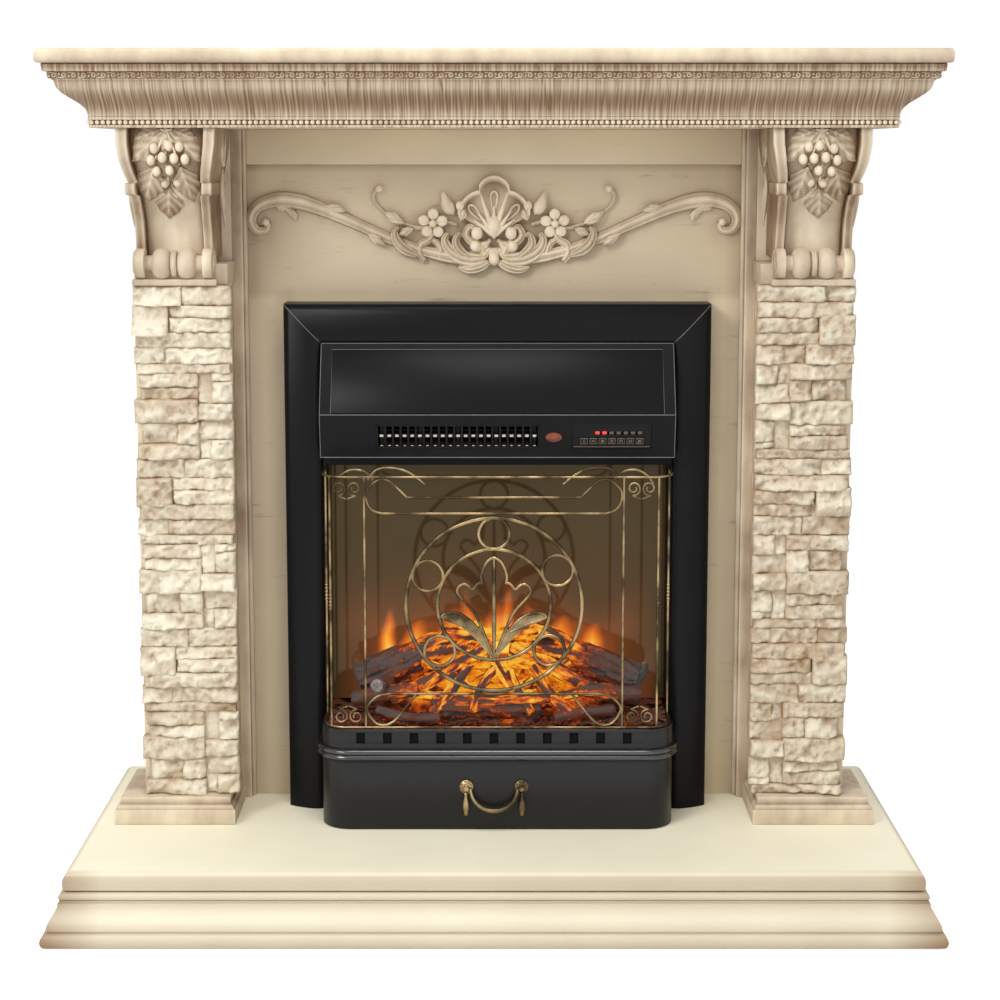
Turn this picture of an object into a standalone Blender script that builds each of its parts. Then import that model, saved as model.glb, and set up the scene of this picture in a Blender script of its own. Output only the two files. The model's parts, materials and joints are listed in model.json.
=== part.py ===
"""Electric fireplace suite: a painted surround with stone-clad pillars around an inset electric fire.

X runs across, the front faces -Y and Z is up. The origin is the middle of the footprint on the floor.
Depth is written as 'forward', the distance in front of the back panel's face, and height from the floor.
"""
import math

import bpy
import bmesh
from mathutils import Matrix, Vector
from mathutils.bvhtree import BVHTree

MM = 0.001
GAP = 0.3 * MM

# Hearth: moulded base with the slab on it
HEARTH_MARGIN = 83 * MM
BASE_FORWARD = 292 * MM
REAR_DEPTH = 110 * MM
BASE_WALL = 46 * MM
BASE_HEIGHT = 57 * MM
TORUS_HEIGHT = 16 * MM
OGEE_TOP = 46 * MM
SLAB_THICKNESS = 22.7 * MM
SLAB_INSET = 22 * MM
SLAB_NOSE = 11 * MM

# Surround
PANEL_THICKNESS = 12 * MM
PILLAR_HALF = 412 * MM
SURROUND_TOP = 887.3 * MM
POST_INNER = 291 * MM
POST_WIDTH = 17 * MM
POST_FORWARD = 14 * MM
RAIL_HEIGHT = 41 * MM
RAIL_FORWARD = 5 * MM
CORE_FORWARD = 84 * MM
COLUMN_BASE_HEIGHT = 31.5 * MM
COLUMN_BASE_INNER = 303 * MM
COLUMN_BASE_MARGIN = 32 * MM
COLUMN_BASE_FORWARD = 114 * MM
SIDE_THICKNESS = 18 * MM

# Stone cladding, one cast panel repeated down each pillar
STONE_INNER = 300 * MM
STONE_BACKING = 9.5 * MM
STONE_MODULES = 3

# Corbels
CORBEL_CENTRE = 363.5 * MM
CORBEL_HALF = 55 * MM
CORBEL_DROP = 176.6 * MM
CORBEL_PLINTH = 11 * MM
CORBEL_TAPER = 0.16
BAND_WIDTH = 13 * MM
BAND_DEPTH = 13 * MM
VOLUTE_RADIUS = 17.5 * MM
VOLUTE_FORWARD = 91 * MM
VOLUTE_DROP = 147.3 * MM

# Applied ornament, down from the surround's top to the shell's centre
ORNAMENT_DROP = 123 * MM
SHELL_REACH = 70 * MM
SHELL_FLUTES = 7

# Mantel
CORNICE_MARGIN = 34 * MM
CORNICE_FORWARD = 146 * MM
CORNICE_WALL = 24 * MM
CORNICE_HEIGHT = 68.4 * MM
CYMA_RISE = 37.6 * MM
CYMA_REACH = 30 * MM
SOFFIT_THICKNESS = 12 * MM
MANTEL_REACH = 48 * MM
MANTEL_THICKNESS = 15.7 * MM

# Electric fire
FIRE_X = 4 * MM
TRIM_HALF = 250 * MM
TRIM_HEIGHT = 605 * MM
TRIM_BAND = 44.5 * MM
TRIM_FORWARD = 57 * MM
SHEET = 2 * MM
CHASSIS_REAR = 100 * MM
CHASSIS_FRONT = 49 * MM
HOOD_TOP_FORWARD = 54 * MM
HOOD_FOLD_FORWARD = 93 * MM
HOOD_FOLD_DROP = 79 * MM
HOOD_LIP_FORWARD = 82 * MM
HOOD_SETBACK = -4 * MM
HOOD_DROP = 130 * MM
BAY_FORWARD = 131 * MM
BAY_RADIUS = 24 * MM
FENDER_TOP = 119.5 * MM
FENDER_FOOT = 83 * MM
FENDER_BEAD = 97 * MM
BEAD_REACH = 6 * MM
SLOT_COUNT = 11
SLOT_PITCH = 30.8 * MM
SLOT_WIDTH = 10 * MM
SLOT_HEIGHT = 13 * MM

# Things on the hood's lower face, across and down from its fold
OUTLET_LEFT = -136 * MM
OUTLET_RIGHT = 53 * MM
OUTLET_DROP = 11 * MM
OUTLET_HEIGHT = 30 * MM
OUTLET_SLOTS = 21
FASCIA_LEFT = 90 * MM
FASCIA_RIGHT = 182 * MM
FASCIA_SINK = 1.5 * MM
KEY_COUNT = 7
KEY_PITCH = 10.7 * MM
KEY_WIDTH = 9.4 * MM
KEY_HEIGHT = 7.6 * MM
KEY_DROP = 32 * MM
KEY_TRAVEL = 1.2 * MM
LAMP_PITCH = 8.2 * MM
LAMP_WIDTH = 5.4 * MM
LAMP_HEIGHT = 3.8 * MM
LAMP_DROP = 22.5 * MM
LENS_X = 69 * MM

# Drawer and its handle
DRAWER_HALF = 180 * MM
DRAWER_BACK = 8 * MM
DRAWER_DEPTH = 50 * MM
RUNNER_HEIGHT = 4 * MM
HANDLE_HALF = 32 * MM
HANDLE_HEIGHT = 132.3 * MM
ROSETTE_RADIUS = 8.5 * MM
POST_RADIUS = 2.6 * MM
BAIL_WIRE = 2 * MM
BAIL_FORWARD = 8 * MM
BAIL_DROP = 27 * MM

# Wire guard
WIRE = 1.5 * MM
RING_WIRE = 2.0 * MM
GUARD_INSET = 4 * MM
GUARD_HEIGHT = 414.5 * MM
UPRIGHTS = (148 * MM, 188 * MM)
LOOP_DROP = 24.8 * MM
LOOP_DEPTH = 18.7 * MM
FOOT_LINE_RISE = 40 * MM
FOOT_DIP_RISE = 2 * MM
INNER_RING = 65 * MM
SMALL_RING_ANGLES = (90, 156, 29, 221, 320)

# Inside the fire
EMBER_THICKNESS = 20 * MM
MOUND_HALF = 130 * MM
MOUND_RISE = 52 * MM
MOUND_BACK = 4 * MM
MOUND_FRONT = 76 * MM
SCREEN_FORWARD = -6 * MM
SCREEN_THICKNESS = 3 * MM
REFLECTOR_FORWARD = -18 * MM
REFLECTOR_RISE = 140 * MM
SPINDLE_FORWARD = -70 * MM
SPINDLE_RISE = 80 * MM
SPINDLE_FLAGS = 6
BLOWER_FORWARD = 18 * MM
BLOWER_DROP = 48 * MM
BLOWER_RADIUS = 22 * MM
BLOWER_BLADES = 8
LOG_RADIUS = 25 * MM
LOG_REACH = 168 * MM
FRONT_LOG_LEFT = -78 * MM
FRONT_LOG_RIGHT = 52 * MM
FRONT_LOG_AHEAD = 14 * MM
LAMP_BAR_HALF = 140 * MM
LAMP_BAR_BACK = -56 * MM
LAMP_BAR_FRONT = -30 * MM
LAMP_SPACING = 90 * MM
SPINDLE_LENGTH = 354.4 * MM

BASE_HALF = PILLAR_HALF + HEARTH_MARGIN
COLUMN_BASE_OUTER = PILLAR_HALF + COLUMN_BASE_MARGIN
CORNICE_HALF = PILLAR_HALF + CORNICE_MARGIN
CORBEL_BOTTOM = SURROUND_TOP - CORBEL_DROP
VOLUTE_HEIGHT = SURROUND_TOP - VOLUTE_DROP
SLAB_TOP = BASE_HEIGHT + GAP + SLAB_THICKNESS
FLOOR = SLAB_TOP + GAP
PANEL_Y = (BASE_FORWARD - REAR_DEPTH) / 2
STONE_FOOT = FLOOR + COLUMN_BASE_HEIGHT + GAP
STONE_TOP = CORBEL_BOTTOM - GAP
OPENING_HALF = TRIM_HALF - TRIM_BAND
CHASSIS_HALF = OPENING_HALF - 0.5 * MM
CHASSIS_INSIDE = CHASSIS_HALF - SHEET
TRIM_TOP = FLOOR + TRIM_HEIGHT
HOOD_TOP = TRIM_TOP - TRIM_BAND - GAP
CHASSIS_TOP = HOOD_TOP
CHASSIS_FLOOR = FLOOR + SHEET
WINDOW_TOP = HOOD_TOP - HOOD_DROP + HOOD_SETBACK
MANTEL_FOOT = SURROUND_TOP + GAP + CORNICE_HEIGHT + GAP
EMBER_TOP = FLOOR + FENDER_TOP
GUARD_FORWARD = BAY_FORWARD - GUARD_INSET
GUARD_FOOT = EMBER_TOP + GAP + WIRE
GUARD_TOP = FLOOR + GUARD_HEIGHT
LOOP_HIGH = GUARD_TOP - LOOP_DROP
LOOP_LOW = LOOP_HIGH - LOOP_DEPTH
FOOT_LINE = GUARD_FOOT + FOOT_LINE_RISE
FOOT_DIP = GUARD_FOOT + FOOT_DIP_RISE
ORNAMENT_HEIGHT = SURROUND_TOP - ORNAMENT_DROP

FINISHES = {
    "cream_paint": ((0.78, 0.70, 0.56), 0.55, 0.0),
    "hearth_paint": ((0.80, 0.75, 0.60), 0.5, 0.0),
    "panel_paint": ((0.56, 0.49, 0.34), 0.6, 0.0),
    "post_paint": ((0.42, 0.30, 0.21), 0.55, 0.0),
    "cast_stone": ((0.82, 0.72, 0.56), 0.85, 0.0),
    "black_steel": ((0.02, 0.02, 0.022), 0.4, 0.6),
    "grey_steel": ((0.35, 0.35, 0.36), 0.45, 0.9),
    "black_plastic": ((0.03, 0.03, 0.03), 0.45, 0.0),
    "antique_brass": ((0.47, 0.35, 0.16), 0.35, 1.0),
    "copper_lens": ((0.55, 0.22, 0.06), 0.3, 0.3),
    "red_lens": ((0.6, 0.06, 0.04), 0.25, 0.0),
    "smoked_screen": ((0.12, 0.10, 0.07), 0.15, 0.0),
    "glowing_bed": ((0.55, 0.18, 0.04), 0.8, 0.0),
    "log_bark": ((0.22, 0.12, 0.08), 0.85, 0.0),
    "circuit_green": ((0.03, 0.18, 0.07), 0.5, 0.0),
    "lamp_glass": ((0.85, 0.82, 0.70), 0.15, 0.0),
    "mica": ((0.55, 0.50, 0.42), 0.6, 0.0),
    "bright_foil": ((0.75, 0.75, 0.77), 0.2, 1.0),
}


def clear_scene():
    for item in list(bpy.data.objects):
        bpy.data.objects.remove(item, do_unlink=True)


def new_collection(name):
    collection = bpy.data.collections.new(name)
    bpy.context.scene.collection.children.link(collection)
    return collection


def finish_material(name):
    """The named finish as a material, made once."""
    if name in bpy.data.materials:
        return bpy.data.materials[name]
    colour, roughness, metallic = FINISHES[name]
    material = bpy.data.materials.new(name)
    material.use_nodes = True
    shader = material.node_tree.nodes["Principled BSDF"]
    shader.inputs["Base Color"].default_value = (*colour, 1.0)
    shader.inputs["Roughness"].default_value = roughness
    shader.inputs["Metallic"].default_value = metallic
    material.diffuse_color = (*colour, 1.0)
    return material


def at(x, forward, height):
    """A point of the model from its place across, in front of the panel and above the floor."""
    return Vector((x, PANEL_Y - forward, height))


def add_mesh(name, bm, finish):
    """Close off a bmesh as an object with outward faces and one finish."""
    bmesh.ops.recalc_face_normals(bm, faces=bm.faces)
    mesh = bpy.data.meshes.new(name)
    bm.to_mesh(mesh)
    bm.free()
    mesh.materials.append(finish_material(finish))
    item = bpy.data.objects.new(name, mesh)
    PARTS.objects.link(item)
    return item


def loft(name, rings, finish, closed=False):
    """Skin a run of rings with equal counts of points, capped at both ends unless it closes."""
    bm = bmesh.new()
    rows = [[bm.verts.new(point) for point in ring] for ring in rings]
    count = len(rings[0])
    pairs = list(zip(rows, rows[1:]))
    if closed:
        pairs.append((rows[-1], rows[0]))
    for row, after in pairs:
        for i in range(count):
            j = (i + 1) % count
            bm.faces.new((row[i], row[j], after[j], after[i]))
    if not closed:
        bm.faces.new(rows[0])
        bm.faces.new(list(reversed(rows[-1])))
    return add_mesh(name, bm, finish)


def box(name, across, forward, height, finish, bevel=0.0):
    """A rectangular block between pairs of limits, its edges eased by bevel."""
    bm = bmesh.new()
    low = at(across[0], forward[1], height[0])
    high = at(across[1], forward[0], height[1])
    size = Matrix.Diagonal((*(high - low), 1.0))
    bmesh.ops.create_cube(bm, size=1.0, matrix=Matrix.Translation((low + high) / 2) @ size)
    if bevel:
        bmesh.ops.bevel(bm, geom=bm.edges[:], offset=bevel, segments=1, affect="EDGES")
    return add_mesh(name, bm, finish)


def prism(name, outline, across, finish):
    """Extrude an outline of (forward, height) points from one place across to another."""
    rings = [[at(x, forward, height) for forward, height in outline] for x in across]
    return loft(name, rings, finish)


def upright_prism(name, outline, heights, finish):
    """Extrude a plan outline of (x, forward) points upwards."""
    rings = [[at(x, forward, height) for x, forward in outline] for height in heights]
    return loft(name, rings, finish)


def plate(name, outline, forwards, finish):
    """Extrude a front outline of (x, height) points through a depth."""
    rings = [[at(x, forward, height) for x, height in outline] for forward in forwards]
    return loft(name, rings, finish)


def mitred_path(path):
    """Each path point with the vector that offsets both of its runs by one unit to the left."""
    normals = []
    for (u0, v0), (u1, v1) in zip(path, path[1:]):
        normals.append(Vector((v0 - v1, u1 - u0)).normalized())
    result = []
    for i, point in enumerate(path):
        before = normals[max(i - 1, 0)]
        after = normals[min(i, len(normals) - 1)]
        mitre = (before + after) / (1 + before.dot(after))
        result.append((Vector(point), mitre))
    return result


def sweep(name, path, section, finish, upright=False):
    """Run a section of (outward, height) points along a mitred plan path of (x, forward) points.

    An upright sweep runs along an (x, height) path, with a section of (outward, forward) points.
    """
    rings = []
    for point, mitre in mitred_path(path):
        ring = []
        for outward, level in section:
            u, v = point + mitre * outward
            ring.append(at(u, level, v) if upright else at(u, v, level))
        rings.append(ring)
    return loft(name, rings, finish)


def moulded_board(name, across, forward, profile, finish):
    """A solid board whose front and side edges follow a profile of (outward, height) points."""
    rings = []
    for outward, height in profile:
        left, right = across[0] - outward, across[1] + outward
        front = forward[1] + outward
        rings.append([at(left, forward[0], height), at(left, front, height),
                      at(right, front, height), at(right, forward[0], height)])
    return loft(name, rings, finish)


def arc(centre, radius, start, end, steps):
    """Points on an arc between two angles in degrees; radius may be a pair for an ellipse."""
    wide, tall = radius if isinstance(radius, tuple) else (radius, radius)
    points = []
    for i in range(steps + 1):
        angle = math.radians(start + (end - start) * i / steps)
        points.append((centre[0] + wide * math.cos(angle), centre[1] + tall * math.sin(angle)))
    return points


def bay_path(half, front, radius, back, steps=4):
    """Plan of the bowed front: a run across with rounded corners and straight returns."""
    left = arc((-half + radius, front - radius), radius, 180, 90, steps)
    right = arc((half - radius, front - radius), radius, 90, 0, steps)
    return [(-half, back)] + left + right + [(half, back)]


def turned(name, profile, centre, direction, finish, steps=16):
    """A turned solid: a profile of (radius, height) from top to bottom, on an axis through centre."""
    mesh = bpy.data.meshes.new(name)
    edges = [(i, i + 1) for i in range(len(profile) - 1)]
    mesh.from_pydata([(radius, 0.0, height) for radius, height in profile], edges, [])
    mesh.materials.append(finish_material(finish))
    item = bpy.data.objects.new(name, mesh)
    PARTS.objects.link(item)
    screw = item.modifiers.new("turn", "SCREW")
    screw.steps = steps
    screw.render_steps = steps
    screw.use_merge_vertices = True
    screw.merge_threshold = 0.00001
    bake(item)
    turn = Vector((0, 0, 1)).rotation_difference(Vector(direction)).to_matrix().to_4x4()
    item.data.transform(Matrix.Translation(centre) @ turn)
    return item


def ball(name, centre, radii, finish, detail=2):
    """A rounded lump on an icosphere, with its own radius on each axis."""
    bm = bmesh.new()
    shape = Matrix.Translation(centre) @ Matrix.Diagonal((*radii, 1.0))
    bmesh.ops.create_icosphere(bm, subdivisions=detail, radius=1.0, matrix=shape)
    return add_mesh(name, bm, finish)


def bead(name, centre, radius, finish):
    """A small globe of few facets, its poles front and back."""
    bm = bmesh.new()
    shape = Matrix.Translation(centre) @ Matrix.Rotation(math.pi / 2, 4, "X")
    bmesh.ops.create_uvsphere(bm, u_segments=6, v_segments=4, radius=radius, matrix=shape)
    return add_mesh(name, bm, finish)


def tube(name, points, radius, finish, cyclic=False, sides=1):
    """A round wire along points, made a closed mesh."""
    curve = bpy.data.curves.new(name, "CURVE")
    curve.dimensions = "3D"
    curve.bevel_depth = radius
    curve.bevel_resolution = sides
    curve.render_resolution_u = 0
    curve.use_fill_caps = True
    spline = curve.splines.new("POLY")
    spline.points.add(len(points) - 1)
    for target, point in zip(spline.points, points):
        target.co = (*point, 1.0)
    spline.use_cyclic_u = cyclic
    wire = bpy.data.objects.new(name + "_curve", curve)
    PARTS.objects.link(wire)
    graph = bpy.context.evaluated_depsgraph_get()
    mesh = bpy.data.meshes.new_from_object(wire.evaluated_get(graph))
    bpy.data.objects.remove(wire, do_unlink=True)
    bm = bmesh.new()
    bm.from_mesh(mesh)
    bmesh.ops.remove_doubles(bm, verts=bm.verts, dist=0.000001)
    return add_mesh(name, bm, finish)


def bake(item):
    """Apply an object's modifiers to its mesh."""
    graph = bpy.context.evaluated_depsgraph_get()
    mesh = bpy.data.meshes.new_from_object(item.evaluated_get(graph))
    item.modifiers.clear()
    item.data = mesh


def combine(target, tools, operation):
    """Boolean the tools into the target with the exact solver, and remove them."""
    operands = bpy.data.collections.new("operands")
    for tool in tools:
        tool.hide_render = True
        tool.display_type = "WIRE"
        operands.objects.link(tool)
    modifier = target.modifiers.new("combine", "BOOLEAN")
    modifier.operand_type = "COLLECTION"
    modifier.collection = operands
    modifier.operation = operation
    modifier.solver = "EXACT"
    bake(target)
    for tool in list(tools):
        bpy.data.objects.remove(tool, do_unlink=True)
    bpy.data.collections.remove(operands)
    tidy_mesh(target)
    return target


def tidy_mesh(item):
    """Merge the slivers a Boolean leaves and keep only the first finish."""
    bm = bmesh.new()
    bm.from_mesh(item.data)
    bmesh.ops.remove_doubles(bm, verts=bm.verts, dist=0.000002)
    bmesh.ops.dissolve_degenerate(bm, edges=bm.edges, dist=0.000002)
    for face in bm.faces:
        face.material_index = 0
    bm.to_mesh(item.data)
    bm.free()
    while len(item.data.materials) > 1:
        item.data.materials.pop(index=1)


def fuse(target, parts):
    return combine(target, parts, "UNION")


def cut(target, cutters):
    return combine(target, cutters, "DIFFERENCE")


def mirrored(item, name):
    """The other hand of a piece, mirrored across the middle of the suite."""
    mesh = item.data.copy()
    mesh.transform(Matrix.Scale(-1, 4, (1, 0, 0)))
    mesh.flip_normals()
    copy = bpy.data.objects.new(name, mesh)
    PARTS.objects.link(copy)
    return copy


# Surround

def build_hearth():
    path = [(-BASE_HALF, -REAR_DEPTH), (-BASE_HALF, BASE_FORWARD),
            (BASE_HALF, BASE_FORWARD), (BASE_HALF, -REAR_DEPTH)]
    section = [(-BASE_WALL, 0)]
    section += arc((-3 * MM, TORUS_HEIGHT / 2), (3 * MM, TORUS_HEIGHT / 2), -90, 90, 4)
    section += [(-6 * MM, TORUS_HEIGHT), (-6 * MM, TORUS_HEIGHT + 3 * MM)]
    steps = 5
    rise = OGEE_TOP - TORUS_HEIGHT - 3 * MM
    for i in range(1, steps + 1):
        share = i / steps
        outward = -6 * MM - 11 * MM * (share - math.sin(2 * math.pi * share) / (2 * math.pi))
        section.append((outward, TORUS_HEIGHT + 3 * MM + rise * share))
    section += [(-20 * MM, OGEE_TOP), (-20 * MM, OGEE_TOP + 3 * MM)]
    bead = (BASE_HEIGHT - OGEE_TOP - 3 * MM) / 2
    section += arc((-21 * MM, BASE_HEIGHT - bead), (3 * MM, bead), -90, 90, 4)
    section.append((-BASE_WALL, BASE_HEIGHT))
    sweep("hearth_base", path, section, "hearth_paint")
    low = BASE_HEIGHT + GAP
    profile = [(-SLAB_INSET - 4 * MM, low), (-SLAB_INSET, low + 4 * MM)]
    profile += arc((-SLAB_INSET - SLAB_NOSE, SLAB_TOP - SLAB_NOSE), SLAB_NOSE, 0, 90, 4)
    moulded_board("hearth_slab", (-BASE_HALF, BASE_HALF), (-REAR_DEPTH, BASE_FORWARD), profile,
                  "hearth_paint")


def build_column_base():
    """Two-step plinth under the left pillar, and its mirror."""
    low, high = FLOOR, FLOOR + COLUMN_BASE_HEIGHT
    step = 6 * MM
    profile = [(0, low), (0, low + 17 * MM)]
    profile += [(-0.8 * MM, low + 18 * MM), (-2.5 * MM, low + 21 * MM), (-step, low + 23 * MM),
                (-step, high - 1.5 * MM), (-step - 1.5 * MM, high)]
    left = moulded_board("column_base_left", (-COLUMN_BASE_OUTER, -COLUMN_BASE_INNER),
                         (GAP, COLUMN_BASE_FORWARD), profile, "cream_paint")
    notch = box("notch", (-POST_INNER - POST_WIDTH - GAP, 0), (-GAP, POST_FORWARD + GAP),
                (0, high + GAP), "cream_paint")
    cut(left, [notch])
    mirrored(left, "column_base_right")


def build_pillars():
    """The painted post beside the panel and the boxed core that carries cladding and corbel."""
    inner = POST_INNER
    outline = [(inner, GAP), (inner, 5 * MM), (inner + 2 * MM, 8 * MM), (inner + 4.5 * MM, 8 * MM),
               (inner + 4.5 * MM, POST_FORWARD), (inner + POST_WIDTH, POST_FORWARD),
               (inner + POST_WIDTH, GAP)]
    right = upright_prism("corner_post_right", outline, (FLOOR, SURROUND_TOP), "post_paint")
    mirrored(right, "corner_post_left")
    profile = [(GAP, STONE_FOOT), (CORE_FORWARD, STONE_FOOT), (CORE_FORWARD, STONE_TOP),
               (POST_FORWARD, STONE_TOP), (POST_FORWARD, SURROUND_TOP), (GAP, SURROUND_TOP)]
    across = (POST_INNER + POST_WIDTH + GAP, PILLAR_HALF)
    right = prism("pillar_core_right", profile, across, "post_paint")
    mirrored(right, "pillar_core_left")


# The cast panel's stones: across from its outer edge, down from its top, and how far each stands out
STONE_WIDE = 112
STONE_TALL = 199.4
STONES = (
    (1, 55, 0.5, 22, 20), (56, 112, 0.5, 22, 18), (0, 40, 23, 56, 24), (47, 112, 23, 52, 21),
    (4, 111, 54, 70, 22), (35.5, 112, 71.5, 89, 17), (3, 109, 90.5, 99.5, 19),
    (6, 72, 101, 116, 21), (8, 72, 117, 129, 19), (89.5, 112, 101, 108, 15),
    (89.5, 112, 109.5, 134, 17), (1, 72, 130.5, 156, 24), (73.5, 111, 135.5, 153, 22),
    (9, 47, 157.5, 181, 17), (48.5, 72, 157.5, 181, 20),
    (87.5, 112, 177.5, 198.5, 19), (3, 72, 182.5, 198.5, 22),
)


def stone_places(turned_over):
    """Stones of one pillar's panels as (across, drop, depth), on the right pillar turned end for end."""
    first_row = 89.5
    places = []
    for module in range(-1, STONE_MODULES + 1):
        for left, right, top, bottom, depth in STONES:
            if turned_over:
                left, right = STONE_WIDE - right, STONE_WIDE - left
                top, bottom = first_row - bottom, first_row - top
            drop = (top + module * STONE_TALL, bottom + module * STONE_TALL)
            places.append(((left, right), drop, depth))
    return places


def build_cladding(name, outer, turned_over):
    """One pillar's ledgestone: backing with every stone standing on it."""
    width = PILLAR_HALF - STONE_INNER
    height = STONE_TOP - STONE_FOOT - 2 * GAP
    top = STONE_TOP - GAP
    back = CORE_FORWARD + GAP
    across_unit = width / STONE_WIDE
    drop_unit = height / (STONE_TALL * STONE_MODULES)
    backing = box(name, (outer, outer + width), (back, back + STONE_BACKING),
                  (top - height, top), "cast_stone")
    stones = []
    for (left, right), (high, low), depth in stone_places(turned_over):
        high = max(high * drop_unit, 0.6 * MM)
        low = min(low * drop_unit, height - 0.6 * MM)
        if low - high < 3 * MM:
            continue
        across = (max(outer + left * across_unit, outer + 0.4 * MM),
                  min(outer + right * across_unit, outer + width - 0.4 * MM))
        forward = (back + STONE_BACKING / 2, back + depth * MM)
        stones.append(box("stone", across, forward, (top - low, top - high), "cast_stone"))
    return fuse(backing, stones)


# The corbel's front, down from its top and forward, in mm: a belly, then a long hollow
BELLY = ((0, 140), (14, 142.5), (30, 143), (42, 139), (52, 131), (60, 122), (75, 118), (84, 110),
         (98, 102), (114, 95), (131, 91), (146, 89.5))
# The step that each side band has between them
STEP = ((61, 127), (73, 126))


def corbel_profile(sink, stations):
    """Side outline of a corbel slice whose front lies sink behind the stations."""
    back = POST_FORWARD + GAP
    outline = [(back, SURROUND_TOP)]
    for drop, forward in stations:
        outline.append((forward * MM - sink, SURROUND_TOP - drop * MM))
    outline.append((back, outline[-1][1]))
    return outline


def taper_corbel(item):
    """Draw the corbel in towards its foot, as the carving does."""
    span = SURROUND_TOP - VOLUTE_HEIGHT
    for vertex in item.data.vertices:
        share = min(max((SURROUND_TOP - vertex.co.z) / span, 0.0), 1.0)
        if vertex.co.z > CORBEL_BOTTOM + CORBEL_PLINTH + 0.5 * MM:
            vertex.co.x = CORBEL_CENTRE + (vertex.co.x - CORBEL_CENTRE) * (1 - CORBEL_TAPER * share)


def build_corbels():
    """Console with two scrolled side bands, a plain field between and a turned bolster below."""
    centre, half = CORBEL_CENTRE, CORBEL_HALF
    body = prism("corbel_right", corbel_profile(BAND_DEPTH, BELLY),
                 (centre - half + 2 * MM, centre + half - 2 * MM), "cream_paint")
    pieces = []
    for side in (-1, 1):
        edges = sorted((centre + side * half, centre + side * (half - BAND_WIDTH)))
        pieces.append(prism("band", corbel_profile(0, sorted(BELLY + STEP)), edges, "cream_paint"))
        disc = [(0, 0), (VOLUTE_RADIUS, 0), (VOLUTE_RADIUS, -15 * MM), (0, -15 * MM)]
        outer = at(centre + side * (half + 0.8 * MM), VOLUTE_FORWARD, VOLUTE_HEIGHT)
        pieces.append(turned("volute", disc, outer, (side, 0, 0), "cream_paint", 10))
    bolster = [(0, 42), (11, 42), (15, 28), (18.5, 12), (16, 5), (14, 4), (14, -4), (16, -5),
               (18.5, -12), (15, -28), (11, -42), (0, -42)]
    profile = [(radius * MM, height * MM) for radius, height in bolster]
    pieces.append(turned("bolster", profile, at(centre, VOLUTE_FORWARD, VOLUTE_HEIGHT), (1, 0, 0),
                         "cream_paint", 10))
    fuse(body, pieces)
    taper_corbel(body)
    plinth = moulded_board("plinth", (centre - half - 8 * MM, centre + half),
                           (POST_FORWARD + GAP, CORE_FORWARD + 28 * MM),
                           [(-2 * MM, CORBEL_BOTTOM), (0, CORBEL_BOTTOM + 2 * MM),
                            (0, CORBEL_BOTTOM + CORBEL_PLINTH - 2 * MM),
                            (-2 * MM, CORBEL_BOTTOM + CORBEL_PLINTH)], "cream_paint")
    web = box("web", (centre - half + 14 * MM, centre + half - 14 * MM),
              (POST_FORWARD + GAP, VOLUTE_FORWARD - 6 * MM),
              (CORBEL_BOTTOM + 4 * MM, VOLUTE_HEIGHT), "cream_paint")
    fuse(body, [plinth, web])
    mirrored(body, "corbel_left")


def leaf(name, base, tip, half_width, thickness, bow, finish):
    """A pointed leaf with a raised midrib, from its stalk end to its tip."""
    base, tip = Vector(base), Vector(tip)
    along = tip - base
    outward = Vector((0, -1, 0))
    side = along.cross(outward).normalized()
    rings = []
    for share, width in ((0.0, 0.3), (0.35, 1.0), (0.7, 0.75), (1.0, 0.08)):
        spine = base + along * share + outward * bow * math.sin(math.pi * share)
        wide = side * half_width * width
        thick = outward * thickness
        rings.append([spine - wide, spine - thick, spine + wide, spine + thick])
    return loft(name, rings, finish)


# Grapes and leaves on each corbel's field, across from its middle and down from its top, in mm
GRAPES = ((-13, 20), (-1, 19), (12, 21), (-18, 33), (-7, 32), (5, 31), (18, 34), (-2, 44), (14, 46),
          (-6, 57), (7, 57))
CLUSTER_LEAVES = (((0, 5), (-33, 30), 12), ((2, 5), (34, 30), 12), ((-12, 44), (-20, 76), 10),
                  ((14, 46), (28, 78), 12), ((0, 60), (4, 96), 13))


def field_front(drop):
    """Forward place of the field between the bands, at a drop in mm from the corbel's top."""
    for (upper, reach), (lower, lower_reach) in zip(BELLY, BELLY[1:]):
        if drop <= lower:
            share = (drop - upper) / (lower - upper)
            return (reach + (lower_reach - reach) * share) * MM - BAND_DEPTH
    return BELLY[-1][1] * MM - BAND_DEPTH


def build_grapes():
    """Vine cluster seated on the field between the corbel's bands."""
    def spot(across, drop, proud):
        return at(CORBEL_CENTRE + across * MM, field_front(drop) + proud * MM,
                  SURROUND_TOP - drop * MM)

    backing = []
    for drop, half in ((4, 7), (20, 17), (32, 20), (46, 16), (60, 10), (74, 4)):
        backing.append([spot(-half, drop, -1), spot(half, drop, -1), spot(0.8 * half, drop, 4.5),
                        spot(-0.8 * half, drop, 4.5)])
    cluster = loft("grape_cluster_right", backing, "cream_paint")
    pieces = []
    for across, drop in GRAPES:
        pieces.append(bead("grape", spot(across, drop, 6.5), 5.8 * MM, "cream_paint"))
    for base, tip, width in CLUSTER_LEAVES:
        start, end = spot(*base, 5), spot(*tip, 4)
        pieces.append(leaf("leaf", start, end, width * MM, 4.5 * MM, 2 * MM, "cream_paint"))
    fuse(cluster, pieces)
    clear = corbel_profile(BAND_DEPTH - GAP, BELLY)
    half = CORBEL_HALF + 10 * MM
    field = prism("field", clear, (CORBEL_CENTRE - half, CORBEL_CENTRE + half), "cream_paint")
    cut(cluster, [field])
    mirrored(cluster, "grape_cluster_left")


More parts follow.
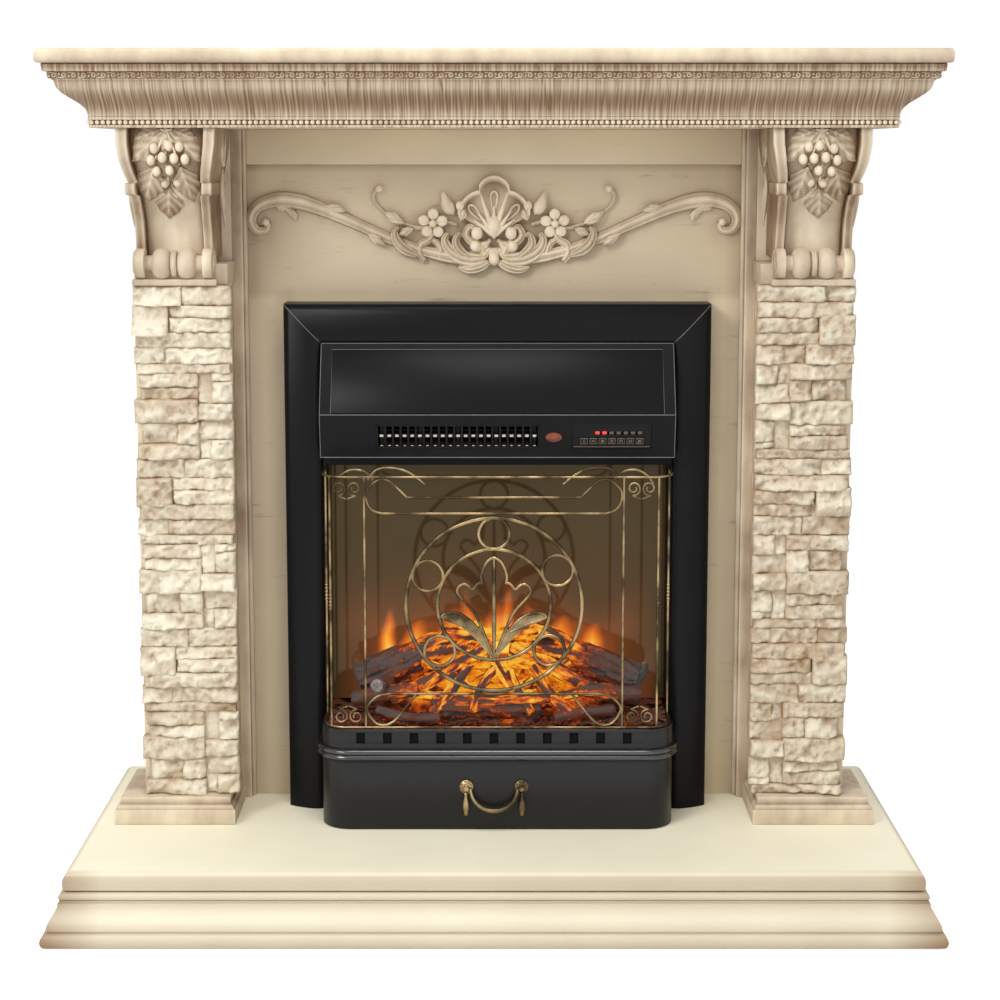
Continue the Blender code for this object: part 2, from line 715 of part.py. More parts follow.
def build_panel():
    """Back panel with the fire's opening, and the rail across its top."""
    half = OPENING_HALF + 3 * MM
    low, high, top = FLOOR, HOOD_TOP + 5 * MM, SURROUND_TOP
    left, right = FIRE_X - half, FIRE_X + half
    outline = [(-PILLAR_HALF, low), (-PILLAR_HALF, top), (PILLAR_HALF, top), (PILLAR_HALF, low),
               (right, low), (right, high), (left, high), (left, low)]
    plate("back_panel", outline, (-PANEL_THICKNESS, 0), "panel_paint")
    edge = POST_INNER - GAP
    box("frieze_rail", (-edge, edge), (GAP, RAIL_FORWARD), (top - RAIL_HEIGHT, top), "post_paint",
        1 * MM)
    behind = (-REAR_DEPTH, -PANEL_THICKNESS - GAP)
    right_side = box("side_panel_right", (PILLAR_HALF - SIDE_THICKNESS, PILLAR_HALF), behind,
                     (FLOOR, SURROUND_TOP), "post_paint")
    mirrored(right_side, "side_panel_left")


def build_mantel():
    """Moulded cornice on three sides, the soffit inside it and the shelf on top."""
    path = [(-CORNICE_HALF, -REAR_DEPTH), (-CORNICE_HALF, CORNICE_FORWARD),
            (CORNICE_HALF, CORNICE_FORWARD), (CORNICE_HALF, -REAR_DEPTH)]
    low = SURROUND_TOP + GAP
    top = low + CORNICE_HEIGHT
    cyma_top = top - 18.3 * MM
    cyma_low = cyma_top - CYMA_RISE
    section = [(-CORNICE_WALL, low), (0, low), (0, low + 3.3 * MM), (-1.2 * MM, low + 3.3 * MM),
               (-1.2 * MM, low + 8.6 * MM), (0.8 * MM, low + 8.6 * MM), (0.8 * MM, cyma_low)]
    steps = 7
    for i in range(1, steps + 1):
        share = i / steps
        outward = share - 0.85 * math.sin(2 * math.pi * share) / (2 * math.pi)
        section.append((0.8 * MM + CYMA_REACH * outward, cyma_low + CYMA_RISE * share))
    section += [(CYMA_REACH + 2.5 * MM, cyma_top), (CYMA_REACH + 2.5 * MM, cyma_top + 2.3 * MM),
                (CYMA_REACH + 6 * MM, cyma_top + 2.3 * MM), (CYMA_REACH + 7 * MM, cyma_top + 9.8 * MM),
                (CYMA_REACH + 11 * MM, cyma_top + 9.8 * MM), (CYMA_REACH + 12 * MM, top),
                (-CORNICE_WALL, top)]
    sweep("cornice", path, section, "cream_paint")
    inside = CORNICE_HALF - CORNICE_WALL - GAP
    box("soffit_board", (-inside, inside), (-REAR_DEPTH, CORNICE_FORWARD - CORNICE_WALL - GAP),
        (low, low + SOFFIT_THICKNESS), "post_paint")
    foot, crown = MANTEL_FOOT, MANTEL_FOOT + MANTEL_THICKNESS
    reach = MANTEL_REACH
    profile = [(reach - 5 * MM, foot), (reach - 1 * MM, foot + 3 * MM), (reach, foot + 5 * MM),
               (reach, crown - 3.5 * MM), (reach - 1 * MM, crown - 1 * MM), (reach - 3.5 * MM, crown)]
    moulded_board("mantel_top", (-CORNICE_HALF, CORNICE_HALF), (-REAR_DEPTH, CORNICE_FORWARD),
                  profile, "cream_paint")


# Applied ornament

def strand(name, path, finish):
    """A carved strand along (x, height, half_width, rise) stations in mm, flat on the panel."""
    rings = []
    for i, (x, height, width, rise) in enumerate(path):
        x0, z0 = path[max(i - 1, 0)][:2]
        x1, z1 = path[min(i + 1, len(path) - 1)][:2]
        run = Vector((x1 - x0, z1 - z0)).normalized()
        side = Vector((-run.y, run.x))
        ring = []
        for across, out in ((-1, 0), (-0.65, 0.75), (0, 1), (0.65, 0.75), (1, 0)):
            ring.append(at((x + side.x * across * width) * MM, GAP + out * rise * MM,
                           ORNAMENT_HEIGHT + (height + side.y * across * width) * MM))
        rings.append(ring)
    return loft(name, rings, finish)




def build_shell():
    """Fan shell with rounded flutes rising from a scrolled foot."""
    rings = []
    steps = SHELL_FLUTES * 2
    for i in range(steps + 1):
        angle = math.radians(16 + 148 * i / steps)
        flute = abs(math.sin(math.pi * SHELL_FLUTES * i / steps))
        reach = SHELL_REACH * (0.80 + 0.20 * math.sin(angle)) * (0.95 + 0.05 * flute)
        ring = []
        for share, out in ((0.1, 0), (0.1, 9), (0.5, 4 + 4 * flute), (0.9, 4 + 7 * flute), (1.0, 0)):
            ring.append(at(reach * share * math.cos(angle), GAP + out * MM,
                           ORNAMENT_HEIGHT + reach * share * math.sin(angle)))
        rings.append(ring)
    shell = loft("ornament_shell", rings, "cream_paint")
    foot = ball("foot", at(0, 5 * MM, ORNAMENT_HEIGHT + 2 * MM), (13 * MM, 9 * MM, 20 * MM),
                "cream_paint", 1)
    drop = ball("drop", at(0, 4 * MM, ORNAMENT_HEIGHT - 22 * MM), (9 * MM, 7 * MM, 15 * MM),
                "cream_paint", 1)
    fuse(shell, [foot, drop])
    reach = 2 * SHELL_REACH
    behind = box("behind", (-reach, reach), (-reach, GAP), (ORNAMENT_HEIGHT - reach, ORNAMENT_HEIGHT + reach),
                 "cream_paint")
    cut(shell, [behind])


SWAG = ((22, -16, 4, 5), (40, -26, 8, 9), (62, -27, 7, 9), (85, -24, 5, 8), (105, -16, 5, 8),
        (132, -2, 5.5, 9), (165, 16, 6.5, 9), (198, 35, 8, 9), (226, 46, 8.5, 9), (252, 48, 8, 9),
        (273, 38, 7, 9), (281, 23, 6.5, 9), (276, 9, 6, 9), (263, 10, 4.5, 8), (264, 20, 3.5, 6))
TENDRIL = ((66, 24, 3, 5), (84, 19, 3, 5), (108, 17, 2.6, 5), (130, 24, 2.4, 5), (146, 44, 2.2, 5),
           (145, 58, 2.8, 6))
RIBBON = ((88, -23, 3.5, 7), (86, -12, 3.5, 9), (79, -1, 3, 8), (74, 13, 3, 6))
ACANTHUS = ((26, -26, 5, 8), (40, -16, 6, 11), (46, -7, 4, 9))
FLOWER = (75, 23)


def build_swags():
    """One side's swag with its flower spray, and its mirror."""
    swag = strand("ornament_swag_right", SWAG, "cream_paint")
    pieces = [strand("twig", path, "cream_paint") for path in (TENDRIL, RIBBON, ACANTHUS)]
    x, height = FLOWER
    for petal in range(5):
        angle = math.radians(18 + 72 * petal)
        centre = at((x + 8.5 * math.cos(angle)) * MM, 5.6 * MM,
                    ORNAMENT_HEIGHT + (height + 8.5 * math.sin(angle)) * MM)
        pieces.append(ball("petal", centre, (6.5 * MM, 5 * MM, 6.5 * MM), "cream_paint", 1))
    pieces.append(ball("bud", at(x * MM, 8 * MM, ORNAMENT_HEIGHT + height * MM), (4 * MM,) * 3,
                       "cream_paint", 1))
    for base, tip in (((70, 26), (59, 49)), ((98, 19), (118, 30))):
        start = at(base[0] * MM, 4.5 * MM, ORNAMENT_HEIGHT + base[1] * MM)
        end = at(tip[0] * MM, 4.5 * MM, ORNAMENT_HEIGHT + tip[1] * MM)
        pieces.append(leaf("leaf", start, end, 5 * MM, 3.5 * MM, 1 * MM, "cream_paint"))
    fuse(swag, pieces)
    mirrored(swag, "ornament_swag_left")


# Electric fire

def build_trim():
    """Mitred steel frame round the fire, a folded channel in section."""
    path = [(FIRE_X - TRIM_HALF, FLOOR), (FIRE_X - TRIM_HALF, TRIM_TOP),
            (FIRE_X + TRIM_HALF, TRIM_TOP), (FIRE_X + TRIM_HALF, FLOOR)]
    face, band, wall = TRIM_FORWARD, TRIM_BAND, SHEET
    section = [(0, GAP), (0, face - 9 * MM), (-4 * MM, face - 2 * MM), (-30 * MM, face),
               (-band, face - 7 * MM), (-band, POST_FORWARD), (-band + wall, POST_FORWARD),
               (-band + wall, face - 8.5 * MM), (-30 * MM, face - wall - 0.3 * MM),
               (-6 * MM, face - wall - 2 * MM), (-wall, face - 10 * MM), (-wall, GAP)]
    sweep("trim_frame", path, section, "black_steel", upright=True)


def build_chassis():
    """Folded steel box behind the opening, with the drawer's runners and the window rail."""
    half, inside = CHASSIS_HALF, CHASSIS_INSIDE
    shell = box("fire_chassis", (FIRE_X - half, FIRE_X + half), (-CHASSIS_REAR, CHASSIS_FRONT),
                (FLOOR, CHASSIS_TOP), "black_steel")
    hollow = box("hollow", (FIRE_X - inside, FIRE_X + inside), (-CHASSIS_REAR + SHEET, 1),
                 (CHASSIS_FLOOR, CHASSIS_TOP - SHEET), "black_steel")
    vents = []
    for i in range(6):
        x = FIRE_X + (i - 2.5) * 45 * MM
        vents.append(box("vent", (x - 14 * MM, x + 14 * MM), (-1, -CHASSIS_REAR + 10 * MM),
                         (CHASSIS_TOP - 60 * MM, CHASSIS_TOP - 52 * MM), "black_steel"))
    cut(shell, [hollow] + vents)
    tongue = DRAWER_HALF + 12 * MM
    pieces = [box("tongue", (FIRE_X - tongue, FIRE_X + tongue),
                  (0, BAY_FORWARD - BAY_RADIUS), (FLOOR, CHASSIS_FLOOR), "black_steel"),
              box("rail", (FIRE_X - inside - 1 * MM, FIRE_X + inside + 1 * MM),
                  (CHASSIS_FRONT - 8 * MM, CHASSIS_FRONT), (WINDOW_TOP - 10 * MM, WINDOW_TOP),
                  "black_steel")]
    for side in (-1, 1):
        near, far = sorted((FIRE_X + side * (DRAWER_HALF - 6 * MM), FIRE_X + side * (DRAWER_HALF + 8 * MM)))
        ledge = (CHASSIS_FLOOR - 1 * MM, CHASSIS_FLOOR + RUNNER_HEIGHT)
        run = (DRAWER_BACK, BAY_FORWARD - BAY_RADIUS - 4 * MM)
        pieces.append(box("ledge", (near, far), run, ledge, "black_steel"))
        fence = sorted((FIRE_X + side * (DRAWER_HALF + 0.8 * MM), FIRE_X + side * (DRAWER_HALF + 3 * MM)))
        pieces.append(box("fence", fence, run, (ledge[0], ledge[1] + 22 * MM), "black_steel"))
    fuse(shell, pieces)


def lower_face():
    """Frame on the hood's lower face: columns across, down and outward, at the fold."""
    fold = at(0, HOOD_FOLD_FORWARD, HOOD_TOP - HOOD_FOLD_DROP)
    lip = at(0, HOOD_LIP_FORWARD, HOOD_TOP - HOOD_DROP)
    down = (lip - fold).normalized()
    outward = Vector((1, 0, 0)).cross(down)
    if outward.y > 0:
        outward = -outward
    frame = Matrix.Identity(4)
    for column, axis in enumerate((Vector((1, 0, 0)), down, outward)):
        frame.col[column][:3] = axis
    frame.col[3][:3] = fold
    return frame


def face_box(name, across, down, out, finish, bevel=0.0):
    """A block set square to the hood's lower face."""
    bm = bmesh.new()
    low = Vector((across[0], down[0], out[0]))
    high = Vector((across[1], down[1], out[1]))
    size = Matrix.Diagonal((*(high - low), 1.0))
    bmesh.ops.create_cube(bm, size=1.0, matrix=Matrix.Translation((low + high) / 2) @ size)
    if bevel:
        bmesh.ops.bevel(bm, geom=bm.edges[:], offset=bevel, segments=1, affect="EDGES")
    bmesh.ops.transform(bm, matrix=lower_face(), verts=bm.verts)
    return add_mesh(name, bm, finish)


def hood_outline(wall):
    """Side outline of the hood, drawn in by a wall."""
    top, fold, lip = HOOD_TOP, HOOD_TOP - HOOD_FOLD_DROP, HOOD_TOP - HOOD_DROP
    return [(CHASSIS_FRONT + GAP, top - wall), (HOOD_TOP_FORWARD - wall, top - wall),
            (HOOD_FOLD_FORWARD - wall * 1.15, fold), (HOOD_LIP_FORWARD - wall, lip + wall),
            (CHASSIS_FRONT + GAP, lip + wall)]


def build_hood():
    """Folded canopy with openings for the warm-air outlet and the control fascia."""
    half = CHASSIS_HALF + GAP
    hood = prism("canopy_hood", hood_outline(0), (FIRE_X - half, FIRE_X + half), "black_steel")
    inner = hood_outline(SHEET)
    inner = [(-0.01, inner[0][1])] + inner[1:4] + [(-0.01, inner[4][1])]
    inside = half - SHEET
    hollow = prism("hollow", inner, (FIRE_X - inside, FIRE_X + inside), "black_steel")
    through = (-4 * MM, 4 * MM)
    outlet = face_box("opening", (OUTLET_LEFT, OUTLET_RIGHT),
                      (OUTLET_DROP, OUTLET_DROP + OUTLET_HEIGHT), through, "black_steel")
    fascia = face_box("opening", (FASCIA_LEFT, FASCIA_RIGHT),
                      (OUTLET_DROP, OUTLET_DROP + OUTLET_HEIGHT), through, "black_steel")
    cut(hood, [hollow, outlet, fascia])


def build_outlet():
    """Slotted outlet grille with its cross rail, and the heater element clipped behind it."""
    top, bottom = OUTLET_DROP + GAP, OUTLET_DROP + OUTLET_HEIGHT - GAP
    left, right = OUTLET_LEFT + GAP, OUTLET_RIGHT - GAP
    grille = face_box("outlet_grille", (left, right), (top, bottom), (-3 * MM, 0.4 * MM),
                      "black_plastic")
    pitch = (right - left - 3 * MM) / OUTLET_SLOTS
    slots = []
    for i in range(OUTLET_SLOTS):
        x = left + 1.5 * MM + pitch * (i + 0.5)
        slots.append(face_box("slot", (x - 0.31 * pitch, x + 0.31 * pitch),
                              (top + 2 * MM, bottom - 2 * MM), (-5 * MM, 2 * MM), "black_plastic"))
    cut(grille, slots)
    middle = (top + bottom) / 2
    rail = face_box("rail", (left, right), (middle - 2 * MM, middle + 2 * MM), (-5 * MM, -3.6 * MM),
                    "black_plastic")
    ends = [face_box("end", across, (middle - 2 * MM, middle + 2 * MM), (-4 * MM, -2 * MM),
                     "black_plastic") for across in ((left, left + 1 * MM), (right - 1 * MM, right))]
    fuse(grille, [rail] + ends)
    depth = (-13 * MM, -5 * MM - GAP)
    element = face_box("heater_element", (left + 4 * MM, right - 4 * MM),
                       (top + 2 * MM, bottom - 2 * MM), depth, "mica")
    windows = []
    count = 4
    span = (right - left - 14 * MM) / count
    for i in range(count):
        x = left + 7 * MM + span * i
        windows.append(face_box("window", (x + 2 * MM, x + span - 2 * MM),
                                (top + 5 * MM, bottom - 5 * MM), (-0.02, 0), "mica"))
    cut(element, windows)
    coils = []
    for row in range(2):
        down = top + 9.5 * MM + row * 8 * MM
        coils.append(face_box("wire", (left + 6 * MM, right - 6 * MM), (down, down + 1.4 * MM),
                              (-9.4 * MM, -8 * MM), "mica"))
    fuse(element, coils)


def build_controls():
    """Fascia with its seven keys and lamps, the board behind them and the sensor's oval lens."""
    fascia_middle = (FASCIA_LEFT + FASCIA_RIGHT) / 2
    top, bottom = OUTLET_DROP + GAP, OUTLET_DROP + OUTLET_HEIGHT - GAP
    front, back = -FASCIA_SINK, -FASCIA_SINK - 2 * MM
    panel = face_box("control_panel", (FASCIA_LEFT + GAP, FASCIA_RIGHT - GAP), (top, bottom),
                     (back, front), "black_plastic")
    holes = []
    lamps = []
    for i in range(KEY_COUNT):
        x = fascia_middle + (i - (KEY_COUNT - 1) / 2) * KEY_PITCH
        across = (x - KEY_WIDTH / 2, x + KEY_WIDTH / 2)
        down = (KEY_DROP - KEY_HEIGHT / 2, KEY_DROP + KEY_HEIGHT / 2)
        face_box(f"key_{i + 1}", across, down, (back - 3 * MM, 0), "black_plastic")
        holes.append(face_box("hole", (across[0] - GAP, across[1] + GAP),
                              (down[0] - GAP, down[1] + GAP), (-0.02, 0.01), "black_plastic"))
        x = fascia_middle + 8 * MM + (i - (KEY_COUNT - 1) / 2) * LAMP_PITCH
        across = (x - LAMP_WIDTH / 2, x + LAMP_WIDTH / 2)
        down = (LAMP_DROP - LAMP_HEIGHT / 2, LAMP_DROP + LAMP_HEIGHT / 2)
        lamps.append(face_box("lamp", across, down, (back - 2 * MM, front + 0.3 * MM), "red_lens"))
    reach = LAMP_PITCH * (KEY_COUNT - 1) / 2 + LAMP_WIDTH / 2 + 1 * MM
    middle = fascia_middle + 8 * MM
    holes.append(face_box("window", (middle - reach + 0.6 * MM, middle + reach - 0.6 * MM),
                          (down[0] - GAP, down[1] + GAP), (-0.02, 0.01), "black_plastic"))
    cut(panel, holes)
    strip = face_box("indicator_strip", (middle - reach, middle + reach),
                     (LAMP_DROP - LAMP_HEIGHT / 2 - 0.6 * MM, LAMP_DROP + LAMP_HEIGHT / 2 + 0.6 * MM),
                     (back - 2.5 * MM, back - GAP), "red_lens")
    fuse(strip, lamps)
    board_front = back - 3 * MM - KEY_TRAVEL - 1 * MM
    board = face_box("circuit_board", (FASCIA_LEFT - 4 * MM, FASCIA_RIGHT - 4 * MM),
                     (top + 1 * MM, bottom - 1 * MM), (board_front - 1.6 * MM, board_front),
                     "circuit_green")
    posts = []
    for x in (FASCIA_LEFT + 3 * MM, FASCIA_RIGHT - 8 * MM):
        posts.append(face_box("post", (x, x + 4 * MM), (top + 3 * MM, top + 7 * MM),
                              (board_front - 1 * MM, back - GAP), "circuit_green"))
    for i in range(4):
        x = FASCIA_LEFT + (12 + 20 * i) * MM
        posts.append(face_box("chip", (x, x + 11 * MM), (top + 8 * MM, top + 17 * MM),
                              (board_front - 6 * MM, board_front - 1 * MM), "circuit_green"))
    fuse(board, posts)
    spot = lower_face() @ Vector((LENS_X, OUTLET_DROP + OUTLET_HEIGHT / 2 + 1 * MM, GAP))
    outward = lower_face().to_3x3() @ Vector((0, 0, 1))
    profile = [(0, 2.4), (4.5, 2.0), (7.4, 1.2), (8.6, 0), (0, 0)]
    lens = turned("receiver_lens", [(r * MM, h * MM) for r, h in profile], Vector(), (0, 0, 1),
                  "copper_lens", 20)
    lens.data.transform(Matrix.Diagonal((1.12, 0.66, 1.0, 1.0)))
    turn = Vector((0, 0, 1)).rotation_difference(outward).to_matrix().to_4x4()
    lens.data.transform(Matrix.Translation(spot) @ turn)


def build_blower():
    """Crossflow blower: scroll housing with its motor, and the bladed wheel between the bearings."""
    centre_height = HOOD_TOP - BLOWER_DROP
    left, right = OUTLET_LEFT + 6 * MM, OUTLET_RIGHT - 10 * MM
    inner, outer = BLOWER_RADIUS + 4 * MM, BLOWER_RADIUS + 5.6 * MM
    outside = arc((BLOWER_FORWARD, centre_height), outer, 20, 250, 6)
    lining = arc((BLOWER_FORWARD, centre_height), inner, 250, 20, 6)
    housing = prism("blower_housing", outside + lining, (left, right), "grey_steel")
    shaft = 3 * MM
    pieces = []
    for x in (left, right):
        disc = [(0, 1 * MM), (outer, 1 * MM), (outer, -1 * MM), (0, -1 * MM)]
        pieces.append(turned("end", disc, at(x, BLOWER_FORWARD, centre_height), (1, 0, 0),
                             "grey_steel", 12))
    web_foot = centre_height + inner
    pieces.append(box("web", (left + 10 * MM, right - 10 * MM),
                      (BLOWER_FORWARD - 1 * MM, BLOWER_FORWARD + 1 * MM),
                      (web_foot, CHASSIS_TOP - SHEET - GAP), "grey_steel"))
    motor = [(0, 34 * MM), (8 * MM, 34 * MM), (19 * MM, 28 * MM), (20 * MM, 0), (0, 0)]
    pieces.append(turned("motor", motor, at(left - 0.5 * MM, BLOWER_FORWARD, centre_height), (-1, 0, 0),
                         "grey_steel", 10))
    fuse(housing, pieces)
    bearing = [(0, 14 * MM), (shaft + GAP, 14 * MM), (shaft + GAP, -14 * MM), (0, -14 * MM)]
    cutters = [turned("bore", bearing, at(x, BLOWER_FORWARD, centre_height), (1, 0, 0),
                      "grey_steel", 8) for x in (left, right)]
    cut(housing, cutters)
    run = (left + 3 * MM, right - 3 * MM)
    middle = (left + right) / 2
    length = right - left
    profile = [(0, length / 2 + 6 * MM), (shaft, length / 2 + 6 * MM), (shaft, -length / 2 - 6 * MM),
               (0, -length / 2 - 6 * MM)]
    wheel = turned("blower_wheel", profile, at(middle, BLOWER_FORWARD, centre_height), (1, 0, 0),
                   "black_plastic", 8)
    pieces = []
    for x in (run[0], run[1]):
        rim = BLOWER_RADIUS + 1.5 * MM
        disc = [(0, 1 * MM), (rim, 1 * MM), (rim, -1 * MM), (0, -1 * MM)]
        pieces.append(turned("disc", disc, at(x, BLOWER_FORWARD, centre_height), (1, 0, 0),
                             "black_plastic", 8))
    for i in range(BLOWER_BLADES):
        angle = 2 * math.pi * i / BLOWER_BLADES
        radial = Vector((math.cos(angle), math.sin(angle)))
        tangent = Vector((-radial.y, radial.x))
        outline = []
        for along, across in ((15, -0.4), (21, 1.4), (21.4, 2.3), (15, 0.5)):
            spot = radial * along * MM + tangent * across * MM
            outline.append((BLOWER_FORWARD + spot.x, centre_height + spot.y))
        pieces.append(prism("blade", outline, run, "black_plastic"))
    fuse(wheel, pieces)


def build_flame_works():
    """Smoked screen, flame reflector, flicker spindle with its motor, and the lamp bar."""
    inside = CHASSIS_INSIDE - GAP
    box("flame_screen", (FIRE_X - inside, FIRE_X + inside),
        (SCREEN_FORWARD, SCREEN_FORWARD + SCREEN_THICKNESS),
        (EMBER_TOP + GAP, WINDOW_TOP - 1 * MM), "smoked_screen")
    sheet = box("flame_reflector", (FIRE_X - inside, FIRE_X + inside),
                (REFLECTOR_FORWARD, REFLECTOR_FORWARD + 1 * MM),
                (CHASSIS_FLOOR + GAP, EMBER_TOP + REFLECTOR_RISE), "bright_foil")
    flames = []
    for i, lift in enumerate((10, 42, 28, 46, 12)):
        x = FIRE_X + (i - 2) * 60 * MM
        foot = EMBER_TOP + 12 * MM
        tip = foot + (48 + lift) * MM
        outline = [(x - 9 * MM, foot), (x - 12 * MM, foot + 18 * MM), (x - 4 * MM, tip - 20 * MM),
                   (x + 2 * MM, tip), (x + 4 * MM, tip - 26 * MM), (x + 11 * MM, foot + 20 * MM),
                   (x + 7 * MM, foot)]
        flames.append(plate("flame", outline, (REFLECTOR_FORWARD - 5 * MM, REFLECTOR_FORWARD + 5 * MM),
                            "bright_foil"))
    cut(sheet, flames)
    spindle_height = FLOOR + SPINDLE_RISE
    wall = FIRE_X + CHASSIS_INSIDE - GAP
    rod_left = FIRE_X - CHASSIS_INSIDE + GAP
    length = SPINDLE_LENGTH
    motor_face = rod_left + length + GAP
    rod = [(0, length), (2.5 * MM, length), (2.5 * MM, 0), (0, 0)]
    spindle = turned("flicker_spindle", rod, at(rod_left, SPINDLE_FORWARD, spindle_height), (1, 0, 0),
                     "bright_foil", 10)
    flags = []
    for i in range(SPINDLE_FLAGS):
        x = rod_left + 24 * MM + i * (length - 48 * MM) / (SPINDLE_FLAGS - 1)
        angle = math.radians(75 * i)
        reach = Vector((math.cos(angle), math.sin(angle))) * 21 * MM
        skew = Vector((-reach.y, reach.x)).normalized() * 0.5 * MM
        outline = [(SPINDLE_FORWARD + p.x, spindle_height + p.y)
                   for p in (reach + skew, -reach + skew, -reach - skew, reach - skew)]
        flags.append(prism("flag", outline, (x - 13 * MM, x + 13 * MM), "bright_foil"))
    fuse(spindle, flags)
    body = [(0, wall - motor_face), (17 * MM, wall - motor_face), (19 * MM, wall - motor_face - 3 * MM),
            (19 * MM, 12 * MM), (8 * MM, 8 * MM), (8 * MM, 0), (0, 0)]
    turned("spindle_motor", body, at(motor_face, SPINDLE_FORWARD, spindle_height), (1, 0, 0),
           "grey_steel", 14)
    bar = box("lamp_bar", (FIRE_X - LAMP_BAR_HALF, FIRE_X + LAMP_BAR_HALF),
              (LAMP_BAR_BACK, LAMP_BAR_FRONT),
              (CHASSIS_FLOOR + GAP, CHASSIS_FLOOR + 3 * MM), "lamp_glass")
    lamps = []
    for x in (-LAMP_SPACING, LAMP_SPACING):
        profile = [(0, 45), (8, 42), (11.5, 33), (7, 20), (9, 18), (9, 0), (0, 0)]
        lamps.append(turned("lamp", [(r * MM, h * MM) for r, h in profile],
                            at(FIRE_X + x, (LAMP_BAR_BACK + LAMP_BAR_FRONT) / 2,
                               CHASSIS_FLOOR + 1 * MM), (0, 0, 1),
                            "lamp_glass", 10))
    fuse(bar, lamps)


def build_fuel_bed():
    """Ember bed in the bay and the three stacked logs on it."""
    half = CHASSIS_INSIDE - GAP
    low, high = EMBER_TOP - EMBER_THICKNESS, EMBER_TOP
    front = BAY_FORWARD - SHEET - 1 * MM
    plan = bay_path(half, front, BAY_RADIUS - 2 * MM, SCREEN_FORWARD - 8 * MM, 4)
    outline = [(x + FIRE_X, forward) for x, forward in plan]
    bed = upright_prism("ember_bed", outline, (low, high), "glowing_bed")
    lumps = []
    for i in range(9):
        x = FIRE_X + (i - 4) * 42 * MM
        lift = (5 + 4 * math.sin(i * 2.3)) * MM
        lumps.append(ball("ember", at(x, front - 17 * MM - 5 * MM * (i % 2), high + 1 * MM),
                          (18 * MM, 12 * MM, lift + 3 * MM), "glowing_bed", 1))
    mound = []
    stations = 8
    for i in range(stations + 1):
        share = 2 * i / stations - 1
        rise = MOUND_RISE * max(1 - share ** 2, 0.03) ** 0.7
        profile = arc(((MOUND_BACK + MOUND_FRONT) / 2, high - 2 * MM),
                      ((MOUND_FRONT - MOUND_BACK) / 2, rise), 0, 180, 5)
        mound.append([at(FIRE_X + share * MOUND_HALF, forward, height)
                      for forward, height in profile])
    lumps.append(loft("mound", mound, "glowing_bed"))
    fuse(bed, lumps)
    middle = (MOUND_BACK + MOUND_FRONT) / 2
    gap = LOG_RADIUS / 2
    ends = (("log_left", (-LOG_REACH, middle + 16 * MM, 0), (-gap, middle - 6 * MM, 0.9), 1.0, 5),
            ("log_right", (LOG_REACH, middle + 12 * MM, 0), (gap, middle - 2 * MM, 0.9), 0.94, 8),
            ("log_front", (FRONT_LOG_LEFT, MOUND_FRONT + FRONT_LOG_AHEAD, 0.05),
             (FRONT_LOG_RIGHT, MOUND_FRONT + FRONT_LOG_AHEAD + 6 * MM, 0), 0.56, 3))
    supports = [bed]
    for name, foot, head, thickness, seed in ends:
        radius = LOG_RADIUS * thickness
        foot, head = [(FIRE_X + x, forward, high + MOUND_RISE + radius + lift * MOUND_RISE)
                      for x, forward, lift in (foot, head)]
        log = build_log(name, foot, head, radius, seed)
        settle(log, supports)
        supports.append(log)


def surface(item, drop=0.0):
    """A piece's surface as a search tree, lowered by drop."""
    mesh = item.data
    points = [vertex.co - Vector((0, 0, drop)) for vertex in mesh.vertices]
    return BVHTree.FromPolygons(points, [tuple(face.vertices) for face in mesh.polygons])


def settle(item, supports):
    """Lower a piece until it lies a gap above the first of its supports."""
    below = [surface(support) for support in supports]
    drop, step = 0.0, 2 * MM
    while step > 0.02 * MM:
        while not any(surface(item, drop + step).overlap(tree) for tree in below):
            drop += step
        step /= 2
    item.data.transform(Matrix.Translation((0, 0, GAP - drop)))


def build_log(name, foot, head, radius, seed):
    """A rough log between two places, its bark swelling with a fixed pattern and its ends sawn."""
    start, end = at(*foot), at(*head)
    along = (end - start).normalized()
    side = along.cross(Vector((0, 0, 1))).normalized()
    up = side.cross(along)
    rings = []
    stations, sides = 7, 9
    for i in range(stations):
        share = i / (stations - 1)
        ring = []
        for j in range(sides):
            angle = 2 * math.pi * j / sides
            swell = 0.93 + 0.07 * math.sin(seed + 2.1 * i + 3 * angle)
            reach = radius * swell * (0.9 if i in (0, stations - 1) else 1.0)
            ring.append(start + (end - start) * share + side * reach * math.cos(angle)
                        + up * reach * math.sin(angle))
        rings.append(ring)
    return loft(name, rings, "log_bark")


def build_fender():
    """Slotted band with the double bead below it, bowed round the bay."""
    half = CHASSIS_HALF
    path = [(x + FIRE_X, forward) for x, forward in
            bay_path(half, BAY_FORWARD, BAY_RADIUS, CHASSIS_FRONT + GAP)]
    top, bead, foot = FLOOR + FENDER_TOP, FLOOR + FENDER_BEAD, FLOOR + FENDER_FOOT
    middle = (bead + foot) / 2
    section = [(-SHEET, foot), (2 * MM, foot), (BEAD_REACH, foot + 3 * MM),
               (BEAD_REACH - 2 * MM, middle), (BEAD_REACH, middle + 2.5 * MM),
               (BEAD_REACH - 2 * MM, bead), (0, bead), (0, top), (-SHEET, top)]
    band = sweep("fender_band", path, section, "black_steel")
    slots = []
    slot_top = top - 3.5 * MM
    for i in range(SLOT_COUNT):
        x = (i - (SLOT_COUNT - 1) / 2) * SLOT_PITCH
        slots.append(box("slot", (x - SLOT_WIDTH / 2, x + SLOT_WIDTH / 2),
                         (BAY_FORWARD - 8 * MM, BAY_FORWARD + 8 * MM),
                         (slot_top - SLOT_HEIGHT, slot_top), "black_steel"))
    for side in (-1, 1):
        beside = sorted((FIRE_X + side * (OPENING_HALF - GAP), FIRE_X + side * TRIM_HALF))
        slots.append(box("beside", beside, (0, TRIM_FORWARD + GAP), (0, top + GAP), "black_steel"))
    cut(band, slots)


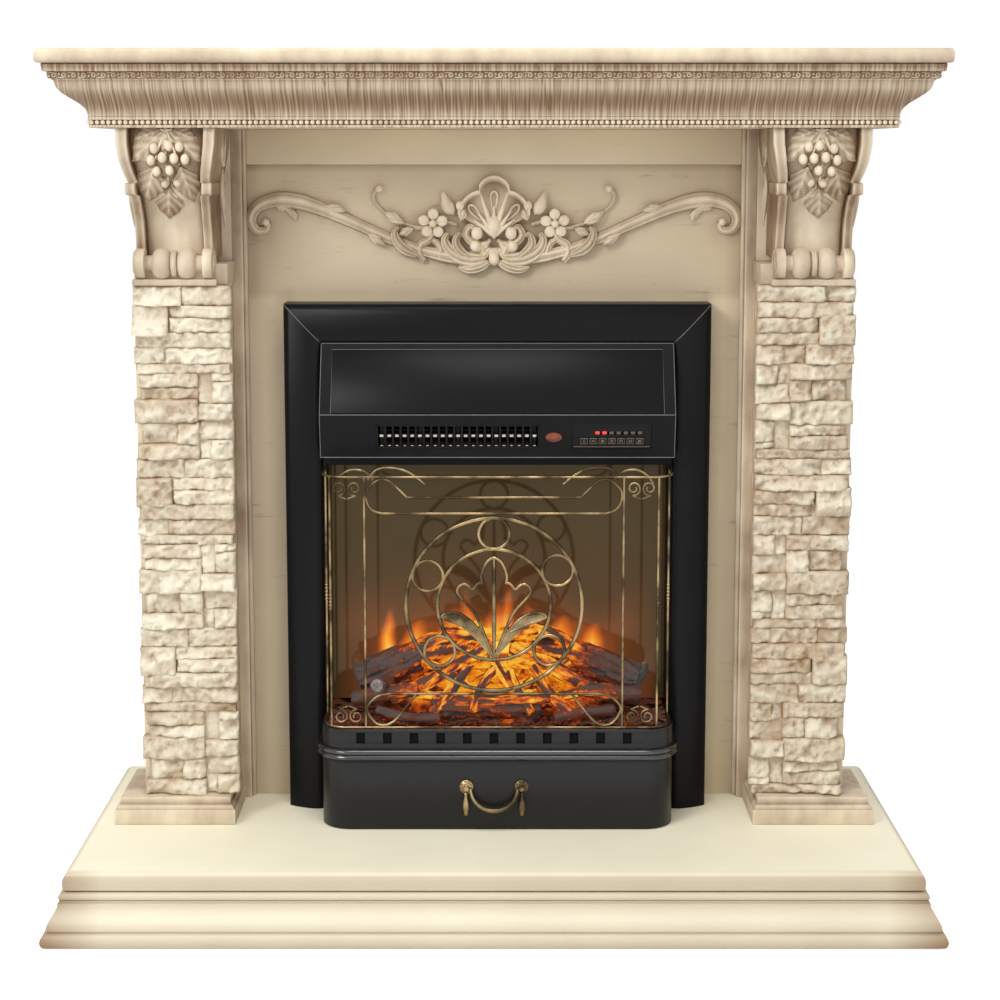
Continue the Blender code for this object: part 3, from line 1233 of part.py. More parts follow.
def build_drawer():
    """Ash drawer: rounded front that carries the handle, with its tray on the runners."""
    half = CHASSIS_HALF
    path = [(x + FIRE_X, forward) for x, forward in
            bay_path(half, BAY_FORWARD, BAY_RADIUS, CHASSIS_FRONT + 2 * GAP)]
    low, high = FLOOR + GAP, FLOOR + FENDER_FOOT - 2 * GAP
    section = [(-SHEET, low), (-0.6 * MM, low), (0, low + 1 * MM), (0, high - 1 * MM),
               (-0.6 * MM, high), (-SHEET, high)]
    front = sweep("ashpan_drawer", path, section, "black_steel")
    base = CHASSIS_FLOOR + RUNNER_HEIGHT + GAP
    across = (FIRE_X - DRAWER_HALF, FIRE_X + DRAWER_HALF)
    tray = box("tray", across, (DRAWER_BACK, BAY_FORWARD - 1 * MM), (base, base + DRAWER_DEPTH),
               "black_steel")
    hollow = box("hollow", (across[0] + SHEET, across[1] - SHEET),
                 (DRAWER_BACK + SHEET, BAY_FORWARD - SHEET), (base + SHEET, 1), "black_steel")
    cut(tray, [hollow])
    fuse(front, [tray])


def build_handle():
    """Two rosettes with their drops, and the bail that swings between them."""
    face = BAY_FORWARD + GAP
    profile = [(0, 7), (3, 6.5), (4, 4), (7.4, 3), (8.5, 0), (0, 0)]
    for name, side in (("handle_rosette_left", -1), ("handle_rosette_right", 1)):
        centre = at(side * HANDLE_HALF, face, HANDLE_HEIGHT)
        rosette = turned(name, [(r * MM, h * MM) for r, h in profile], centre, (0, -1, 0),
                         "antique_brass", 10)
        drop = turned("drop", [(0, 0), (2.6 * MM, -2 * MM), (4.4 * MM, -19 * MM), (2.6 * MM, -27 * MM),
                               (0, -29 * MM)],
                      at(side * (HANDLE_HALF + 0.5 * MM), face + 4.4 * MM, HANDLE_HEIGHT - 5 * MM),
                      (0, 0, 1), "antique_brass", 8)
        post = turned("post", [(0, 11 * MM), (POST_RADIUS, 11 * MM), (POST_RADIUS, 0), (0, 0)],
                      centre, (0, -1, 0), "antique_brass", 8)
        fuse(rosette, [drop, post])
    points = [at(x, face + BAIL_FORWARD, height) for x, height in bail_points()]
    tube("bail_handle", points, BAIL_WIRE, "antique_brass")


def bail_points():
    """The bail's curve: a deep bow whose ends lie against the inner sides of the posts."""
    points = []
    half = HANDLE_HALF - POST_RADIUS - BAIL_WIRE - GAP
    steps = 10
    for i in range(steps + 1):
        angle = math.pi * i / steps
        points.append((-half * math.cos(angle), HANDLE_HEIGHT - BAIL_DROP * math.sin(angle)))
    return points


# Wire guard

def front_wire(name, outline, radius, cyclic=False, sides=0):
    """A wire in the guard's front plane along (x, height) points."""
    points = [at(x, GUARD_FORWARD, height) for x, height in outline]
    return tube(name, points, radius, "antique_brass", cyclic, sides)


def build_guard():
    """Bowed wire fret: two rails, uprights, the long loop above and teardrops below."""
    half = CHASSIS_HALF - GUARD_INSET
    foot = GUARD_FOOT
    plan = bay_path(half, GUARD_FORWARD, BAY_RADIUS - GUARD_INSET, CHASSIS_FRONT + GAP + WIRE, 3)

    def rail(height):
        points = [at(x + FIRE_X, forward, height) for x, forward in plan]
        return tube("wire_guard", points, WIRE, "antique_brass", sides=0)

    guard = rail(foot)
    pieces = [rail(GUARD_TOP)]
    bow = BAY_RADIUS - GUARD_INSET
    for side in (-1, 1):
        pieces.append(front_wire("upright", [(side * UPRIGHTS[0], foot), (side * UPRIGHTS[0], GUARD_TOP)],
                                 WIRE))
        corner = side * UPRIGHTS[1]
        from_centre = side * (corner - FIRE_X) - (half - bow)
        forward = GUARD_FORWARD - bow + math.sqrt(max(bow ** 2 - from_centre ** 2, 0))
        pieces.append(tube("upright", [at(corner, forward, foot), at(corner, forward, GUARD_TOP)],
                           WIRE, "antique_brass", sides=0))
        edge = FIRE_X + side * half
        pieces.append(tube("upright", [at(edge, 66 * MM, foot), at(edge, 66 * MM, GUARD_TOP)], WIRE,
                           "antique_brass", sides=0))
        pieces += corner_scrolls(side, foot)
    pieces += [long_loop()] + foot_loops()
    fuse(guard, pieces)


def corner_scrolls(side, foot):
    """Pairs of small rings in the narrow bays beside the front, above and below."""
    rings = []
    span = (UPRIGHTS[1] - UPRIGHTS[0]) / 2
    radius = span / 2 - 0.2 * MM
    for centre_height in (GUARD_TOP - radius - 2 * WIRE + 0.8 * MM, foot + radius + 2 * WIRE - 0.8 * MM):
        centre = side * (UPRIGHTS[0] + radius + 1.3 * MM)
        outline = arc((centre, centre_height), radius, 0, 315, 7)
        rings.append(front_wire("scroll", outline, 1.2 * MM, cyclic=True))
    return rings


def long_loop():
    """The flattened loop under the top rail, nipped where it turns up at both ends."""
    end = UPRIGHTS[0] - 2 * WIRE + 0.6 * MM
    crown = GUARD_TOP - 2 * WIRE + 0.6 * MM
    half = [(99 * MM, LOOP_HIGH), (108 * MM, LOOP_HIGH + 9 * MM), (118 * MM, crown - 3 * MM),
            (128 * MM, crown), (138 * MM, crown - 5 * MM), (end, crown - 15 * MM),
            (end - 1 * MM, LOOP_LOW + 13 * MM), (end - 7 * MM, LOOP_LOW + 4 * MM), (128 * MM, LOOP_LOW)]
    outline = half + [(-x, z) for x, z in reversed(half)]
    return front_wire("loop", outline, WIRE, cyclic=True)


def foot_loops():
    """The line above the bed with a teardrop at each end."""
    pieces = [front_wire("line", [(-121 * MM, FOOT_LINE), (121 * MM, FOOT_LINE)], WIRE)]
    end = UPRIGHTS[0] - 2 * WIRE + 0.6 * MM
    drop = [(119 * MM, FOOT_LINE), (134 * MM, FOOT_LINE - 3 * MM), (end, FOOT_LINE - 14 * MM),
            (end - 1 * MM, FOOT_LINE - 24 * MM), (136 * MM, FOOT_DIP + 3 * MM),
            (125 * MM, FOOT_DIP + 1 * MM), (114 * MM, FOOT_DIP + 7 * MM), (101 * MM, FOOT_LINE - 15 * MM),
            (90 * MM, FOOT_LINE - 0.5 * MM)]
    for side in (-1, 1):
        pieces.append(front_wire("teardrop", [(side * x, z) for x, z in drop], WIRE))
    return pieces


# The tulip inside the medallion, from its foot, in mm; each wire is mirrored where it isn't central
TULIP_WIRES = (
    (((-13.5, 89.5), (-14.5, 100), (-9, 114), (0, 120), (9, 114), (14.5, 100), (13.5, 89.5)), False),
    (((-13.5, 90.5), (-18.7, 89.7), (-24.6, 83.2), (-30, 88), (-36, 89.2), (-42, 83.8), (-40, 76),
      (-25, 59), (-17.6, 46), (-1, 4)), True),
    (((-19, 33), (-38, 41.7), (-60.5, 51), (-45.6, 56), (-29.5, 48), (-18, 36)), True),
)


def build_medallion():
    """Ring medallion: five small rings between two large ones, with a tulip in the middle."""
    radius = (LOOP_LOW - FOOT_LINE) / 2 - WIRE - RING_WIRE - GAP
    centre = (0, (LOOP_LOW + FOOT_LINE) / 2)
    medallion = front_wire("guard_medallion", arc(centre, radius, 0, 345, 23), RING_WIRE, True)
    pieces = [front_wire("ring", arc(centre, INNER_RING, 0, 342, 19), RING_WIRE, True)]
    small = (radius - INNER_RING) / 2 - 0.4 * MM
    for angle in SMALL_RING_ANGLES:
        way = math.radians(angle)
        reach = (radius + INNER_RING) / 2
        spot = (centre[0] + reach * math.cos(way), centre[1] + reach * math.sin(way))
        pieces.append(front_wire("ring", arc(spot, small, angle, angle + 315, 7), WIRE, True))
    foot = centre[1] - INNER_RING
    stem = [(0, foot), (0, foot + 120.5 * MM)]
    pieces.append(front_wire("stem", stem, 2.2 * MM))
    for points, paired in TULIP_WIRES:
        for side in ((1, -1) if paired else (1,)):
            outline = [(side * x * MM, foot + z * MM) for x, z in points]
            pieces.append(front_wire("petal", outline, 1.4 * MM))
    fuse(medallion, pieces)


def build_gland():
    """Cable entry on the back of the chassis."""
    profile = [(0, 8.5), (5, 8.5), (6, 5), (9, 5), (9, 0), (0, 0)]
    turned("cable_gland", [(r * MM, h * MM) for r, h in profile],
           at(FIRE_X + 150 * MM, -CHASSIS_REAR - GAP, FLOOR + 40 * MM), (0, 1, 0), "black_plastic", 12)


def smooth_round_pieces():
    """Smooth shading on what is turned, drawn or carved, with the folds kept sharp."""
    for item in PARTS.objects:
        item.data.shade_smooth()
        item.data.set_sharp_from_angle(angle=math.radians(35))


clear_scene()
PARTS = new_collection("Electric fireplace suite")
build_hearth()
build_column_base()
build_pillars()
build_cladding("stone_cladding_left", -PILLAR_HALF, False)
build_cladding("stone_cladding_right", STONE_INNER, True)
build_corbels()
build_grapes()
build_panel()
build_mantel()
build_shell()
build_swags()
build_trim()
build_chassis()
build_hood()
build_outlet()
build_controls()
build_blower()
build_flame_works()
build_fuel_bed()
build_fender()
build_drawer()
build_handle()
build_guard()
build_medallion()
build_gland()
smooth_round_pieces()
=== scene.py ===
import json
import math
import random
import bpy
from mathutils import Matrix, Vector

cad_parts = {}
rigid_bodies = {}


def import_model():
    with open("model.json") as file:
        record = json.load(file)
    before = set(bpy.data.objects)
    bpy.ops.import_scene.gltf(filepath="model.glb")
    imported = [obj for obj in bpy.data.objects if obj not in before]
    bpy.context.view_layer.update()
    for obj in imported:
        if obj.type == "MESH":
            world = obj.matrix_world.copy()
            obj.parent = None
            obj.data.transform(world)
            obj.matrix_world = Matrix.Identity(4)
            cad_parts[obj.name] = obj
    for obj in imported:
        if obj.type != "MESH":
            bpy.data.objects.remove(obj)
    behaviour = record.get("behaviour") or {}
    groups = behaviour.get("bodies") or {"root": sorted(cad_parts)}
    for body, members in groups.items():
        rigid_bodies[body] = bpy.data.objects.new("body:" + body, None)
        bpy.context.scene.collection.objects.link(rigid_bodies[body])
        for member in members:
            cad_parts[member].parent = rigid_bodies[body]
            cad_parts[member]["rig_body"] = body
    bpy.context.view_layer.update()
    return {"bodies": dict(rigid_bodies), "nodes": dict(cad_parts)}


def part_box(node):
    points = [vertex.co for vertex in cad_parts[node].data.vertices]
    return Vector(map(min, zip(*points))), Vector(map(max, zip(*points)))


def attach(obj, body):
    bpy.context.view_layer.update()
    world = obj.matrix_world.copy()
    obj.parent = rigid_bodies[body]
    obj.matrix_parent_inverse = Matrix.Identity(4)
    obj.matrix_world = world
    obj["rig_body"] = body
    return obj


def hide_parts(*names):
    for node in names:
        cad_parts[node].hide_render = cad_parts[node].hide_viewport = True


bl_info = {
    "name": "Electric fireplace suite",
    "version": (1, 0, 0),
    "blender": (4, 5, 0),
    "location": "3D View > Sidebar > Fireplace",
    "description": "Carved surround, ledgestone pillars and the electric fire between them",
    "category": "Object",
}

import bpy
import bmesh
from bpy.props import FloatProperty, FloatVectorProperty, IntProperty, PointerProperty
from mathutils import Matrix, Vector, noise

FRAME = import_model()

MM = 0.001
SUITE = next(name for name, item in FRAME["bodies"].items()
             if FRAME["nodes"]["hearth_base"].parent is item)
PANEL_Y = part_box("back_panel")[0].y


def body_of(node):
    """The body that a solid rides on."""
    return FRAME["nodes"][node]["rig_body"]


def in_mm(*numbers):
    """Numbers written in mm, in metres."""
    return tuple(number * MM for number in numbers)


def heading(degrees):
    """A unit step at an angle, across and up."""
    return Vector((math.cos(math.radians(degrees)), math.sin(math.radians(degrees))))


def tint(red, green, blue):
    """A colour mixed in 0 to 255 steps, as the linear values a shader takes."""
    return tuple(((c / 255 + 0.055) / 1.055) ** 2.4 for c in (red, green, blue))


# Sizes and colours a user can change

class SurroundSettings(bpy.types.PropertyGroup):
    cream: FloatVectorProperty(
        name="Cream paint", description="Top coat of the carved woodwork",
        subtype="COLOR", default=tint(236, 221, 194), min=0, max=1)
    glaze: FloatVectorProperty(
        name="Antique glaze", description="Brown glaze left in the hollows",
        subtype="COLOR", default=tint(128, 98, 70), min=0, max=1)
    hearth: FloatVectorProperty(
        name="Hearth paint", description="Top coat of the hearth",
        subtype="COLOR", default=tint(246, 240, 214), min=0, max=1)
    panel: FloatVectorProperty(
        name="Panel paint", description="Aged paint of the back panel",
        subtype="COLOR", default=tint(226, 210, 178), min=0, max=1)
    stone: FloatVectorProperty(
        name="Cast stone", description="Colour of the ledgestone's faces",
        subtype="COLOR", default=tint(255, 246, 222), min=0, max=1)
    stone_grain: FloatProperty(
        name="Stone grain", description="Spacing of the points over a stone's face",
        subtype="DISTANCE", unit="LENGTH", default=2.2 * MM, min=1 * MM, max=8 * MM)
    bead_pitch: FloatProperty(
        name="Bead pitch", description="Spacing of the pearls along the cornice",
        subtype="DISTANCE", unit="LENGTH", default=6.2 * MM, min=5 * MM, max=20 * MM)
    band_pitch: FloatProperty(
        name="Scroll pitch", description="Spacing of the carved scrolls under the shelf",
        subtype="DISTANCE", unit="LENGTH", default=10.6 * MM, min=8 * MM, max=30 * MM)


class FireSettings(bpy.types.PropertyGroup):
    steel: FloatVectorProperty(
        name="Casing steel", description="Powder coat of the fire's casing",
        subtype="COLOR", default=tint(22, 21, 22), min=0, max=1)
    brass: FloatVectorProperty(
        name="Aged brass", description="Wire guard and drawer handle",
        subtype="COLOR", default=tint(162, 140, 102), min=0, max=1)
    screen: FloatVectorProperty(
        name="Smoked screen", description="Tint of the screen that shows the flames",
        subtype="COLOR", default=tint(46, 36, 19), min=0, max=1)
    glow: FloatProperty(
        name="Ember glow", description="Strength of the light in the fuel bed",
        default=0.74, min=0, max=20)
    flames: FloatProperty(
        name="Flame glow", description="Strength of the flames on the screen",
        default=1.0, min=0, max=20)
    ember_count: IntProperty(
        name="Embers", description="Number of loose embers between the logs",
        default=170, min=0, max=600)


class StageSettings(bpy.types.PropertyGroup):
    key_power: FloatProperty(
        name="Key light", description="Power of the large lamp at the upper left",
        subtype="POWER", unit="POWER", default=50.0, min=0, max=1000)
    fill_power: FloatProperty(
        name="Fill light", description="Power of the soft lamp at the right",
        subtype="POWER", unit="POWER", default=9.0, min=0, max=1000)
    air: FloatProperty(
        name="Room light", description="Strength of the even light from the room",
        default=0.5, min=0, max=5)
    top_power: FloatProperty(
        name="Top light", description="Power of the lamp over the hearth",
        subtype="POWER", unit="POWER", default=26.0, min=0, max=1000)


# Finishes

class Finish:
    """A finish's node tree, with short ways to add to it."""

    def __init__(self, name, colour, roughness=0.5, metallic=0.0):
        self.material = bpy.data.materials.new(name)
        self.material.use_nodes = True
        self.tree = self.material.node_tree
        self.shader = self.tree.nodes["Principled BSDF"]
        self.shader.inputs["Base Color"].default_value = (*colour, 1.0)
        self.shader.inputs["Roughness"].default_value = roughness
        self.shader.inputs["Metallic"].default_value = metallic
        self.material.diffuse_color = (*colour, 1.0)

    def set(self, socket, value):
        if isinstance(value, bpy.types.NodeSocket):
            self.tree.links.new(value, socket)
        elif isinstance(value, tuple) and len(value) == 3 and socket.type == "RGBA":
            socket.default_value = (*value, 1.0)
        else:
            socket.default_value = value

    def place(self, stretch=(1, 1, 1)):
        """The point's own place on the object, in metres, stretched by axis."""
        where = self.tree.nodes.new("ShaderNodeTexCoord")
        mapping = self.tree.nodes.new("ShaderNodeMapping")
        mapping.inputs["Scale"].default_value = stretch
        self.tree.links.new(where.outputs["Object"], mapping.inputs["Vector"])
        return mapping.outputs["Vector"]

    def grain(self, scale, detail=3.0, stretch=(1, 1, 1), vector=None, rough=0.5):
        node = self.tree.nodes.new("ShaderNodeTexNoise")
        node.inputs["Scale"].default_value = scale
        node.inputs["Detail"].default_value = detail
        node.inputs["Roughness"].default_value = rough
        self.tree.links.new(vector or self.place(stretch), node.inputs["Vector"])
        return node.outputs["Fac"]

    def value(self, name):
        """A value stored on the piece's points."""
        node = self.tree.nodes.new("ShaderNodeAttribute")
        node.attribute_name = name
        return node.outputs["Fac"]

    def calc(self, operation, first, second=0.0, third=0.0, clamp=False):
        node = self.tree.nodes.new("ShaderNodeMath")
        node.operation = operation
        node.use_clamp = clamp
        self.set(node.inputs[0], first)
        self.set(node.inputs[1], second)
        self.set(node.inputs[2], third)
        return node.outputs[0]

    def between(self, source, low, high, to_low=0.0, to_high=1.0):
        node = self.tree.nodes.new("ShaderNodeMapRange")
        for socket, value in zip(node.inputs, (source, low, high, to_low, to_high)):
            self.set(socket, value)
        return node.outputs[0]

    def mix(self, share, first, second, mode="MIX"):
        node = self.tree.nodes.new("ShaderNodeMix")
        node.data_type = "RGBA"
        node.blend_type = mode
        self.set(node.inputs[0], share)
        self.set(node.inputs[6], first)
        self.set(node.inputs[7], second)
        return node.outputs[2]

    def ramp(self, share, stops):
        node = self.tree.nodes.new("ShaderNodeValToRGB")
        places = node.color_ramp.elements
        while len(places) < len(stops):
            places.new(0.5)
        for place, (where, colour) in zip(places, stops):
            place.position = where
            place.color = (*colour, 1.0)
        self.set(node.inputs[0], share)
        return node.outputs[0]

    def vector(self, x, y, z):
        node = self.tree.nodes.new("ShaderNodeCombineXYZ")
        for socket, value in zip(node.inputs, (x, y, z)):
            self.set(socket, value)
        return node.outputs[0]

    def part(self, source, axis):
        node = self.tree.nodes.new("ShaderNodeSeparateXYZ")
        self.set(node.inputs[0], source)
        return node.outputs[axis]

    def bump(self, height, distance, strength=1.0):
        node = self.tree.nodes.new("ShaderNodeBump")
        node.inputs["Distance"].default_value = distance
        node.inputs["Strength"].default_value = strength
        self.set(node.inputs["Height"], height)
        self.set(self.shader.inputs["Normal"], node.outputs["Normal"])

    def colour(self, source):
        self.set(self.shader.inputs["Base Color"], source)


def finish(name):
    """The named finish, mixed when it is first asked for."""
    if name not in bpy.data.materials:
        MIXES[name](name)
    return bpy.data.materials[name]


def glazed_paint(name, paint, glaze, patch=0.32, roughness=0.55):
    """Cream top coat with brown glaze in the hollows and softly rubbed patches; on some pieces the glaze
    value also holds painted shade.
    """
    mix = Finish(name, paint, roughness)
    cloud = mix.between(mix.grain(9, 4), 0.35, 0.75, -0.5 * patch, patch)
    streak = mix.between(mix.grain(60, 5, (1, 1, 0.35)), 0.4, 0.8, 0.0, 0.25)
    worn = mix.calc("ADD", mix.value("glaze"), mix.calc("ADD", cloud, streak), clamp=True)
    mix.colour(mix.mix(worn, paint, glaze))
    mix.bump(mix.grain(420, 3), 0.12 * MM)
    return mix


def mix_cream(name):
    surround = bpy.context.scene.surround
    glazed_paint(name, tuple(surround.cream), tuple(surround.glaze))


def mix_hearth(name):
    """Pale top coat, with glaze in the quirks and out towards both ends."""
    surround = bpy.context.scene.surround
    paint = tuple(surround.hearth)
    mix = Finish(name, paint, 0.5)
    glaze = mix.value("glaze")
    ends = mix.between(mix.calc("ABSOLUTE", mix.part(mix.place(), 0)), 0.43, 0.5, 0.0, 0.55)
    ends = mix.calc("MULTIPLY", ends, mix.between(glaze, 0.06, 0.2))
    cloud = mix.between(mix.grain(7, 3), 0.3, 0.8, -0.04, 0.07)
    worn = mix.calc("ADD", mix.calc("ADD", glaze, ends), cloud, clamp=True)
    mix.colour(mix.mix(worn, paint, tint(150, 120, 88)))
    mix.bump(mix.grain(60, 4, (0.3, 1, 1)), 0.25 * MM)


def mix_panel(name):
    surround = bpy.context.scene.surround
    paint, glaze = tuple(surround.panel), tuple(surround.glaze)
    mix = Finish(name, paint, 0.6)
    cloud = mix.between(mix.grain(5, 5), 0.35, 0.8, -0.06, 0.2)
    scratch = mix.grain(24, 6, (0.5, 1, 3.5), rough=0.75)
    lines = mix.between(scratch, 0.6, 0.72, 0.0, 0.4)
    worn = mix.calc("ADD", mix.value("glaze"), mix.calc("ADD", cloud, lines), clamp=True)
    mix.colour(mix.mix(worn, paint, glaze))
    mix.bump(mix.grain(240, 4, (1, 1, 0.3)), 0.15 * MM)


def mix_brushed(name):
    """Glazed paint combed down the cornice with a dry brush."""
    surround = bpy.context.scene.surround
    paint, glaze = tuple(surround.cream), tuple(surround.glaze)
    mix = Finish(name, paint, 0.6)
    height = mix.part(mix.place(), 2)
    along = mix.value("run")
    comb = mix.grain(1.0, 2, vector=mix.vector(mix.calc("MULTIPLY", along, 400.0),
                                              mix.calc("MULTIPLY", height, 12.0), 0.0))
    broad = mix.grain(1.0, 1, vector=mix.vector(mix.calc("MULTIPLY", along, 26.0),
                                               mix.calc("MULTIPLY", height, 2.0), 3.0))
    split = mix.between(mix.calc("ABSOLUTE", mix.calc("SUBTRACT", broad, 0.5)), 0.0, 0.008, 0.3, 0.0)
    split = mix.calc("MULTIPLY", split, mix.between(comb, 0.4, 0.5, 0.2, 1.0))
    lines = mix.between(comb, 0.38, 0.62, -0.06, 0.34)
    worn = mix.calc("ADD", mix.value("glaze"), mix.calc("ADD", lines, split), clamp=True)
    mix.colour(mix.mix(worn, paint, glaze))
    mix.bump(comb, 0.5 * MM)


def mix_stone(name):
    surround = bpy.context.scene.surround
    mix = Finish(name, tuple(surround.stone), 0.85)
    cloud = mix.between(mix.grain(34, 5), 0.42, 0.75, -0.15, 0.26)
    worn = mix.calc("ADD", mix.value("glaze"), cloud, clamp=True)
    mix.colour(mix.mix(worn, tuple(surround.stone), tint(184, 150, 112)))
    mix.bump(mix.grain(105, 9, rough=0.8), 3.6 * MM)


def casing(roughness, gloss):
    """Black powder coat with its own sheen."""
    def mix_casing(name):
        mix = Finish(name, tuple(bpy.context.scene.fire.steel), roughness)
        mix.shader.inputs["Specular IOR Level"].default_value = gloss
        mix.bump(mix.grain(1600, 2), 0.03 * MM)
    return mix_casing


def mix_brass(name):
    brass = tuple(bpy.context.scene.fire.brass)
    mix = Finish(name, brass, 0.34, 1.0)
    patina = mix.between(mix.grain(28, 4), 0.38, 0.6, 0.0, 1.0)
    mix.colour(mix.mix(patina, brass, tint(72, 61, 46)))
    mix.set(mix.shader.inputs["Roughness"], mix.between(patina, 0.0, 1.0, 0.28, 0.5))


def mix_screen(name):
    """Smoked mirror screen, lit from behind by low flames."""
    fire = bpy.context.scene.fire
    smoke = tuple(fire.screen)
    mix = Finish(name, tint(34, 27, 17), 0.06)
    mix.shader.inputs["Specular IOR Level"].default_value = 0.3
    mix.shader.inputs["Specular Tint"].default_value = (1.0, 0.8, 0.5, 1.0)
    cloud = mix.between(mix.grain(7, 3), 0.3, 0.7, 0.8, 1.25)
    # Painted shade: the screen darker towards its top, where the hood shades it
    height = mix.part(mix.place(), 2)
    cloud = mix.calc("MULTIPLY", cloud, mix.between(height, 0.46, 0.5, 1.0, 0.3))
    smoke = mix.mix(1.0, smoke, mix.vector(cloud, cloud, cloud), "MULTIPLY")
    lit = mix.ramp(mix.value("ember_heat"), (
        (0.0, (0, 0, 0)), (0.25, tint(96, 40, 16)), (0.5, tint(200, 92, 26)), (0.8, tint(248, 160, 48)),
        (1.0, tint(255, 206, 92))))
    mix.set(mix.shader.inputs["Emission Color"], mix.mix(1.0, smoke, lit, "ADD"))
    mix.shader.inputs["Emission Strength"].default_value = fire.flames


def mix_fuel(name):
    """Charred bark that glows from its cracks where the heat is."""
    fire = bpy.context.scene.fire
    mix = Finish(name, tint(64, 48, 42), 0.6)
    mix.shader.inputs["Specular IOR Level"].default_value = 0.25
    crack = mix.grain(150, 5, rough=0.65)
    hot = mix.calc("ADD", mix.value("ember_heat"), mix.between(crack, 0.35, 0.65, -0.14, 0.14), clamp=True)
    mix.colour(mix.ramp(hot, ((0.0, tint(72, 64, 62)), (0.16, tint(84, 62, 52)), (0.3, tint(74, 40, 28)),
                              (0.55, tint(90, 40, 18)), (1.0, tint(130, 76, 30)))))
    lit = mix.ramp(hot, ((0.0, (0, 0, 0)), (0.3, tint(70, 22, 6)), (0.5, tint(196, 76, 14)),
                         (0.72, tint(244, 140, 20)), (1.0, tint(255, 204, 60))))
    mix.set(mix.shader.inputs["Emission Color"], lit)
    mix.shader.inputs["Emission Strength"].default_value = fire.glow
    mix.bump(crack, 0.8 * MM)


def mix_sawn(name):
    """Ashy end grain of a log."""
    mix = Finish(name, tint(120, 112, 106), 0.85)
    ash = ((0.3, tint(70, 62, 58)), (0.7, tint(160, 150, 140)))
    mix.colour(mix.ramp(mix.grain(220, 5, rough=0.7), ash))


# Colours darker than this have less gloss
DARK = 0.06


def plain(colour, roughness, metallic=0.0, grain=900, depth=0.05):
    """A finish of one colour with a fine grain."""
    def mix_plain(name):
        mix = Finish(name, colour, roughness, metallic)
        if max(colour) < DARK:
            mix.shader.inputs["Specular IOR Level"].default_value = 0.15
        mix.bump(mix.grain(grain, 2), depth * MM)
    return mix_plain


def lit_lens(colour, strength):
    """A moulded lens that glows a little."""
    def mix_lens(name):
        mix = Finish(name, colour, 0.25)
        mix.shader.inputs["Emission Color"].default_value = (*colour, 1.0)
        mix.shader.inputs["Emission Strength"].default_value = strength
        mix.bump(mix.grain(1200, 1), 0.02 * MM)
    return mix_lens


MIXES = {
    "antique_cream": mix_cream,
    "hearth_cream": mix_hearth,
    "aged_panel": mix_panel,
    "brushed_cornice": mix_brushed,
    "ledgestone": mix_stone,
    "black_casing": casing(0.3, 0.09),
    "satin_black": casing(0.34, 0.3),
    "polished_black": casing(0.2, 0.9),
    "aged_brass": mix_brass,
    "smoked_mirror": mix_screen,
    "glowing_fuel": mix_fuel,
    "sawn_end": mix_sawn,
    "dark_inside": plain(tint(14, 13, 13), 0.6),
    # Near-black of the sheet behind the fender's slots: painted shade
    "black_shade": plain(tint(5, 4, 4), 0.8),
    "moulded_black": plain(tint(17, 16, 16), 0.4),
    "dark_key": plain(tint(36, 32, 29), 0.45),
    "key_mark": plain(tint(132, 122, 106), 0.5),
    "dim_tin": plain(tint(72, 68, 64), 0.5, 0.6),
    "board_green": plain(tint(40, 92, 58), 0.5),
    "mica_sheet": plain(tint(26, 23, 21), 0.6),
    "bright_tab": plain(tint(206, 198, 184), 0.5),
    # Light colour of thin tubes along the hood's bends and the trim's mitres: painted highlights
    "edge_highlight": plain(tint(112, 106, 102), 0.4),
    "crinkled_foil": plain(tint(205, 206, 210), 0.22, 1.0),
    "frosted_glass": plain(tint(236, 230, 212), 0.15),
    "warm_lens": lit_lens(tint(120, 54, 26), 0.05),
    "red_lamp": lit_lens(tint(226, 56, 50), 0.6),
    "dull_lamp": plain(tint(92, 70, 60), 0.4),
}


# Shapes

def at(x, forward, height):
    """A point from its place across, in front of the panel and above the floor."""
    return Vector((x, PANEL_Y - forward, height))


class Shape:
    """Points and faces of a piece while it is formed, with a glaze or heat value per point."""

    def __init__(self):
        self.points, self.faces, self.values, self.runs = [], [], [], []

    def add(self, point, value=0.0):
        self.points.append(tuple(point))
        self.values.append(value)
        self.runs.append(0.0)
        return len(self.points) - 1

    def skin(self, rings, values=0.0, round_way=True, closed=False, caps=True):
        """Join a run of rings; values is one number, one per ring point, or rows of them."""
        rows = []
        for r, ring in enumerate(rings):
            row = []
            for i, point in enumerate(ring):
                value = values
                if not isinstance(values, (int, float)):
                    value = values[r][i] if isinstance(values[0], (list, tuple)) else values[i]
                row.append(self.add(point, value))
            rows.append(row)
        count = len(rings[0])
        pairs = list(zip(rows, rows[1:]))
        if closed:
            pairs.append((rows[-1], rows[0]))
        for row, after in pairs:
            for i in range(count if round_way else count - 1):
                j = (i + 1) % count
                self.faces.append((row[i], row[j], after[j], after[i]))
        if caps and round_way and not closed:
            self.faces.append(tuple(reversed(rows[0])))
            self.faces.append(tuple(rows[-1]))
        return rows

    def made(self, name, finish_name, slot, nodes=(), sharp=38, value_name="glaze", body=SUITE):
        """Close the shape off as a piece that rides on a body, in place of the solids of some nodes."""
        mesh = bpy.data.meshes.new(name)
        mesh.from_pydata(self.points, [], self.faces)
        for label, values in ((value_name, self.values), ("run", self.runs)):
            layer = mesh.attributes.new(label, "FLOAT", "POINT")
            layer.data.foreach_set("value", values)
        mesh.materials.append(finish(finish_name))
        bm = bmesh.new()
        bm.from_mesh(mesh)
        bmesh.ops.recalc_face_normals(bm, faces=bm.faces)
        bm.to_mesh(mesh)
        bm.free()
        mesh.shade_smooth()
        mesh.set_sharp_from_angle(angle=math.radians(sharp))
        item = bpy.data.objects.new(name, mesh)
        bpy.context.scene.collection.objects.link(item)
        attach(item, body)
        if nodes:
            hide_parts(*nodes)
        return item


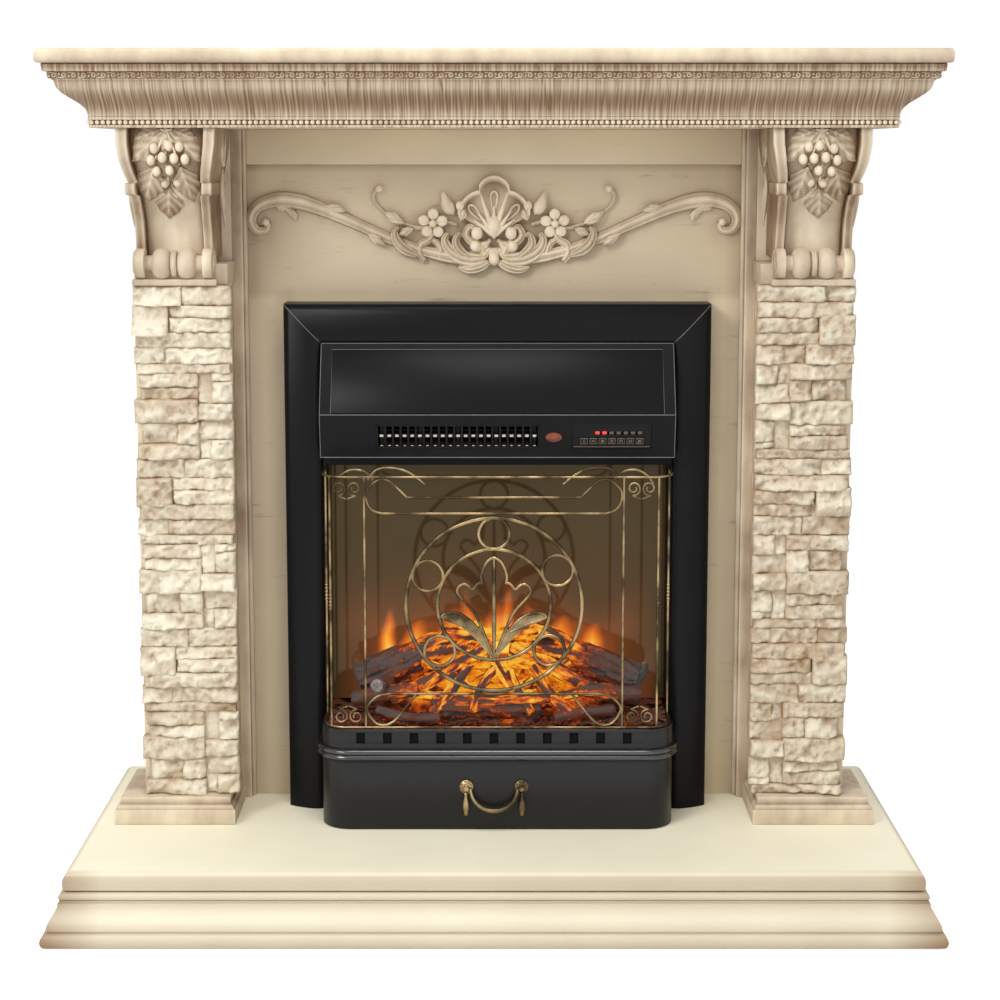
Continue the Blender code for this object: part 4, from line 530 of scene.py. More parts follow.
def smooth(points, steps=6, closed=False):
    """A smooth run through points of any number of coordinates."""
    count = len(points)
    result = []
    last = count if closed else count - 1
    for i in range(last):
        p0 = points[(i - 1) % count if closed else max(i - 1, 0)]
        p1, p2 = points[i], points[(i + 1) % count]
        p3 = points[(i + 2) % count if closed else min(i + 2, count - 1)]
        for s in range(steps):
            t = s / steps
            weights = (-0.5 * t + t * t - 0.5 * t ** 3, 1 - 2.5 * t * t + 1.5 * t ** 3,
                       0.5 * t + 2 * t * t - 1.5 * t ** 3, -0.5 * t * t + 0.5 * t ** 3)
            result.append(tuple(sum(w * c for w, c in zip(weights, values))
                                for values in zip(p0, p1, p2, p3)))
    if not closed:
        result.append(tuple(points[-1]))
    return result


def arc(centre, radius, start, end, steps):
    """Points on an arc between two angles in degrees; radius may be a pair for an ellipse."""
    wide, tall = radius if isinstance(radius, tuple) else (radius, radius)
    return [(centre[0] + wide * math.cos(a), centre[1] + tall * math.sin(a))
            for a in (math.radians(start + (end - start) * i / steps) for i in range(steps + 1))]


def tube(shape, points, radius, sides=8, closed=False, value=0.0):
    """A round wire along points; the radius in mm may be one number or one per point."""
    points = [Vector(p) for p in points]
    count = len(points)
    radii = in_mm(*([radius] * count if isinstance(radius, (int, float)) else radius))
    rings = []
    side = None
    for i, point in enumerate(points):
        before = points[(i - 1) % count if closed else max(i - 1, 0)]
        after = points[(i + 1) % count if closed else min(i + 1, count - 1)]
        along = (after - before).normalized()
        if side is None:
            side = along.orthogonal().normalized()
        side = (side - along * side.dot(along)).normalized()
        up = along.cross(side)
        rings.append([point + side * radii[i] * math.cos(2 * math.pi * k / sides)
                      + up * radii[i] * math.sin(2 * math.pi * k / sides) for k in range(sides)])
    shape.skin(rings, value, closed=closed)


def turned(shape, profile, centre, direction, steps=24, value=0.0):
    """A turned solid from (radius, height) stations in mm on an axis; a radius of 0 closes an end."""
    turn = Vector((0, 0, 1)).rotation_difference(Vector(direction)).to_matrix()
    rings = []
    for radius, height in profile:
        reach = max(radius * MM, 0.00002)
        rings.append([Vector(centre) + turn @ Vector((reach * math.cos(2 * math.pi * k / steps),
                                                      reach * math.sin(2 * math.pi * k / steps),
                                                      height * MM)) for k in range(steps)])
    shape.skin(rings, value)


GLOBES = {}


def globe(detail):
    """Points and faces of a unit icosphere."""
    if detail not in GLOBES:
        bm = bmesh.new()
        bmesh.ops.create_icosphere(bm, subdivisions=detail, radius=1.0)
        GLOBES[detail] = ([v.co.copy() for v in bm.verts],
                          [tuple(v.index for v in f.verts) for f in bm.faces])
        bm.free()
    return GLOBES[detail]


def lump(shape, centre, radii, detail=2, value=0.0, rough=0.0, seed=0, turn=None):
    """A rounded lump of radii in mm; rough shifts its points in and out by a share of its size."""
    points, faces = globe(detail)
    radii = in_mm(*radii)
    start = len(shape.points)
    for point in points:
        spot = point.copy()
        if rough:
            spot *= 1 + rough * noise.noise(point * 1.7 + Vector((seed, 0, 0)))
        spot = Vector((spot.x * radii[0], spot.y * radii[1], spot.z * radii[2]))
        if turn:
            spot = turn @ spot
        shape.add(Vector(centre) + spot, value)
    for face in faces:
        shape.faces.append(tuple(start + i for i in face))


def block(shape, low, high, ease=0.0, value=0.0, frame=None):
    """A block between two corners, its edges eased in mm."""
    low, high = Vector(low), Vector(high)
    bm = bmesh.new()
    size = Matrix.Diagonal((*(high - low), 1.0))
    bmesh.ops.create_cube(bm, size=1.0, matrix=Matrix.Translation((low + high) / 2) @ size)
    if ease:
        bmesh.ops.bevel(bm, geom=bm.edges[:], offset=ease * MM, segments=2, affect="EDGES", profile=0.5)
    if frame:
        bmesh.ops.transform(bm, matrix=frame, verts=bm.verts)
    start = len(shape.points)
    bm.verts.index_update()
    for vertex in bm.verts:
        shape.add(vertex.co, value)
    for face in bm.faces:
        shape.faces.append(tuple(start + v.index for v in face.verts))
    bm.free()


def slab(shape, across, forward, height, ease=0.0, value=0.0):
    """A block square to the panel, between pairs of limits."""
    block(shape, at(across[0], forward[1], height[0]), at(across[1], forward[0], height[1]), ease, value)


def plate(shape, frame, across, down, out, ease):
    """A block in a face's own frame, between pairs of limits in mm, its edges eased in mm."""
    low, high = zip(across, down, out)
    block(shape, in_mm(*low), in_mm(*high), ease, 0.0, frame)


def mitred(path):
    """Each path point with the vector that offsets both of its runs by one unit to the left."""
    normals = [Vector((v0 - v1, u1 - u0)).normalized() for (u0, v0), (u1, v1) in zip(path, path[1:])]
    result = []
    for i, point in enumerate(path):
        before, after = normals[max(i - 1, 0)], normals[min(i, len(normals) - 1)]
        result.append((Vector(point), (before + after) / (1 + before.dot(after))))
    return result


def moulding(shape, path, section, upright=False, by_leg=False, foot=0.0, tall=1.0):
    """Run a section of (outward, height) or (outward, height, glaze) in mm over foot along a mitred path."""
    section = [(outward * MM, foot + level * MM * tall, *rest, 0.0)[:3] for outward, level, *rest in section]
    rings = []
    for point, mitre in mitred(path):
        ring = []
        for outward, level, _ in section:
            u, v = point + mitre * outward
            ring.append(at(u, level, v) if upright else at(u, v, level))
        rings.append(ring)
    values = [value for _, _, value in section]
    if not by_leg:
        shape.skin(rings, values)
        return
    for pair_of_rings in zip(rings, rings[1:]):
        first = len(shape.points)
        shape.skin(pair_of_rings, values)
        run = pair_of_rings[1][0] - pair_of_rings[0][0]
        axis = 0 if abs(run.x) > abs(run.y) else 1
        for k in range(first, len(shape.points)):
            shape.runs[k] = shape.points[k][axis]


def sheet(shape, grid):
    """Faces over a grid of the shape's points; gives back the points round its border."""
    columns, rows = len(grid) - 1, len(grid[0]) - 1
    for i in range(columns):
        for j in range(rows):
            shape.faces.append((grid[i][j], grid[i + 1][j], grid[i + 1][j + 1], grid[i][j + 1]))
    return ([grid[i][0] for i in range(columns)] + [grid[columns][j] for j in range(rows)]
            + [grid[i][rows] for i in range(columns, 0, -1)] + [grid[0][j] for j in range(rows, 0, -1)])


def mirror(shape):
    """The same shape on the other side of the suite's middle."""
    other = Shape()
    other.points = [(-x, y, z) for x, y, z in shape.points]
    other.faces = list(shape.faces)
    other.values, other.runs = list(shape.values), list(shape.runs)
    return other


def pair(shape, name, finish_name, slot, node, sharp=38):
    """A right-hand piece and its mirror, in place of the solids of that name."""
    other = mirror(shape)
    other.made(f"{name}_left", finish_name, slot, (f"{node}_left",), sharp)
    shape.made(f"{name}_right", finish_name, slot, (f"{node}_right",), sharp)


def dress(finish_name, *nodes):
    """Give solids that look right as they are their finish."""
    for node in nodes:
        item = FRAME["nodes"][node]
        item.data.materials.clear()
        item.data.materials.append(finish(finish_name))


# Surround

def three_sides(node, inset=0.0):
    """Plan path round the left, front and right of a solid, drawn in by inset."""
    low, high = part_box(node)
    back, front = PANEL_Y - high.y, PANEL_Y - low.y - inset
    return [(low.x + inset, back), (low.x + inset, front), (high.x - inset, front),
            (high.x - inset, back)]


def board(shape, path, foot, profile):
    """A solid board whose three worked edges follow (outward, height, glaze) points in mm over foot."""
    (left, back), (_, front), (right, _), _ = path
    rings, values = [], []
    for outward, height, value in profile:
        o, z = outward * MM, foot + height * MM
        rings.append([at(left - o, back, z), at(left - o, front + o, z), at(right + o, front + o, z),
                      at(right + o, back, z)])
        values.append([value] * 4)
    shape.skin(rings, values)


class SUITE_OT_hearth(bpy.types.Operator):
    """Moulded hearth, its slab and the two column bases"""
    bl_idname = "suite.hearth"
    bl_label = "Hearth"

    def execute(self, context):
        self.base()
        self.top()
        self.column_feet()
        return {"FINISHED"}

    @staticmethod
    def base():
        """Torus, fillet, ogee, fillet and bead on three sides."""
        base = Shape()
        section = [(-46, 0, 0.5)]
        section += [(x, z, 0.66 - 0.03 * i) for i, (x, z) in enumerate(arc((-6, 8), (6, 8), -90, 90, 10))]
        section += [(-7.5, 16.4, 0.5), (-7.5, 18.6, 0.4)]
        for i in range(13):
            share = i / 12
            section.append((-6 - 11 * (share - math.sin(2 * math.pi * share) / (2 * math.pi)),
                            19 + 27 * share, 0.24 + 0.34 * abs(share - 0.45)))
        section += [(-19.5, 46.2, 0.55), (-20, 48.8, 0.6)]
        section += [(x, z, 0.42) for x, z in arc((-21, 53), (3, 3.9), -90, 90, 8)]
        section += [(-24, 57, 0.4), (-46, 57, 0.3)]
        moulding(base, three_sides("hearth_base"), section)
        base.made("hearth_moulding", "hearth_cream", "hearth_paint", ("hearth_base",))

    @staticmethod
    def top():
        """Slab with a rounded nose."""
        low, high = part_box("hearth_slab")
        top = (high.z - low.z) / MM
        profile = [(-4.5, 0, 0.6), (-2.5, 0.8, 0.5), (-0.6, 2.6, 0.3), (0, 5, 0.5)]
        profile += [(x, z, 0.52 if i < 4 else 0.52 - 0.055 * i)
                    for i, (x, z) in enumerate(arc((-11, top - 11), 11, 0, 90, 9))]
        profile.append((-30, top, 0.02))
        nosed = Shape()
        board(nosed, three_sides("hearth_slab"), low.z, profile)
        nosed.made("hearth_top", "hearth_cream", "hearth_paint", ("hearth_slab",))

    @staticmethod
    def column_feet():
        """Stepped foot round each pillar, notched at the corner post."""
        low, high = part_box("column_base_right")
        back, front = PANEL_Y - high.y, PANEL_Y - low.y
        notch, post = low.x + 5.3 * MM, back + 14 * MM
        foot = Shape()
        rise = ((0, 0, 0.5), (0, 1, 0.26), (0, 16, 0.22), (-0.3, 17, 0.2), (-0.8, 17.6, 0.6),
                (-2, 18.6, 0.5), (-3, 19.8, 0.35), (-3.7, 21.3, 0.3), (-4.2, 22.5, 0.5), (-6, 23, 0.65),
                (-6, 30, 0.26), (-6.4, 31, 0.22), (-7.4, 31.5, 0.4))
        rings, values = [], []
        for outward, height, value in rise:
            o, z = outward * MM, low.z + height * MM
            rings.append([at(x, forward, z) for x, forward in (
                (notch, back), (notch, post), (low.x - o, post), (low.x - o, front + o),
                (high.x + o, front + o), (high.x + o, back))])
            values.append([value] * 6)
        foot.skin(rings, values)
        pair(foot, "column_foot", "antique_cream", "cream_paint", "column_base")


def near(value, edge, width):
    """1 on an edge, falling to 0 a width away from it."""
    return max(0.0, 1 - abs(value - edge) / width) ** 2


SHELL_CENTRE = 764.3 * MM
FIRE_X = 4 * MM
OPENING_TOP = 645.5 * MM
TRIM_TOP = 690


def panel_glaze_and_shade(x, height, swag):
    """Glaze and painted shade over the panel: a painted shadow under the top rail, glaze and painted shade
    along its borders and round the carving, and darker low beside the fire.
    """
    across, from_fire, up = abs(x) / MM, abs(x - FIRE_X) / MM, height / MM
    # The dark line just under the top rail (near 845 mm) is a painted shadow; the darkening round the
    # carving is glaze and painted shade
    value = 0.25 * (up > TRIM_TOP) + 0.42 * near(across, 290, 22) + 0.7 * near(up, 845, 7)
    value += 0.1 * max(0.0, min(1.0, (640 - up) / 220))
    value += 0.25 * near(from_fire, 252, 12) * (up < TRIM_TOP + 10)
    value += 0.25 * near(up, TRIM_TOP - 2, 12) * (across < 258)
    level = up - SHELL_CENTRE / MM
    reach = min(math.hypot(across - sx, level - sz + 3) for sx, sz in swag)
    inside = max(0.0, 1 - math.hypot(across / 120, level / 46) ** 2)
    return value + 0.3 * max(0.0, 1 - reach / 24) ** 1.5 + 0.3 * inside ** 0.5


def marks(start, end, step):
    """Places from start up to, but not at, end, about a step apart."""
    count = max(1, round((end - start) / step))
    return [start + (end - start) * i / count for i in range(count)]


class SUITE_OT_panel(bpy.types.Operator):
    """Back panel, top rail, corner posts and the boards behind"""
    bl_idname = "suite.panel"
    bl_label = "Panel and posts"

    def execute(self, context):
        self.panel(context)
        low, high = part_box("frieze_rail")
        rail = Shape()
        slab(rail, (low.x, high.x), (PANEL_Y - high.y, PANEL_Y - low.y), (low.z, high.z), 1.2, 0.1)
        rail.made("top_rail", "aged_panel", "post_paint", ("frieze_rail",))
        self.posts()
        dress("antique_cream", "pillar_core_left", "pillar_core_right", "side_panel_left",
              "side_panel_right", "soffit_board")
        return {"FINISHED"}

    @staticmethod
    def panel(context):
        """The back panel round the fire's opening, as a fine grid that holds its glaze and painted shade."""
        low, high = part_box("back_panel")
        fire_low, fire_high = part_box("fire_chassis")
        left, right, top = fire_low.x - 3.5 * MM, fire_high.x + 3.5 * MM, OPENING_TOP
        step, hair = 10 * MM, 1e-6
        xs = marks(low.x, left, step) + marks(left, right, step) + marks(right, high.x, step) + [high.x]
        zs = marks(low.z, top, step) + marks(top, high.z, step) + [high.z]
        bm = bmesh.new()
        layer = bm.verts.layers.float.new("glaze")
        swag = [(sx, sz) for sx, sz, _, _ in SWAG] + [(0, 0), (0, 30), (30, 20), (60, 25), (90, 18)]
        grid = {}
        for i, x in enumerate(xs):
            for j, z in enumerate(zs):
                if not (left + hair < x < right - hair and z < top - hair):
                    vertex = bm.verts.new(at(x, 0, z))
                    vertex[layer] = panel_glaze_and_shade(x, z, swag)
                    grid[i, j] = vertex
        for i, j in list(grid):
            corners = [grid.get(key) for key in ((i, j), (i + 1, j), (i + 1, j + 1), (i, j + 1))]
            if all(corners) and not (left - hair < xs[i] < right - hair and zs[j] < top - hair):
                bm.faces.new(corners)
        bmesh.ops.recalc_face_normals(bm, faces=bm.faces)
        for face in bm.faces:
            if face.normal.y > 0:
                face.normal_flip()
        bmesh.ops.solidify(bm, geom=bm.faces[:], thickness=12 * MM)
        for vertex in bm.verts:
            if vertex.co.y > PANEL_Y + 6 * MM:
                vertex[layer] = 0.1
        # The rim's faces come in a different order each run, so all are put in rows from the foot up
        bm.faces.sort(key=lambda face: face.calc_center_median().dot(Vector((1, 1e3, 1e5))))
        mesh = bpy.data.meshes.new("aged_panel")
        bm.to_mesh(mesh)
        bm.free()
        mesh.materials.append(finish("aged_panel"))
        item = bpy.data.objects.new("aged_panel", mesh)
        context.scene.collection.objects.link(item)
        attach(item, SUITE)
        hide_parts("back_panel")

    @staticmethod
    def posts():
        """Corner posts with a rounded step."""
        low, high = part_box("corner_post_right")
        plan = [(0, 0.3, 0.6), (0, 4.6, 0.35), (0.4, 5.2, 0.1), (1, 6.6, 0.2), (2.2, 7.7, 0.25),
                (4.3, 8.1, 0.75), (4.5, 8.5, 0.75), (4.5, 13.3, 0.3), (5.2, 14, 0.05), (6.5, 14, 0.35),
                (10, 14, 0.5), (15.6, 14, 0.5), (16.6, 13.7, 0.2), (17, 13, 0.35), (17, 0.3, 0.6)]
        post = Shape()
        rings = [[at(low.x + x * MM, f * MM, low.z + (high.z - low.z) * share) for x, f, _ in plan]
                 for share in (0, 0.25, 0.5, 0.75, 1)]
        post.skin(rings, [value for _, _, value in plan])
        pair(post, "stepped_post", "antique_cream", "post_paint", "corner_post")


CORNICE_REACH = 42 * MM
# The carved band: middle of its height over the cornice's foot, and how far out it lies
BAND_HEIGHT = 56.1 * MM
BAND_REACH = 36 * MM


class SUITE_OT_mantel(bpy.types.Operator):
    """Brushed cornice with its pearls and carved scrolls, and the shelf"""
    bl_idname = "suite.mantel"
    bl_label = "Mantel"

    def execute(self, context):
        surround = context.scene.surround
        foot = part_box("cornice")[0].z
        path = three_sides("cornice", CORNICE_REACH)
        cornice = Shape()
        section = [(-24, 0, 0.5), (-0.8, 0, 0.5), (0, 0.7, 0.3), (0, 3, 0.3), (-0.3, 3.3, 0.7),
                   (-1.4, 3.4, 0.95), (-1.6, 8.5, 0.95), (0.5, 8.7, 0.5), (0.8, 9.2, 0.2), (0.8, 11.6, 0.25),
                   (0.2, 12.3, 0.75)]
        # The cyma's values are glaze and painted shade, darkest across its middle, where it faces down
        for i in range(17):
            share = i / 16
            outward = share - 0.85 * math.sin(2 * math.pi * share) / (2 * math.pi)
            dark = 0.42 + 0.34 * math.sin(math.pi * min(1.0, share * 1.25)) - 0.3 * max(0.0, 0.2 - share)
            section.append((0.4 + 30 * outward, 12.5 + 37.6 * share, dark))
        section += [(31, 50.3, 0.75), (32.2, 50.5, 0.3), (32.5, 51, 0.2), (32.5, 52, 0.25), (33, 52.4, 0.8),
                    (35.6, 52.5, 0.85), (36.6, 59.8, 0.85), (40.4, 60.1, 0.6), (41, 60.6, 0.4),
                    (41.6, 64, 0.7), (42, 67.6, 0.75), (41, 68.4, 0.95), (-24, 68.4, 0.4)]
        moulding(cornice, path, section, by_leg=True, foot=foot)
        cornice.made("cornice_moulding", "brushed_cornice", "cream_paint", ("cornice",))
        pearls, scrolls = Shape(), Shape()
        for place, along, out, length in self.sides(path):
            self.pearl_row(pearls, place, along, out, length, foot, surround.bead_pitch)
            self.scroll_row(scrolls, place, along, out, length, foot, surround.band_pitch)
        pearls.made("cornice_pearls", "antique_cream", "cream_paint")
        scrolls.made("cornice_scrolls", "antique_cream", "cream_paint", sharp=60)
        shelf = Shape()
        profile = [(-5, 0, 0.7), (-1.6, 0.6, 0.5), (-0.4, 2, 0.5), (0, 4, 0.46), (0, 8, 0.34),
                   (-0.1, 11.6, 0.3), (-0.5, 13, 0.3), (-1.4, 14.8, 0.2), (-3.2, 15.7, 0.12),
                   (-20, 15.7, 0.05)]
        board(shelf, three_sides("mantel_top"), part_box("mantel_top")[0].z, profile)
        shelf.made("mantel_shelf_board", "antique_cream", "cream_paint", ("mantel_top",))
        return {"FINISHED"}

    @staticmethod
    def sides(path):
        """Start, run and outward directions and length of each side of a plan path."""
        for (u0, v0), (u1, v1) in zip(path, path[1:]):
            along = Vector((u1 - u0, v1 - v0))
            length = along.length
            along.normalize()
            yield Vector((u0, v0)), along, Vector((-along.y, along.x)), length

    @staticmethod
    def pearl_row(shape, place, along, out, length, foot, pitch):
        """Pearls in the groove at the cornice's foot."""
        count = int(length / pitch)
        pitch = length / count
        for i in range(count):
            spot = place + along * pitch * (i + 0.5) + out * 0.5 * MM
            lump(shape, at(spot.x, spot.y, foot + 6 * MM), (2.5, 2.5, 2.5))

    @staticmethod
    def scroll_row(shape, place, along, out, length, foot, pitch):
        """Running scrolls, each a curl with a leaf between it and the next."""
        extent = length + BAND_REACH * (2 if abs(along.x) > 0.5 else 1)
        start = place - along * (BAND_REACH if along.x > 0.5 or along.y < 0 else 0)
        count = int(extent / pitch)
        pitch = extent / count
        for i in range(count):
            middle = start + along * pitch * (i + 0.5)
            flip = 1 if i % 2 else -1
            curl = []
            for k in range(15):
                angle = math.radians(-120 + 30 * k)
                size = (2.9 - 0.14 * k) * MM
                curl.append((1.2 * MM + size * math.cos(angle), flip * size * math.sin(angle)))
            curl = [(-4.6 * MM, -flip * 2.4 * MM), (-2.2 * MM, -flip * 2.9 * MM)] + curl
            points = []
            for run, up in curl:
                spot = middle + along * run + out * (36.6 + 0.13 * up / MM) * MM
                points.append(at(spot.x, spot.y, foot + BAND_HEIGHT + up))
            tube(shape, points, [0.75] * 12 + [0.9] * (len(points) - 12), 5, value=0.5)
            spot = middle - along * 3.4 * MM + out * 36.8 * MM
            lump(shape, at(spot.x, spot.y, foot + BAND_HEIGHT + flip * 1.2 * MM), (1.2, 1, 1.6), 1, 0.45)


# Ledgestone, across from the panel's outer edge, down from its top, and how far each stone stands out

STONES = (
    (1, 55, 0.5, 22, 20), (56, 112, 0.5, 22, 18), (0, 40, 23, 56, 24), (41, 112, 23, 36, 20),
    (43, 112, 37, 52.5, 22), (4, 111, 53.5, 70, 22), (0, 34.5, 71, 89, 14), (35.5, 112, 71, 89, 17),
    (3, 109, 90, 100, 19), (6, 72, 101, 116, 21), (8, 72, 117, 129.5, 19), (73, 88.5, 101, 134.5, 12),
    (89.5, 112, 101, 108.5, 15), (89.5, 112, 109.5, 134.5, 17), (1, 72, 130.5, 156.5, 24),
    (73, 111, 135.5, 153.5, 22), (9, 47, 157.5, 181.5, 17), (48, 73, 157.5, 181.5, 20),
    (74, 112, 154.5, 176.5, 13), (74, 86.5, 177.5, 199, 11), (87.5, 112, 177.5, 199, 19),
    (3, 73, 182.5, 199, 22),
)
STONE_WIDE = 112
STONE_TALL = 199.4
STONE_MODULES = 3
# Where a module ends when it is turned over, and how far a stone's face may stand out
STONE_TURN = 89.5
STONE_LEAST = 6.5 * MM
STONE_MOST = 25 * MM


def hewn_stone(shape, across, heights, back, depth, grain, rng, tone):
    """One split stone: broken planes on its face, a ragged arris and dark joints round it."""
    left, right = across[0] - 0.6 * MM, across[1] + 0.6 * MM
    low, high = heights[0] - 0.5 * MM, heights[1] + 0.5 * MM
    wide, tall = right - left, high - low
    columns, rows = max(5, round(wide / grain)), max(4, round(tall / grain))
    shift = Vector((rng.uniform(0, 50), rng.uniform(0, 50), rng.uniform(0, 50)))
    planes = [(rng.uniform(0, wide), rng.uniform(0, tall), rng.uniform(-0.5, 0.42),
               rng.uniform(-0.75, 0.6), rng.uniform(0, 4.5) * MM) for _ in range(8)]
    # Each stone's random stain, plus the tone passed in: painted shade that darkens the whole right pillar
    stain_and_side_shade = tone + rng.uniform(-0.1, 0.08) + (0.22 if rng.random() < 0.14 else 0.0)
    lean = rng.uniform(-0.07, 0.07)
    grid = []
    for i in range(columns + 1):
        line = []
        for j in range(rows + 1):
            x, z = wide * i / columns, tall * j / rows
            place = Vector((left + x, 0, low + z)) * 90 + shift
            ragged = noise.noise(place * 0.9) * 1.6 * MM
            border = min(x, wide - x, z, tall - z)
            face = min(lift + gx * (x - cx) + gz * (z - cz) for cx, cz, gx, gz, lift in planes)
            face = max(face, -7 * MM)
            chips = noise.fractal(place * 1.5, 0.7, 2.1, 5) * 3.4 * MM
            ridges = abs(noise.noise(place * 0.8)) * 5.5 * MM
            arris = (1.5 + 1.4 * noise.noise(place * 0.7)) * MM
            fall = max(0.0, 1 - border / max(arris, 0.8 * MM)) ** 2
            out = depth + face + chips - ridges + lean * (z - tall / 2) - 1.7 * MM * fall
            out = min(max(out, STONE_LEAST), STONE_MOST)
            px = left + x + ragged * (0.5 if 0 < i < columns else 0.35)
            pz = low + z + noise.noise(place * 0.8 + Vector((9, 9, 9))) * 1.0 * MM
            pz = min(max(pz, low - 0.2 * MM), high + 0.2 * MM)
            deep = min(1.0, max(0.0, (depth - out) / (10 * MM)))
            value = stain_and_side_shade + 0.14 * fall + 0.42 * deep ** 1.3 + 0.25 * max(0.0, -chips / (3.4 * MM))
            line.append(shape.add(at(px, back + out, pz), value))
        grid.append(line)
    border = sheet(shape, grid)
    skirt = [shape.add((shape.points[k][0], PANEL_Y - back - 1 * MM, shape.points[k][2]), 1.0)
             for k in border]
    middle = shape.add(at((left + right) / 2, back + 1 * MM, (low + high) / 2), 1.0)
    for k in range(len(border)):
        after = (k + 1) % len(border)
        shape.faces.append((border[k], skirt[k], skirt[after], border[after]))
        shape.faces.append((skirt[k], middle, skirt[after]))


class SUITE_OT_stones(bpy.types.Operator):
    """Split ledgestone on both pillars"""
    bl_idname = "suite.stones"
    bl_label = "Ledgestone"

    def execute(self, context):
        grain = context.scene.surround.stone_grain * 1
        for side, turned_over in (("left", False), ("right", True)):
            node = f"stone_cladding_{side}"
            low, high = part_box(node)
            back = PANEL_Y - high.y
            rng = random.Random(11 if turned_over else 5)
            wall = Shape()
            margin = 7 * MM
            slab(wall, (low.x + margin, high.x - margin), (back, back + 6 * MM), (low.z, high.z), 0.0, 0.7)
            wide, tall = high.x - low.x, high.z - low.z
            for module in range(-1, STONE_MODULES + 1):
                for a, b, top, bottom, depth in STONES:
                    if turned_over:
                        a, b = STONE_WIDE - b, STONE_WIDE - a
                        top, bottom = STONE_TURN - bottom, STONE_TURN - top
                    top = (top + module * STONE_TALL) / (STONE_TALL * STONE_MODULES)
                    bottom = (bottom + module * STONE_TALL) / (STONE_TALL * STONE_MODULES)
                    top, bottom = max(top, 0.0008), min(bottom, 0.9992)
                    if (bottom - top) * tall < 3 * MM:
                        continue
                    across = (max(low.x + wide * a / STONE_WIDE, low.x + 0.3 * MM),
                              min(low.x + wide * b / STONE_WIDE, high.x - 0.3 * MM))
                    # The right pillar's stones get more painted shade, as the side away from the key light
                    hewn_stone(wall, across, (high.z - bottom * tall, high.z - top * tall), back,
                               (depth + 1) * MM, grain, rng, 0.16 if turned_over else 0.02)
            wall.made(f"ledgestone_{side}", "ledgestone", "cast_stone", (node,), sharp=70)
        return {"FINISHED"}


# Corbels

CORBEL_CENTRE = 363.5 * MM
CORBEL_TOP = 887.3 * MM
CORBEL_BACK = 14.3 * MM
CORBEL_FOOT = 710.7 * MM
VOLUTE = (91 * MM, 735 * MM)

# What follows is in mm: drops are from the corbel's top, and places across from its middle
CORBEL_HALF = 55
BAND_INNER = 42
BAND_DEPTH = 13
FIELD_HALF = 43
# Forward place of the bands at each drop: a belly, then a long hollow
BELLY = smooth(((0, 140), (14, 142.5), (30, 143), (42, 139), (52, 131), (60, 122), (75, 118), (84, 110),
                (98, 102), (114, 95), (131, 91), (146, 89.5)), 4)
# The step that each band has in place of the belly between its first and last drop
STEP = ((60.6, 122.5), (61, 126.4), (62, 127.4), (67, 127.6), (72, 127), (73.2, 125.4), (74, 119.5))
# Across a band from its inner side, back from its front, and glaze
BAND = ((0, 12, 0.8), (0, 2, 0.4), (0.6, 0.5, 0.1), (2, 0, 0.16), (5, 0.9, 0.42), (8, 0.9, 0.42),
        (11, 0, 0.16), (12.4, 0.5, 0.05), (13, 2, 0.3), (13, 10, 0.5))
# Share by which the corbel is narrower at each drop
NARROWING = ((0, 0), (18, 0.01), (38, 0.07), (60, 0.17), (60.8, 0.12), (73.5, 0.12), (75, 0.19),
             (100, 0.21), (160, 0.2))
ROLL = ((0, 0), (12, 0), (14, -0.6), (17, -1), (17.5, -2), (17.5, -13), (16.8, -14.4), (12, -15), (0, -15))
# Grapes as (across, drop), and leaves as base, tip, half width and bow
GRAPES = ((-15, 20), (-3, 19), (13, 22), (-21, 34), (-9, 33), (4, 32), (17, 35), (-3, 46), (12, 47),
          (-9, 59), (5, 60))
CLUSTER_LEAVES = (((-2, 2), (-38, 36), 16, 2), ((2, 2), (38, 36), 17, 2), ((-14, 40), (-25, 82), 14, 3),
                  ((14, 40), (29, 82), 16, 3), ((1, 64), (5, 101), 16, 3), ((6, 1), (35, 13), 10, 1.5),
                  ((-6, 1), (-33, 13), 10, 1.5), ((0, 0), (2, 28), 14, 3))


def along_run(stations, place):
    """The value at a place of a run of (place, value) stations."""
    for (p0, v0), (p1, v1) in zip(stations, stations[1:]):
        if place <= p1:
            return v0 + (v1 - v0) * (place - p0) / (p1 - p0)
    return stations[-1][1]


def upright_strip(shape, stations, cross):
    """A strip down the corbel: a ring of (across, back, glaze) points at each (drop, forward)."""
    rings, values = [], []
    for drop, forward in stations:
        height = CORBEL_TOP - drop * MM
        ring = [at(CORBEL_CENTRE + x * MM, (forward - back) * MM, height) for x, back, _ in cross]
        ring.insert(0, at(ring[0].x, CORBEL_BACK, height))
        ring.append(at(ring[-1].x, CORBEL_BACK, height))
        rings.append(ring)
        values.append([0.6] + [value for _, _, value in cross] + [0.6])
    shape.skin(rings, values)


